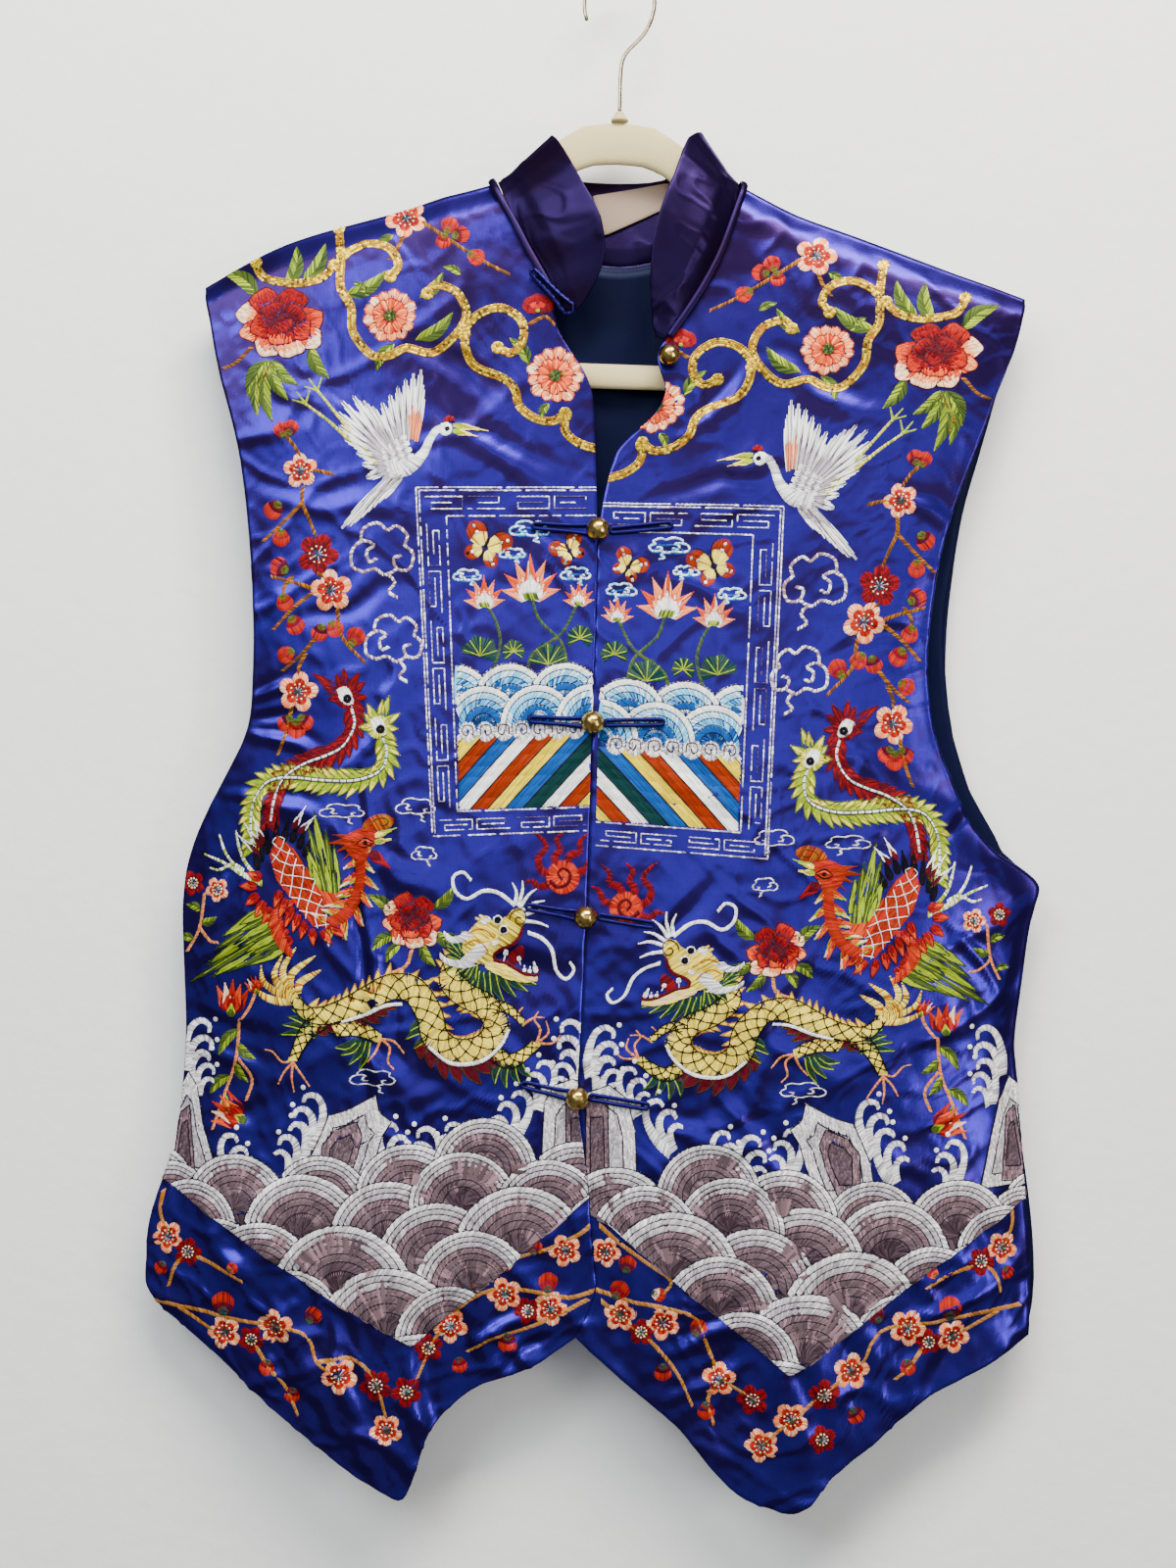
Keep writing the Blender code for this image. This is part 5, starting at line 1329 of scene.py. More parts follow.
def couched(sewn, path):
    """Metal threads laid side by side along a path, with the speckle of their catching stitches."""
    line = even_line(path, max(6, int(run_length(path) / 2.7)))
    side = ways_along(line)[1]
    for row in range(GILT_ROWS):
        laid = line + side * (row - (GILT_ROWS - 1) / 2) * GILT_GAP
        step = laid[1:] - laid[:-1]
        main = "bright_gold" if row % 2 else "gold"
        threads = (main, "gold", main, "bright_gold", "dark_gold", main, "gold", "ochre")
        lay(sewn, laid[:-1] - step * 0.35, laid[1:] + step * 0.35, threads, None, GILT_GAP * 1.1, 0.3)


def gilt_scroll():
    sewn = []
    for path in SCROLLS:
        couched(sewn, path)
        for end in (path[0], path[-1]):
            rays(sewn, end, 0.8, 6.6, 0, 360, ("gold", "bright_gold"), gap=1.5, lift=0.45)
    return np.vstack(sewn)


# Flowers
# Peonies in petals shaded from crimson to blush, chrysanthemums in narrow salmon petals, single
# blossoms and a plum branch, with two-tone leaves. All in flat floss stitches.

# Petals from the back to the front: middle x, middle y, half width, half height, in halves of the
# flower, the way they open, and the threads from the root to the edge
PEONY_PETALS = (
    (-0.66, -0.20, 0.36, 0.38, 200, ("coral", "blush", "pale_pink")),
    (-0.60, 0.28, 0.34, 0.30, 160, ("scarlet", "coral", "blush")),
    (0.68, -0.02, 0.34, 0.36, -10, ("scarlet", "coral", "salmon")),
    (0.62, 0.48, 0.38, 0.34, 30, ("coral", "salmon", "pale_pink")),
    (-0.22, 0.66, 0.38, 0.34, 110, ("coral", "salmon", "pale_pink")),
    (0.22, 0.72, 0.36, 0.30, 80, ("coral", "blush", "pale_pink")),
    (-0.34, -0.56, 0.36, 0.36, 245, ("crimson", "scarlet", "coral")),
    (0.26, -0.56, 0.38, 0.34, 290, ("crimson", "scarlet", "scarlet")),
    (-0.36, 0.14, 0.34, 0.34, 150, ("crimson", "scarlet", "coral")),
    (0.40, 0.22, 0.34, 0.34, 40, ("crimson", "scarlet", "coral")),
    (0.02, 0.38, 0.34, 0.30, 95, ("crimson", "scarlet", "salmon")),
    (-0.12, -0.22, 0.30, 0.32, 240, ("crimson", "crimson", "scarlet")),
    (0.30, -0.16, 0.30, 0.30, 310, ("crimson", "crimson", "scarlet")),
    (0.08, 0.08, 0.22, 0.24, 60, ("crimson", "scarlet")),
)


def peony(sewn, x, y, wide, tall, turn=0.0):
    """A full flower in ruffled petals, each edged with a dark line."""
    half, layers = np.array((wide, tall)) / 2, []
    for order, (px, py, half_wide, half_tall, way, threads) in enumerate(PEONY_PETALS):
        around = np.radians(np.arange(0, 360, 30))
        ruffle = 1 + 0.10 * np.cos(around * 4 + order)
        ring = ways(around) * (half_wide, half_tall) * ruffle[:, None] + (px, py)
        ring = turned_points(ring * half, (x, y), turn)
        axis = ways(math.radians(way - turn))
        middle, reach = ring.mean(axis=0), (half_wide + half_tall) / 2 * half.mean()

        def shade(a, b):
            return np.clip(
                (((a - middle[0]) * axis[0] + (b - middle[1]) * axis[1]) / reach + 0.85) / 1.7, 0, 0.99,
            )

        lift, petal = 0.2 + order * 0.03, []
        long_and_short(petal, ring, way - turn, threads, shade, 6.0, 1.1, lift)
        edge, line = closed_curve(ring, 48), "crimson" if threads[-1] != "scarlet" else "dark_mauve"
        lay(petal, edge, np.roll(edge, -1, axis=0), line, None, 1.0, lift + 0.14)
        layers.append((ring, petal))
    stack_up(sewn, layers)


def chrysanthemum(sewn, x, y, r):
    """Two rings of narrow petals round a green heart."""
    threads, layers = ("coral", "coral", "salmon", "blush", "blush", "pale_pink"), []

    def shade(a, b):
        return np.clip(np.hypot(a - x, b - y) / r, 0, 0.99)

    for count, near, far, width, lift in ((13, 0.40, 1.0, 0.43, 0.2), (10, 0.16, 0.66, 0.38, 0.35)):
        for k in range(count):
            angle = math.radians(360 * k / count + 13 * count)
            way = ways(angle) * r * chance.uniform(0.93, 1.05)
            across = np.array((-way[1], way[0])) * width * 0.5
            middle, end = np.array((x, y)) + way * (near + far) / 2, (x, y) + way * far * 0.9
            petal = np.array([
                (x, y) + way * near, middle - across * 0.85, end - across * 0.9, (x, y) + way * far,
                end + across * 0.9, middle + across * 0.85,
            ])
            laid = []
            long_and_short(laid, petal, math.degrees(angle), threads, shade, 9.0, 1.15, lift)
            stem_stitch(laid, petal[[0, 5, 4, 3]], "scarlet", 0.9, 4, lift + 0.12)
            stem_stitch(laid, petal[:4], "coral", 0.7, 4, lift + 0.12)
            layers.append((closed_curve(petal, 24), laid))
    stack_up(sewn, layers)
    rays(sewn, (x, y), 1.0, r * 0.24, 0, 360, ("leaf", "dark_leaf", "dark_leaf"), gap=1.5, lift=0.5)
    knots(sewn, (x, y) + chance.normal(0, r * 0.1, (6, 2)), 2.4, ("lime", "leaf"))


# base x, base y, tip x, tip y, width
LEAVES = (
    (262, 300, 222, 270, 17), (292, 290, 300, 246, 15), (308, 286, 330, 244, 15), (350, 300, 394, 274, 15),
    (272, 366, 252, 404, 15), (272, 366, 262, 424, 15), (274, 366, 278, 430, 15), (276, 366, 294, 408, 14),
    (278, 366, 304, 392, 13), (316, 352, 336, 386, 14), (424, 346, 462, 318, 14), (402, 350, 384, 378, 12),
    (428, 302, 452, 276, 12), (376, 300, 360, 286, 10), (540, 372, 520, 344, 12), (592, 362, 602, 338, 10),
    (560, 412, 552, 428, 9), (400, 236, 384, 250, 9), (470, 278, 452, 270, 8),
)
TWIGS = (
    ((430, 222), (450, 236), (480, 256), (500, 268), (520, 278)), ((410, 238), (404, 252), (396, 262)),
    ((256, 352), (240, 368), (226, 374)), ((276, 372), (262, 396), (264, 410)),
    ((540, 330), (556, 322), (566, 330)), ((292, 445), (300, 454), (307, 466)),
    ((309, 497), (309, 513), (316, 530), (323, 548)), ((309, 513), (290, 532), (268, 552)),
    ((325, 585), (334, 592), (339, 600)), ((318, 600), (300, 594), (277, 588)),
    ((318, 606), (300, 620), (279, 642)), ((345, 622), (350, 650), (374, 677)),
    ((322, 652), (308, 668), (289, 684)), ((312, 668), (306, 680), (305, 690)),
    ((298, 722), (292, 748), (284, 770)), ((340, 484), (322, 480), (316, 482)),
    ((298, 588), (290, 600), (291, 614)),
)
# x, y, length, way, thread
BUDS = (
    (458, 226, 9, -70, "scarlet"), (470, 236, 9, -10, "crimson"), (452, 243, 8, 100, "scarlet"),
    (486, 260, 9, 30, "coral"), (287, 438, 8, -110, "scarlet"), (297, 436, 8, -70, "crimson"),
    (279, 520, 10, 130, "crimson"), (287, 549, 9, 90, "coral"), (285, 578, 10, -150, "crimson"),
    (291, 615, 9, 70, "coral"), (302, 638, 10, 60, "scarlet"), (327, 646, 9, 110, "crimson"),
    (343, 642, 9, 60, "coral"), (364, 650, 10, -60, "scarlet"), (292, 668, 9, 150, "coral"),
    (292, 738, 9, 130, "crimson"), (303, 744, 10, 90, "scarlet"), (312, 737, 9, 50, "crimson"),
)
# Clouds drawn in one line: middle x and y, width, height, stitch width, threads
CLOUDS = (
    (390, 572, 62, 76, 3.0, ("pink_grey", "white", "pink_grey")),
    (402, 662, 56, 68, 3.0, ("pink_grey", "white")), (350, 830, 46, 20, 1.2, ("pearl_grey", "white")),
    (425, 826, 40, 24, 1.2, ("pearl_grey", "white")), (434, 873, 26, 20, 1.2, ("pearl_grey", "white")),
    (382, 1100, 46, 24, 1.2, ("pearl_grey", "white")),
)
CLOUD_LINES = (
    ((-0.08, -0.02), (-0.20, 0.02), (-0.24, -0.12), (-0.12, -0.20), (-0.30, -0.26), (-0.48, -0.14),
     (-0.48, 0.08), (-0.30, 0.16)),
    ((-0.34, -0.22), (-0.30, -0.42), (-0.06, -0.50), (0.10, -0.40), (0.24, -0.46), (0.42, -0.34),
     (0.38, -0.20)),
    ((0.38, -0.20), (0.52, -0.08), (0.46, 0.12), (0.26, 0.12), (0.20, -0.02), (0.32, -0.06)),
    ((-0.30, 0.16), (-0.10, 0.12), (0.06, 0.20), (0.26, 0.12)),
    ((0.10, 0.18), (0.22, 0.30), (0.12, 0.42), (0.26, 0.50)),
)


def cloud(sewn, x, y, wide, tall, stitch, threads, lift=0.2):
    """A cloud of curling lines, fine ones in stem stitch."""
    for line in CLOUD_LINES:
        path = np.array(line) * (wide, tall) + (x, y)
        if stitch < 2:
            stem_stitch(sewn, path, threads, stitch, 5, lift)
        else:
            satin_stitch(sewn, path, (stitch, stitch), threads, slant=0.7, lift=lift)


def flowers():
    sewn = []
    for path in TWIGS:
        twig(sewn, path, 4.2, 3.0)
    for place in CLOUDS:
        cloud(sewn, *place)
    for x0, y0, x1, y1, width in LEAVES:
        leaf(sewn, (x0, y0), (x1, y1), width)
    for place in BUDS:
        bud(sewn, *place)
    peony(sewn, 285, 326, 88, 74)
    chrysanthemum(sewn, 398, 321, 28)
    chrysanthemum(sewn, 567, 383, 29)
    plum(sewn, 413, 217, 22)
    half_bloom(sewn, 549, 316, 18, -90)
    for place in ((307, 480, 18), (325, 566, 22, True), (339, 603, 22), (305, 706, 21)):
        plum(sewn, *place)
    return np.vstack(sewn)


# The crane
# A crane in flight, in white feathers with peach at their roots, a red crown and thin legs. Each
# feather is its own blade of floss.

# base x, base y, tip x, tip y, width
CRANE_FEATHERS = (
    (412, 484, 398, 492, 8), (411, 486, 394, 498, 8), (410, 488, 390, 504, 9), (409, 488, 385, 512, 9),
    (408, 482, 384, 506, 8), (406, 484, 378, 516, 8), (405, 485, 371, 525, 8), (403, 486, 364, 532, 8),
    (402, 486, 356, 538, 8), (400, 484, 349, 540, 7), (398, 472, 364, 462, 8), (398, 470, 352, 448, 8),
    (398, 469, 346, 434, 8), (399, 467, 344, 420, 8), (400, 466, 348, 408, 8), (402, 464, 360, 403, 8),
    (404, 462, 371, 408, 7), (406, 462, 380, 414, 7), (406, 458, 390, 410, 8), (409, 456, 398, 402, 8),
    (412, 454, 406, 394, 8), (416, 452, 414, 386, 8), (420, 450, 422, 380, 7), (423, 450, 430, 376, 7),
    (425, 452, 432, 392, 7), (402, 488, 380, 520, 6), (396, 476, 370, 474, 8), (396, 480, 374, 488, 8),
)
# From the head to the breast
CRANE_NECK = ((452, 437), (446, 439), (439, 449), (434, 460), (425, 471), (412, 478), (398, 478))


def crane():
    sewn = []
    for foot in (
        ((380, 470), (360, 452), (336, 430), (312, 412)), ((384, 474), (362, 446), (340, 418), (324, 398)),
    ):
        satin_stitch(sewn, foot, (4.0, 2.6), ("lime", "butter"))
        for toe in ((-9, -12), (-13, -4), (4, -13)):
            toe, heel = np.array(toe), np.array(foot[-1])
            satin_stitch(sewn, (heel, heel + toe * 0.6, heel + toe), (2.8, 1.4), "lime")
    for x0, y0, x1, y1, width in CRANE_FEATHERS:
        root = "blush" if x0 > 418 and y0 < 470 else "pearl_grey"
        blade(sewn, (x0, y0), (x1, y1), width, (root, "white", "white"), True)
        stem_stitch(sewn, ((x0, y0), ((x0 + x1) / 2, (y0 + y1) / 2), (x1, y1)), "mauve", 0.8, 5.0, 0.4)
    for row in range(4):
        for k in range(5):
            x, y = 386 + 7 * row + 2.4 * k, 462 + 6.4 * k - 4.5 * row
            blade(sewn, (x + 9, y - 3), (x - 5, y + 2), 6.5, ("white", "pearl_grey"), True, lift=0.45)
    satin_stitch(sewn, CRANE_NECK, (7, 8, 9, 12, 18, 15), ("white", "white", "pearl_grey"), lift=0.5)
    for top, bottom in (((462, 434), (499, 440)), ((462, 440), (488, 446))):
        blade(sewn, top, bottom, 6, ("lime", "butter"), lift=0.5)
    rays(sewn, (455, 438), 0.5, 7.0, 0, 360, "white", lift=0.6)
    rays(sewn, (459, 430), 0.5, 6.0, 180, 360, ("scarlet", "crimson"), lift=0.75)
    rays(sewn, (457, 438), 0.3, 2.6, 0, 360, "black", lift=1.1)
    return np.vstack(sewn)


# The phoenix
# A bird in coral and green feathers. It has two long tail plumes with eyes, one crimson and one
# lime, latticed coral on its back, rows of green feathers in its wing and a crest.
def fringe(sewn, path, reach, width, threads, lean, step=6.0, side=1, lift=0.25, edge=None):
    """A row of feathers, fins or flames along one side of a path, leaning back along it."""
    line = even_line(path, max(3, int(run_length(path) / step)))
    along, out = ways_along(line)
    layers = []
    for spot, a, o, far in zip(line[::-1], along[::-1], out[::-1] * side, graded(reach, len(line))[::-1]):
        far = far * chance.uniform(0.88, 1.1)
        layers.append(feather(spot, spot + o * far + a * lean * far, width, threads, edge, lift))
    stack_up(sewn, layers)


def lattice(sewn, path, width, thread, step, lift, edge=True, line=1.4):
    """A net of diamond scales over a band, and its two edge lines."""
    length = run_length(path)
    middle = even_line(path, max(8, int(length / 2)))
    side = ways_along(middle)[1]
    share = np.linspace(0, 1, len(middle))
    wide = graded(width, len(middle))[:, None] / 2

    def net(far, out):
        at = np.clip(far / length, 0, 1)
        reach = middle + side * wide * out
        return np.stack([np.interp(at, share, reach[:, axis]) for axis in (0, 1)], axis=1)

    start = np.arange(-2, length / step + 2) * step
    lean = np.interp(start / length, share, wide[:, 0])
    for sign in (-1, 1):
        for low, high in ((-1.0, -0.32), (-0.36, 0.36), (0.32, 1.0)):
            ends = start + sign * lean * low, start + sign * lean * high
            whole = (np.minimum(*ends) > 0) & (np.maximum(*ends) < length)
            lay(sewn, net(ends[0], low)[whole], net(ends[1], high)[whole], thread, None, line, lift)
    if edge:
        for sign in (-1, 1):
            stem_stitch(sewn, middle[::3] + (side * wide * sign)[::3], thread, 1.2, 6, lift)


def plume(sewn, path, barb, threads, eye, tips, edge):
    """A tail feather: pointed barbs, a white vein with dark ticks and an eye at its end."""
    satin_stitch(sewn, path, (barb * 0.9, barb * 1.1, barb * 0.9), threads[:2], slant=0.9, lift=0.3)
    for sign in (1, -1):
        fringe(sewn, path, (barb, barb * 1.15, barb, barb * 0.8), 8.5, threads, 1.2, 8.0, sign, 0.35, edge)
    stack_up(sewn, [feather(eye, tip, 11, threads, edge, 0.4) for tip in tips])
    rays(sewn, eye, 1.0, 12.0, 0, 360, threads[-2:], lift=0.65)
    satin_stitch(sewn, path, (2.6, 2.4), "white", lift=0.75)
    for shift in (-1.9, 1.9):
        stem_stitch(sewn, np.array(path) + (0, shift), "slate", 0.8, 6, 0.7)
    line = even_line(path, int(run_length(path) / 7))
    side = ways_along(line)[1] * 1.8
    lay(sewn, line - side, line + side, ("slate", "black"), None, 1.2, 1.05)
    x, y = eye
    white_of_eye = ((x - 9, y - 6), (x, y - 10), (x + 6, y - 3), (x + 8, y + 7), (x, y + 8), (x - 6, y + 2))
    long_and_short(sewn, white_of_eye, 60, "white", lift=0.95)
    rays(sewn, (x + 2, y + 2), 0.3, 4.6, 0, 360, "black", lift=1.25)


# The plumes run from the eye to the root
GREEN_PLUME = (
    (392, 752), (396, 768), (390, 786), (365, 796), (331, 796), (296, 793), (274, 797), (262, 811),
    (256, 833), (257, 862),
)
RED_PLUME = ((360, 722), (363, 740), (352, 761), (334, 771), (312, 779), (292, 792), (282, 810), (277, 838))
PHOENIX_BACK = ((284, 852), (302, 866), (318, 890), (329, 922), (338, 944))
PHOENIX_BREAST = ((284, 852), (276, 872), (284, 898), (304, 922), (322, 944), (338, 944))
PHOENIX_NECK = ((374, 862), (370, 876), (370, 893), (366, 912), (356, 930), (340, 940))
GREEN_TIPS = (
    (399, 710), (392, 714), (410, 728), (408, 744), (372, 728), (376, 718), (406, 756), (366, 742),
)
RED_TIPS = (
    (320, 687), (330, 700), (352, 682), (344, 688), (374, 696), (368, 686), (377, 712), (336, 714),
    (374, 726),
)
# root x, root y, tip x, tip y
BLACK_FEATHERS = (
    (268, 872, 262, 842), (274, 864, 272, 834), (282, 856, 284, 830), (290, 852, 296, 832),
    (298, 852, 306, 836), (306, 858, 314, 842), (312, 866, 320, 852), (264, 880, 258, 856),
)
RED_FEATHERS = (
    (268, 866, 248, 838), (266, 872, 240, 850), (270, 862, 258, 832), (300, 846, 314, 822),
    (306, 850, 324, 832),
)
PHOENIX_CLAWS = (
    ((268, 900), (246, 890), (230, 872), (222, 852)), ((268, 902), (246, 892), (226, 880), (206, 872)),
    ((262, 894), (250, 880), (244, 866), (240, 848)), ((248, 888), (236, 882), (222, 888), (212, 886)),
)
# root x, root y, tip x, tip y, width, from the lowest layer
LOW_WING = (
    (296, 964, 246, 986, 12), (293, 957, 232, 992, 12), (290, 951, 214, 998, 12), (287, 945, 190, 1004, 12),
    (283, 938, 208, 986, 12), (279, 931, 218, 970, 12), (275, 925, 226, 956, 11), (290, 958, 256, 974, 8),
    (287, 951, 250, 972, 8), (284, 945, 246, 966, 8), (281, 939, 243, 960, 8), (278, 933, 242, 952, 8),
    (275, 927, 244, 944, 8),
)
HIGH_WING = (
    (346, 914, 343, 862, 10), (342, 913, 334, 846, 11), (337, 911, 322, 826, 12), (332, 908, 316, 842, 11),
    (328, 905, 314, 862, 10), (345, 916, 342, 886, 7), (340, 915, 334, 878, 7), (335, 913, 326, 876, 7),
    (330, 910, 320, 880, 7),
)


def phoenix():
    sewn = []
    plume(sewn, RED_PLUME, 11, ("scarlet", "crimson", "scarlet"), (354, 711), RED_TIPS, "crimson")
    plume(sewn, GREEN_PLUME, 13, ("lime", "lime", "butter"), (388, 742), GREEN_TIPS, "leaf")
    for x0, y0, x1, y1 in BLACK_FEATHERS:
        blade(sewn, (x0, y0 + 8), (x1, y1), 7, "black", lift=0.55)
    for x0, y0, x1, y1 in RED_FEATHERS:
        blade(sewn, (x0, y0), (x1, y1), 6, ("crimson", "scarlet", "white"), lift=0.6)
    for claw in PHOENIX_CLAWS:
        satin_stitch(sewn, claw, (4.4, 3.4, 2.0), ("lime", "white"))
    for wing in (LOW_WING, HIGH_WING):
        quills = []
        for number, (x0, y0, x1, y1, width) in enumerate(wing):
            green = "leaf" if number % 2 else "lime"
            edge, stitches = feather((x0, y0), (x1, y1), width, green, "dark_leaf", 0.3)
            quill = ((x0, y0), (x0 * 0.15 + x1 * 0.85, y0 * 0.15 + y1 * 0.85))
            stem_stitch(stitches, quill, "lime", 1.0, 5, 0.45)
            quills.append((edge, stitches))
        stack_up(sewn, quills)
    shoulder = ((322, 900), (332, 908), (348, 912), (346, 924), (334, 924), (322, 914))
    long_and_short(sewn, shoulder, 60, ("coral", "salmon"), lift=0.7)
    wing_edge, widths = ((298, 918), (286, 930), (284, 946), (292, 962), (300, 972)), (9, 12, 13, 12, 6)
    satin_stitch(sewn, wing_edge, widths, ("coral", "salmon", "coral"), slant=0.9, lift=0.75)
    reds, breast = ("scarlet", "coral", "salmon"), ((268, 896), (262, 908), (272, 920), (288, 934), (300, 956))
    fringe(sewn, breast, (16, 18, 18, 14), 10, reds, 0.2, 8.0, 1, 0.6, "scarlet")
    body = PHOENIX_BACK + PHOENIX_BREAST[-2:0:-1]
    long_and_short(sewn, body, 60, ("coral", "coral", "orange"), smooth=False, lift=0.75)
    middle = [(np.array(a) + b) / 2 for a, b in zip(PHOENIX_BACK, (PHOENIX_BREAST[0],) + PHOENIX_BREAST[2:])]
    lattice(sewn, middle, (10, 26, 33, 26, 12), "white", 15.0, 1.05, False, 1.0)
    belly = ((288, 908), (306, 930), (324, 948), (340, 944))
    fringe(sewn, belly, (16, 20, 18, 14), 9, reds, 0.6, 8.0, 1, 0.9, "crimson")
    for side in (-1, 1):
        fringe(sewn, PHOENIX_NECK, (12, 20, 23, 20), 6.5, ("lime", "lime", "pale_pink"), 0.7, 12.0, side, 0.8)
        path, lean = (PHOENIX_NECK[:0:-1], -0.5) if side > 0 else (PHOENIX_NECK[1:], 0.9)
        fringe(sewn, path, (10, 17, 20, 17), 7.5, reds + ("salmon",), lean, 11.0, -1, 0.95)
    satin_stitch(sewn, PHOENIX_NECK, (10, 11, 12, 12), ("coral", "orange", "coral"), lift=1.2)
    for tip, width in (((334, 860), 9), ((341, 851), 8), ((343, 869), 7), ((352, 877), 6)):
        blade(sewn, (374, 856), tip, width, ("coral", "orange"), lift=1.1)
    head = (
        (350, 857), (360, 849), (373, 844), (384, 846), (388, 853), (385, 861), (379, 867), (376, 876),
        (364, 876), (356, 867),
    )
    long_and_short(sewn, head, 10, ("coral", "orange", "coral"), lift=1.4)
    comb = ((372, 845), (376, 836), (386, 831), (397, 831), (404, 837), (399, 844), (388, 847))
    long_and_short(sewn, comb, 60, ("orange", "ochre"), lift=1.45)
    crease = ((380, 843), (384, 836), (394, 834), (399, 838), (394, 842), (389, 840))
    stem_stitch(sewn, crease, "brown", 1.2, 4, 1.8)
    for root, tip, width, threads in (
        ((384, 853), (407, 844), 6, ("butter", "lime")), ((384, 859), (405, 855), 5, ("lime", "butter")),
        ((379, 868), (402, 886), 11, ("crimson", "scarlet")),
    ):
        blade(sewn, root, tip, width, threads, lift=1.5)
    satin_stitch(sewn, ((368, 860), (375, 857), (382, 859)), (1.2, 3.2, 1.2), "salmon", lift=1.8)
    for lid in (((366, 861), (374, 854), (383, 858)), ((367, 862), (375, 864), (383, 859))):
        stem_stitch(sewn, lid, "black", 1.2, 4, 1.9)
    rays(sewn, (375, 859), 0.3, 2.2, 0, 360, "black", lift=2.0)
    return np.vstack(sewn)


# The garden between phoenix and sea
# A second peony, a sprig of small flowers and two striped tulips with their leaves.
def garden():
    sewn = []
    for path in (
        ((422, 968), (416, 984), (398, 992)), ((206, 912), (204, 930), (200, 950), (187, 972)),
        ((200, 946), (212, 960), (222, 962)), ((244, 1040), (241, 1080), (230, 1112), (216, 1153)),
        ((262, 1012), (256, 1026), (247, 1040)), ((244, 1080), (258, 1100), (252, 1122)),
    ):
        twig(sewn, path, 3.4, 2.8, ("tan", "blush"))
    for x0, y0, x1, y1, width in (
        (244, 1050, 222, 1078, 11), (242, 1064, 262, 1080, 10), (240, 1084, 254, 1104, 10),
        (234, 1098, 212, 1118, 11), (228, 1116, 240, 1142, 9), (400, 930, 378, 912, 12),
        (444, 926, 464, 904, 12), (404, 952, 382, 968, 12), (446, 950, 470, 962, 12),
        (432, 962, 446, 984, 11), (410, 962, 396, 980, 10), (202, 930, 186, 924, 9),
        (202, 942, 220, 936, 9), (194, 960, 178, 958, 9),
    ):
        leaf(sewn, (x0, y0), (x1, y1), width)
    peony(sewn, 422, 937, 60, 56, 12)
    plum(sewn, 193, 902, 13, True)
    plum(sewn, 220, 908, 13)
    for x, y, turn, size in ((236, 1030, -4, 1.0), (244, 1140, 62, 1.05), (263, 1010, 20, 0.5)):
        for tip, threads in (
            (-18, ("scarlet", "salmon")), (18, ("crimson", "coral")), (-9, ("coral", "pale_pink")),
            (9, ("coral", "salmon")), (0, ("scarlet", "coral")),
        ):
            base, far = turned_points([(tip * 0.25, 2), (tip, -33 + abs(tip) * 0.5)], (x, y), -turn, size)
            blade(sewn, base, far, 11 * size, threads, lift=0.2 + 0.02 * (18 - abs(tip)))
        foot = turned_points([(0, 8), (0, -9)], (x, y), -turn, size)
        blade(sewn, foot[0], foot[1], 9 * size, ("leaf", "lime"), lift=0.7)
    return np.vstack(sewn)


# The dragon
# A coiled dragon with yellow scales under a black net, an ochre crest and dark red flames along
# its belly. It has a green mane and white horns and whiskers, and chases a coral pearl.
DRAGON_BODY = (
    (302, 1016), (316, 1032), (338, 1033), (369, 1021), (400, 1005), (424, 1008), (440, 1032), (446, 1056),
    (466, 1070), (494, 1066), (508, 1046), (497, 1024), (476, 1013), (462, 998), (466, 982),
)
DRAGON_WIDTH = (10, 16, 21, 24, 26, 27, 27, 27, 26, 26, 26, 25, 25, 26, 24)
DRAGON_LEGS = (
    (((330, 1038), (316, 1050), (308, 1064), (301, 1080)), (20, 16, 12, 9)),
    (((344, 1048), (362, 1046), (378, 1050), (391, 1057)), (14, 17, 15, 9)),
    (((506, 1072), (520, 1080), (534, 1074), (548, 1062)), (16, 15, 12, 9)),
    (((500, 1030), (512, 1024), (524, 1030), (536, 1042)), (12, 10, 8, 6)),
)
DRAGON_CLAWS = (
    ((301, 1080), (290, 1082), (280, 1072), (272, 1070)), ((301, 1082), (292, 1092), (286, 1104)),
    ((301, 1082), (300, 1098), (302, 1112)), ((301, 1082), (310, 1094), (318, 1106)),
    ((391, 1057), (400, 1066), (398, 1080), (404, 1088)), ((391, 1057), (386, 1070), (378, 1080)),
    ((391, 1057), (404, 1060), (414, 1072)), ((548, 1062), (552, 1048), (546, 1038), (550, 1030)),
    ((548, 1062), (560, 1052), (558, 1040)), ((548, 1062), (564, 1062), (572, 1054)),
    ((536, 1042), (530, 1032), (534, 1026)), ((536, 1042), (546, 1036), (556, 1036)),
)
# The mane stops short of the snout, which is right of this
MANE_END = 505
# Hollow tufts: root x, root y, tip x, tip y, bend
DRAGON_TUFTS = (
    (484, 984, 462, 1002, -3), (486, 986, 468, 1014, -3), (488, 988, 478, 1022, -2),
    (492, 990, 490, 1026, -2), (498, 990, 504, 1026, 2), (504, 990, 516, 1022, 3), (510, 990, 528, 1016, 3),
    (516, 990, 540, 1010, 3), (520, 990, 549, 1003, 3), (478, 974, 456, 962, 3), (476, 968, 458, 950, 3),
    (476, 978, 452, 976, 3), (322, 1046, 296, 1036, 3), (322, 1050, 290, 1044, 3),
    (324, 1054, 288, 1054, 3), (318, 1040, 300, 1028, 3), (370, 1058, 350, 1074, -3),
    (374, 1058, 358, 1084, -3), (378, 1060, 368, 1090, -2), (366, 1058, 344, 1066, -3),
    (512, 1080, 506, 1104, 3), (518, 1082, 518, 1108, 3), (524, 1082, 532, 1104, 3),
    (530, 1080, 544, 1096, 3), (436, 1040, 420, 1050, 3), (438, 1048, 416, 1058, 3),
    (442, 1056, 424, 1068, 3),
)
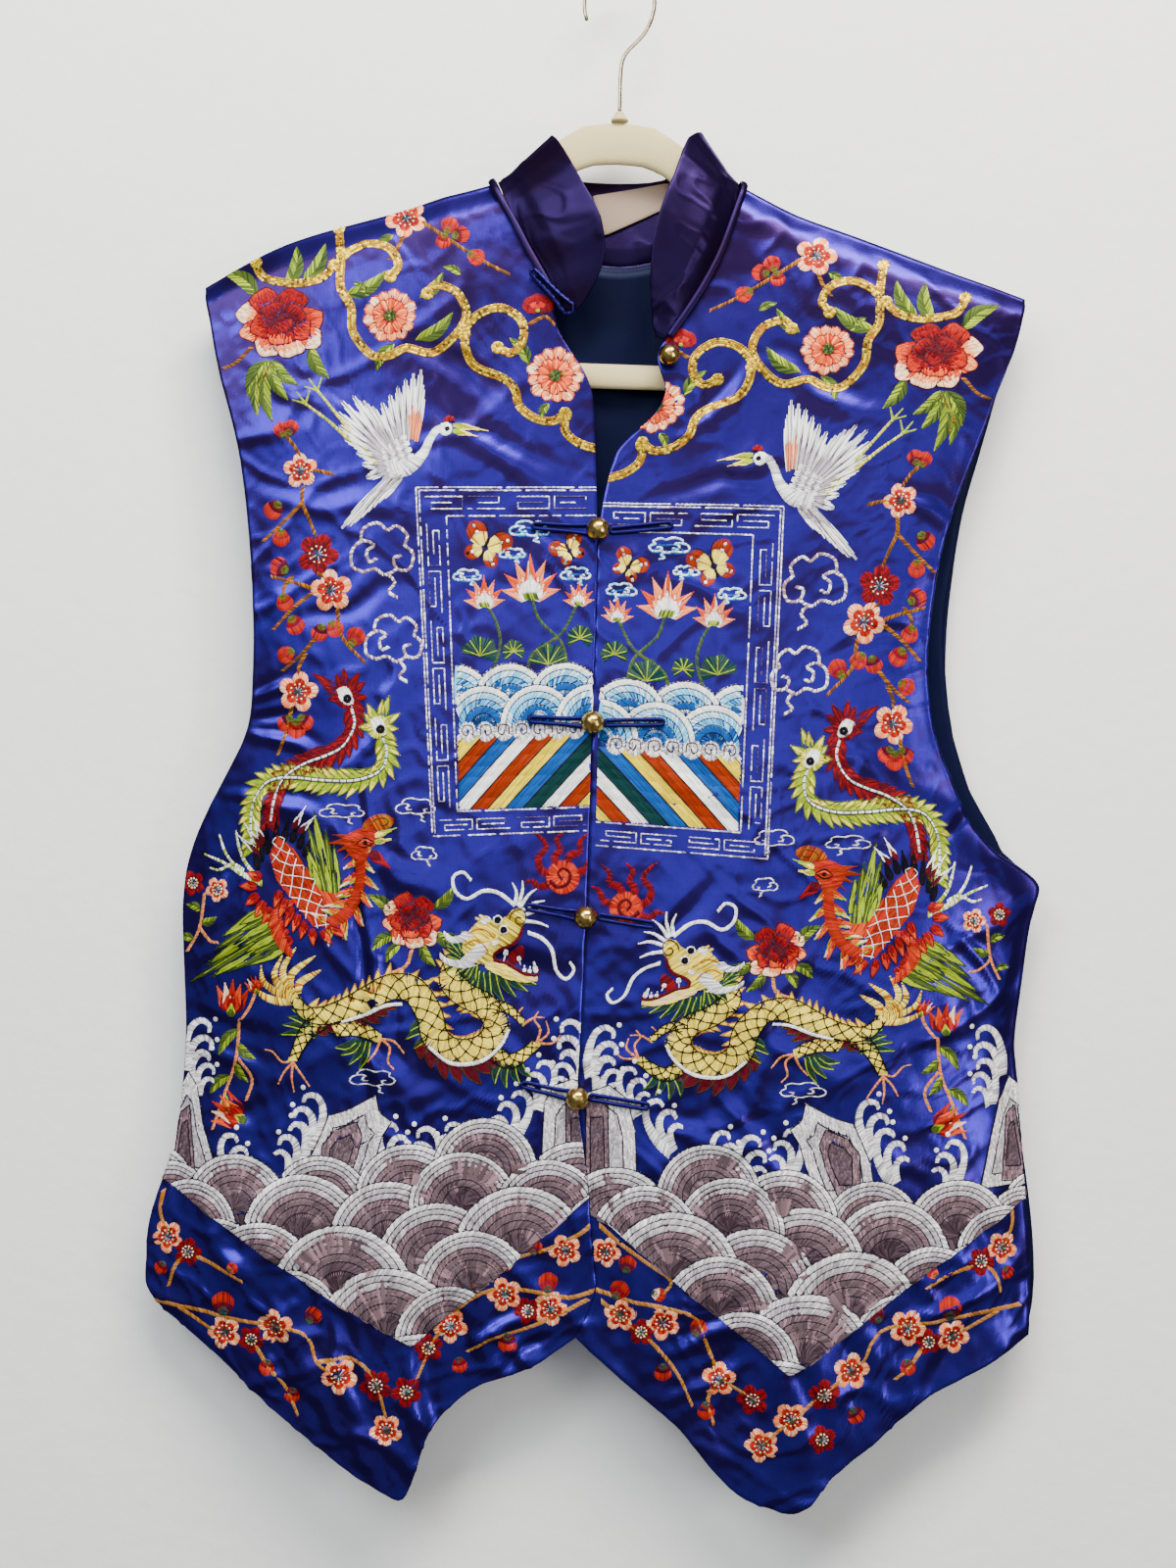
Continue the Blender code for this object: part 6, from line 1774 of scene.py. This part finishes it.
TAIL_FLAMES = (
    ((302, 1016), (288, 1006), (282, 992), (290, 974)), ((304, 1014), (298, 1000), (304, 988), (324, 974)),
    ((304, 1014), (292, 998), (292, 984), (304, 966)), ((300, 1018), (282, 1010), (270, 1000), (268, 984)),
    ((300, 1020), (284, 1020), (268, 1014), (258, 1002)), ((306, 1012), (308, 1002), (316, 996), (330, 988)),
)
DRAGON_WHISKERS = (
    ((526, 922), (510, 910), (494, 908), (478, 916), (466, 908), (464, 894), (474, 889), (482, 897)),
    ((540, 950), (554, 956), (564, 968), (568, 988), (578, 997), (586, 988), (582, 980)),
)
NOSE_HAIRS = (
    ((534, 928), (546, 920), (556, 918)), ((536, 932), (550, 928), (562, 930)),
    ((532, 924), (540, 912), (548, 906)), ((526, 922), (528, 910), (524, 900)),
    ((536, 938), (550, 940), (560, 944)), ((530, 922), (534, 908), (534, 898)),
)
HORNS = (
    (((481, 950), (472, 956), (462, 957), (455, 951)), (9, 8, 6, 4)),
    (((482, 980), (472, 982), (458, 979), (451, 973)), (10, 8, 6, 4)),
    (((493, 962), (488, 970), (480, 978), (470, 984)), (12, 15, 12, 4)),
)
SNOUT = (
    (473, 968), (475, 956), (482, 946), (490, 938), (500, 936), (510, 938), (519, 933), (524, 927),
    (532, 925), (538, 930), (538, 939), (533, 944), (531, 950), (526, 958), (518, 963), (510, 966),
    (505, 972), (506, 979), (498, 983), (486, 980), (478, 975),
)
JAW = (
    (494, 977), (506, 980), (516, 982), (526, 988), (536, 993), (549, 993), (549, 999), (536, 1001),
    (522, 998), (507, 992), (497, 986),
)
TONGUE = ((518, 981), (521, 972), (527, 966), (533, 963), (536, 969), (534, 977), (529, 981), (524, 983))
FLAMES = (
    ((562, 892), (552, 886), (550, 874), (558, 864), (552, 854), (544, 848)),
    ((570, 884), (566, 874), (572, 866), (568, 856), (576, 848)),
    ((578, 882), (582, 872), (592, 868), (592, 858), (600, 850)),
    ((588, 890), (598, 886), (602, 876), (610, 872)), ((560, 902), (550, 904), (544, 898), (536, 900)),
)


def tuft(sewn, root, tip, bend, lift=0.3):
    """A hollow tuft: dark green within two pale edges."""
    root, tip, _, _, side = spine(root, tip)
    middle = (root + tip) / 2
    for sign, thread in ((-1, "lime"), (1, "grey_green")):
        bent = middle + side * (bend + sign * 3.2)
        stem_stitch(sewn, (root + side * sign * 2.6, bent, tip), thread, 1.2, 5, lift + 0.1)
    hollow, threads = (root, middle + side * bend, tip), ("sea_green", "dark_leaf")
    satin_stitch(sewn, hollow, (5.5, 6, 1.2), threads, slant=1.4, lift=lift)


def dragon():
    sewn = []
    for path in TAIL_FLAMES:
        satin_stitch(sewn, path, (8, 8, 6, 1.5), ("butter", "butter", "ochre"), lift=0.2)
    for x0, y0, x1, y1, bend in DRAGON_TUFTS:
        tuft(sewn, (x0, y0), (x1, y1), bend)
    for path, reach, width, lean, step in (
        (((324, 1046), (346, 1038), (372, 1034), (394, 1022)), (12, 16, 16, 10), 10, 0.8, 9.0),
        (((432, 1060), (448, 1074), (474, 1084), (500, 1078)), (14, 18, 18, 12), 12, 0.9, 10.0),
    ):
        fringe(sewn, path, reach, width, "crimson", lean, step, 1, 0.3, "dark_gold")
    crest = (17, 21, 21, 20, 18)
    fringe(sewn, DRAGON_BODY[1:], crest, 8.0, ("ochre", "butter", "butter"), 0.6, 9.0, -1, 0.2, "ochre")
    for path, widths in DRAGON_LEGS:
        satin_stitch(sewn, path, widths, "butter", lift=0.35)
        lattice(sewn, path, widths, "black", 11.0, 0.8)
    for path in DRAGON_CLAWS:
        satin_stitch(sewn, path, (2.6, 2.4, 1.4), ("tan", "blush"), lift=0.3)
    satin_stitch(sewn, DRAGON_BODY, DRAGON_WIDTH, "butter", gap=1.15, lift=0.5)
    lattice(sewn, DRAGON_BODY, np.array(DRAGON_WIDTH) * 0.98, "black", 16.0, 0.95)
    for path in (
        ((352, 1040), (372, 1034), (394, 1024), (412, 1022)),
        ((440, 1066), (462, 1082), (492, 1080), (512, 1064), (520, 1048)),
    ):
        satin_stitch(sewn, path, (3.0, 4.0, 3.0), "white", lift=1.2)
    for number in range(16):
        way = math.radians(60 + 17 * number)
        root = (482, 974) + ways(way) * 8
        tip = root + ways(way + 0.5) * chance.uniform(15, 21)
        if tip[0] < MANE_END:
            tuft(sewn, root, tip, 2, 0.55)
    long_and_short(sewn, TONGUE, 50, ("crimson", "crimson", "scarlet"), lift=0.65)
    long_and_short(sewn, JAW, 20, ("butter", "butter", "pale_pink"), smooth=False, lift=0.95)
    long_and_short(sewn, SNOUT, 35, ("butter", "butter", "bright_gold"), smooth=False, lift=1.0)
    for path, widths in (
        (((534, 945), (531, 954), (524, 962), (513, 967), (506, 972), (506, 978)),
         (2.4, 3.4, 3.6, 3.6, 3.4, 3.0)),
        (((506, 978), (518, 981), (528, 987), (538, 992), (548, 993), (550, 988)),
         (3.0, 3.4, 3.6, 3.6, 3.0, 2.0)),
    ):
        satin_stitch(sewn, path, widths, "crimson", slant=1.0, lift=1.3)
    for root, tip, width in (
        ((518, 967), (515, 979), 4.0), ((530, 974), (532, 983), 3.4), ((536, 990), (536, 983), 3.0),
        ((541, 991), (542, 984), 3.0), ((548, 991), (545, 977), 4.4),
    ):
        blade(sewn, root, tip, width, "white", lift=1.5)
    spiral = (
        (521, 937), (523, 930), (531, 926), (537, 930), (537, 938), (532, 942), (527, 939), (528, 934),
        (533, 935),
    )
    stem_stitch(sewn, spiral, ("brown", "dark_gold"), 1.3, 4, 1.5)
    for x, y in ((515, 947), (509, 937)):
        rays(sewn, (x, y), 0.5, 4.8, 0, 360, "white", lift=1.3)
        rays(sewn, (x, y), 0.3, 3.7, 0, 360, "black", lift=1.6)
    for root, tip, width in (
        ((502, 938), (488, 931), 5.0), ((498, 940), (484, 934), 5.0), ((508, 962), (499, 953), 6.0),
        ((507, 962), (509, 951), 4.5),
    ):
        blade(sewn, root, tip, width, ("white", "white", "butter"), lift=1.4)
    stem_stitch(sewn, ((478, 952), (488, 946), (498, 948), (506, 956)), "ochre", 1.3, 5, 1.4)
    stem_stitch(sewn, ((476, 962), (486, 957), (495, 962), (500, 970)), "ochre", 1.3, 5, 1.4)
    for path, widths in HORNS:
        satin_stitch(sewn, path, widths, ("white", "white", "pearl_grey"), slant=0.9, lift=1.2)
    for path in DRAGON_WHISKERS:
        satin_stitch(sewn, path, (4.0, 3.8, 3.4, 3.0), "white", lift=1.2)
    for path in NOSE_HAIRS:
        satin_stitch(sewn, path, (4.0, 3.2, 1.4), "white", lift=1.3)
    for path in FLAMES:
        satin_stitch(sewn, path, (9, 8, 7, 5, 1.5), ("crimson", "scarlet"), lift=0.25)
    rays(sewn, (575, 894), 0.8, 17, 0, 360, ("coral", "salmon", "coral"), lift=0.4)
    whorl = ((562, 898), (570, 904), (580, 900), (582, 890), (575, 885), (570, 890), (574, 896))
    satin_stitch(sewn, whorl, (4, 3.6, 2.4), "crimson", lift=0.8)
    return np.vstack(sewn)


# The badge
# A square panel sewn half on each front. A silver key fret frames waves over slanting stripes
# of many colours. Above them lotuses stand among clouds and butterflies.
BADGE_WIDE, BADGE_TALL = 185.0, 354.0
# The inner edge of the frame, which ends the waves and stripes
BADGE_EDGE = 34
BADGE_CORNERS = {
    "front_right": ((424, 497), (609, 497), (603, 849), (442, 855)),
    "front_left": ((801, 516), (616, 513), (608, 864), (783, 878)),
}
BADGE_BANDS = (
    (1.00, 0.84, ("white",)),
    (0.84, 0.68, ("ice", "ice", "white")),
    (0.68, 0.52, ("sky", "ice")),
    (0.52, 0.34, ("sky",)),
    (0.34, 0.02, ("sky", "deep_teal")),
)
STRIPES = (
    "sea_green", "white", "maize", "orange", "sky", "white", "orange", "maize", "sky", "sea_green", "white",
    "orange", "maize",
)
# Where the first stripe's foot is, the step to the next one, a stripe's width, and how far along and
# up it runs
STRIPE_FIRST, STRIPE_STEP, STRIPE_WIDE = -76, 20.4, 19.2
STRIPE_FOOT, STRIPE_RUN, STRIPE_RISE = 326, 78, 74
STRIPE_PIECES = 7
# One turn of the key pattern, as shares of its length and height
FRET = ((0.08, 0.24), (0.94, 0.24), (0.94, 0.80), (0.22, 0.80), (0.22, 0.52), (0.80, 0.52))


def fret_line(sewn, start, way, count, length, height, out):
    """A run of the key pattern in laid silver thread; every other turn lies the other way round."""
    start, way, out = np.array(start, float), np.array(way, float), np.array(out, float)
    for k in range(count):
        turns = []
        for s, t in FRET:
            if k % 2:
                s, t = 1 - s, 1.04 - t
            turns.append(start + way * length * (k + s) + out * height * t)
        for a, b in zip(turns[:-1], turns[1:]):
            silver_line(sewn, a, b)


def silver_line(sewn, a, b, width=1.5):
    """Laid silver thread. It has lost a stitch here and there, and some short runs are faded."""
    a, b = np.array(a, float), np.array(b, float)
    steps = max(2, int(np.linalg.norm(b - a) / 4.5))
    line = a + (b - a) * np.linspace(0, 1, steps + 1)[:, None]
    held = chance.random(steps) > 0.06
    faded = chance.random() < 0.22 and steps < 12
    threads = ("dull_silver",) if faded else ("silver", "silver", "white")
    ends = line[1:] + (line[1:] - line[:-1]) * 0.1
    lay(sewn, line[:-1][held], ends[held], threads, None, width, 0.45)


def lotus(sewn, x, y, size):
    """A lotus from the side, in seven petals."""
    for lean, reach, threads in (
        (-78, 0.9, ("white", "blush")), (78, 0.9, ("white", "blush")),
        (-50, 1.0, ("white", "pale_pink", "salmon")), (50, 1.0, ("white", "pale_pink", "salmon")),
        (-24, 1.1, ("white", "blush")), (24, 1.1, ("white", "blush")),
        (0, 1.2, ("white", "pale_pink", "salmon")),
    ):
        far = turned_points([(0, -size * reach)], (x, y), -lean)[0]
        blade(sewn, (x, y), far, size * 0.42, threads, lift=0.2 + 0.003 * (90 - abs(lean)))
    foot = ((x - size * 0.2, y), (x + size * 0.2, y))
    satin_stitch(sewn, foot, (size * 0.24, size * 0.24), ("leaf", "lime"), lift=0.6)


def butterfly(sewn, x, y, turn, size):
    """Four orange wings with a knot or two on each, a body and two feelers."""
    for flip in (False, True):
        for base, tip, width in (((2, -1), (20, -17), 17), ((2, 2), (15, 13), 12)):
            base, tip = turned_points([base, tip], (x, y), turn, size, flip)
            blade(sewn, base, tip, width * size, ("butter", "orange", "orange"), True)
            fin = base + (tip - base) * 0.8
            knots(sewn, [fin, base + (tip - base) * 0.55], 3.4, ("white", "black"), 0.6)
        feeler = turned_points([(1, -8), (5, -17), (11, -21)], (x, y), turn, size, flip)
        stem_stitch(sewn, feeler, "black", 1.0, 4)
    body = turned_points([(0, -9), (0, 10)], (x, y), turn, size)
    satin_stitch(sewn, body, (3.6, 2.4), ("black", "slate"), lift=0.6)


def pad(sewn, x, y, r, first, last):
    """A round lotus leaf with veins."""
    def edge(angle):
        return r * (0.93 + 0.07 * np.cos(np.radians(angle * 7)))

    rays(sewn, (x, y), 1.0, edge, first, last, ("sea_green", "grey_green"))
    for angle in np.radians(np.arange(first + 10, last, 36)):
        far = (x, y) + ways(angle) * r * 0.88
        stem_stitch(sewn, ((x, y), ((x, y) + far) / 2, far), "lime", 1.1, 5, 0.5)


def badge(front):
    sewn = []
    for start, way, count, length, height in (
        ((6, 5), (1, 0), 4, 44.5, 22), ((5, 34), (0, 1), 6, 49.0, 22), ((6, 332), (1, 0), 4, 44.5, 18),
    ):
        fret_line(sewn, start, way, count, length, height, way[::-1])
    for x, y, bottom in ((1, 1, 352), (31, 30, 328)):
        for a, b in (((x, y), (BADGE_WIDE, y)), ((x, y), (x, bottom)), ((x, bottom), (BADGE_WIDE, bottom))):
            silver_line(sewn, a, b, 1.8)
    for end in ((BADGE_WIDE, 4), (4, 349)):
        silver_line(sewn, (4, 4), end, 1.8)

    def slant(row, share):
        return np.stack((row + STRIPE_RUN * share, STRIPE_FOOT - STRIPE_RISE * share), axis=-1)

    rows = np.arange(STRIPE_FIRST, BADGE_WIDE + 4, 1.15)
    for piece in range(STRIPE_PIECES):
        uneven = chance.uniform(-0.012, 0.012, len(rows))
        near = np.maximum(piece / STRIPE_PIECES, (BADGE_EDGE - rows) / STRIPE_RUN) + uneven
        far = np.minimum((piece + 1.08) / STRIPE_PIECES, (BADGE_WIDE - rows) / STRIPE_RUN)
        for number, thread in enumerate(STRIPES):
            low = STRIPE_FIRST + number * STRIPE_STEP
            own = (far - near > 0.03) & (rows >= low) & (rows < low + STRIPE_WIDE)
            lay(sewn, slant(rows, near)[own], slant(rows, far)[own], thread, None, 1.45, 0.2)
    for row in STRIPE_FIRST - 0.6 + STRIPE_STEP * np.arange(1, len(STRIPES)):
        ends = [
            slant(row, max(0.0, (BADGE_EDGE - row) / STRIPE_RUN)),
            slant(row, min(1.0, (BADGE_WIDE - row) / STRIPE_RUN)),
        ]
        if ends[1][0] - ends[0][0] > 4:
            stem_stitch(sewn, ends, "slate", 1.2, 6, 0.5)
    waves = [(x, 222 + 22 * row, 42) for row in range(2) for x in range(34 + 30 * (row % 2), 240, 60)]
    found = []
    sea(found, waves, ((0, 250), (200, 250)), BADGE_BANDS, lift=0.35, gap=1.25)
    for wave in found:
        x = wave[:, [0, 2]]
        sewn.append(wave[(x.min(axis=1) > BADGE_EDGE) & (x.max(axis=1) < BADGE_WIDE)])
    for k, x in enumerate(range(46, 184, 20)):
        rays(sewn, (x, 248), 1.0, 10.5, 0, 360, ("white", "pearl_grey"), lift=0.5)
        curl = ((x - 6, 251), (x - 5, 243), (x + 4, 242), (x + 6, 249), (x + 1, 252), (x - 1, 247))
        if k % 2 == 0:
            curl = [(2 * x - a, b) for a, b in curl]
        satin_stitch(sewn, curl, (1.6, 1.6), ("mauve", "slate"), lift=0.8)
    for stem in (
        ((156, 186), (150, 160), (126, 136), (118, 112)), ((76, 186), (84, 160), (80, 138), (70, 120)),
        ((112, 188), (120, 170), (150, 150), (166, 122)),
    ):
        twig(sewn, stem, 3.6, 3.0, ("leaf", "grey_green"))
    for place in (
        (62, 172, 22, 190, 380), (136, 182, 24, 185, 372), (170, 156, 15, 150, 400),
        (98, 168, 13, 130, 400),
    ):
        pad(sewn, *place)
    for place in ((117, 112, 36), (68, 120, 25), (168, 120, 19)):
        lotus(sewn, *place)
    butterfly(sewn, 70, 62, 24, 1.15)
    butterfly(sewn, 158, 66, -30, 0.85)
    for x, y, wide, tall in ((116, 46, 40, 22), (164, 92, 30, 18), (50, 92, 28, 16), (98, 70, 26, 14)):
        cloud(sewn, x, y, wide, tall, 2.2, ("white", "ice"))
        cloud(sewn, x + 1, y + 3, wide - 8, tall - 8, 1.6, "sky", 0.15)
    sewn = np.vstack(sewn)
    a, b, c, d = np.array(BADGE_CORNERS[front], float)
    for end in (0, 2):
        s, t = sewn[:, end:end + 1] / BADGE_WIDE, sewn[:, end + 1:end + 2] / BADGE_TALL
        sewn[:, end:end + 2] = (a * (1 - s) + b * s) * (1 - t) + (d * (1 - s) + c * s) * t
    return sewn


# The pair
# The wearer's left front repeats the right one the other way round, a little lower, and is drawn
# anew for it.

# Heights on the chart with, for each, what x on both sides adds up to, or how much lower the left is
PAIR_SUM = ((200, 320, 480, 700, 950, 1020, 1300, 1400), (1248, 1244, 1226, 1216, 1213, 1199, 1202, 1210))
PAIR_DROP = ((200, 300, 400, 700, 950, 1050, 1150, 1400), (42, 36, 30, 33, 31, 16, 8, 0))


def other_side(stitches):
    """Stitches of the right front, moved to where the left one has them."""
    turned = stitches.copy()
    for end in (0, 2):
        x, y = stitches[:, end], stitches[:, end + 1]
        turned[:, end] = np.interp(y, *PAIR_SUM) - x
        turned[:, end + 1] = y + np.interp(y, *PAIR_DROP)
    return turned


for front in cloth:
    for name, draw in (
        ("scroll", gilt_scroll), ("flowers", flowers), ("crane", crane), ("phoenix", phoenix),
        ("garden", garden), ("dragon", dragon),
    ):
        stitches = draw()
        sew(front + "_" + name, stitches if front == "front_right" else other_side(stitches), front)
    sew(front + "_badge", badge(front), front)

# The room
# A pale wall behind, a pale floor, the camera and soft lights. None of it is part of the vest.
SCALE_PLANE_Y = -15.0
CAMERA_DISTANCE, VIEW_HEIGHT = 1150.0, 880.0
VIEW_CENTRE = (-18.0, -463.0)
WALL_Y, FLOOR_Z, ROOM_REACH, ROOM_TOP = 24.0, -2600.0, 3000.0, 1500.0


def stage_plane(name, corners, colour):
    """A matt plane that shows to the camera alone, and only from its front."""
    material, tree, shader = new_material(name, Roughness=0.9)
    speck = grain(tree, 90.0, 4.0)
    paint(tree, shader, speck, [c * 0.97 for c in colour], colour)
    add_relief(tree, shader, speck, 0.25, 0.002)
    unseen = add_node(tree, "ShaderNodeMath", operation="SUBTRACT", i0=1.0)
    tree.links.new(add_node(tree, "ShaderNodeLightPath").outputs["Is Camera Ray"], unseen.inputs[1])
    back = add_node(tree, "ShaderNodeNewGeometry").outputs["Backfacing"]
    hidden = combined(tree, "ShaderNodeMath", unseen.outputs[0], back, operation="MAXIMUM")
    clear = add_node(tree, "ShaderNodeBsdfTransparent").outputs[0]
    mix = combined(tree, "ShaderNodeMixShader", shader.outputs[0], clear, first=1)
    tree.links.new(hidden, mix.node.inputs[0])
    tree.links.new(mix, tree.nodes["Material Output"].inputs["Surface"])
    add_piece(name, corners, [(0, 1, 2, 3)], [material], smooth=False)


SQUARE_CORNERS = ((-1, -1), (1, -1), (1, 1), (-1, 1))
wall = [(x * ROOM_REACH, WALL_Y, ROOM_TOP if z > 0 else FLOOR_Z) for x, z in SQUARE_CORNERS]
floor = [(x * ROOM_REACH, y * ROOM_REACH, FLOOR_Z) for x, y in SQUARE_CORNERS]
stage_plane("stage_wall", wall, (0.90, 0.90, 0.885))
stage_plane("stage_floor", floor, (0.86, 0.86, 0.84))

camera = bpy.data.objects.new("camera", bpy.data.cameras.new("camera"))
camera.data.sensor_fit = "VERTICAL"
camera.data.sensor_height = 24.0
camera.data.lens = 24.0 * CAMERA_DISTANCE / VIEW_HEIGHT
camera.location = Vector((VIEW_CENTRE[0], SCALE_PLANE_Y - CAMERA_DISTANCE, VIEW_CENTRE[1])) * MM
camera.rotation_euler = (math.radians(90), 0, 0)
bpy.context.scene.collection.objects.link(camera)
bpy.context.scene.camera = camera

LIT_SPOT = Vector((-0.02, 0.0, -0.46))
# x, y, z, width, height, watts, colour
LIGHTS = {
    "window_left": (-0.9, -1.55, 0.62, 1.0, 1.0, 36.0, (0.90, 0.96, 1.0)),
    "ceiling": (0.30, -1.0, 0.95, 1.2, 0.5, 72.0, (1.0, 0.96, 0.90)),
    "fill_right": (1.5, -1.5, -0.6, 0.5, 0.9, 16.0, (1.0, 0.97, 0.94)),
    "card_front": (0.1, -1.9, -0.2, 1.6, 0.9, 7.0, (0.94, 0.96, 1.0)),
    "behind": (0.3, 1.7, 0.2, 2.2, 2.0, 34.0, (1.0, 0.98, 0.96)),
}
for name, (x, y, z, width, height, watts, colour) in LIGHTS.items():
    lamp = bpy.data.lights.new(name, "AREA")
    lamp.shape, lamp.size, lamp.size_y = "RECTANGLE", width, height
    lamp.energy, lamp.color = watts, colour
    item = bpy.data.objects.new(name, lamp)
    item.location = (x, y, z)
    item.visible_camera = False
    item.rotation_euler = (LIT_SPOT - item.location).to_track_quat("-Z", "Y").to_euler()
    bpy.context.scene.collection.objects.link(item)
world = bpy.data.worlds.new("room")
world.use_nodes = True
sky = world.node_tree.nodes["Background"]
sky.inputs["Color"].default_value = (0.95, 0.97, 1.0, 1)
sky.inputs["Strength"].default_value = 0.20
bpy.context.scene.world = world
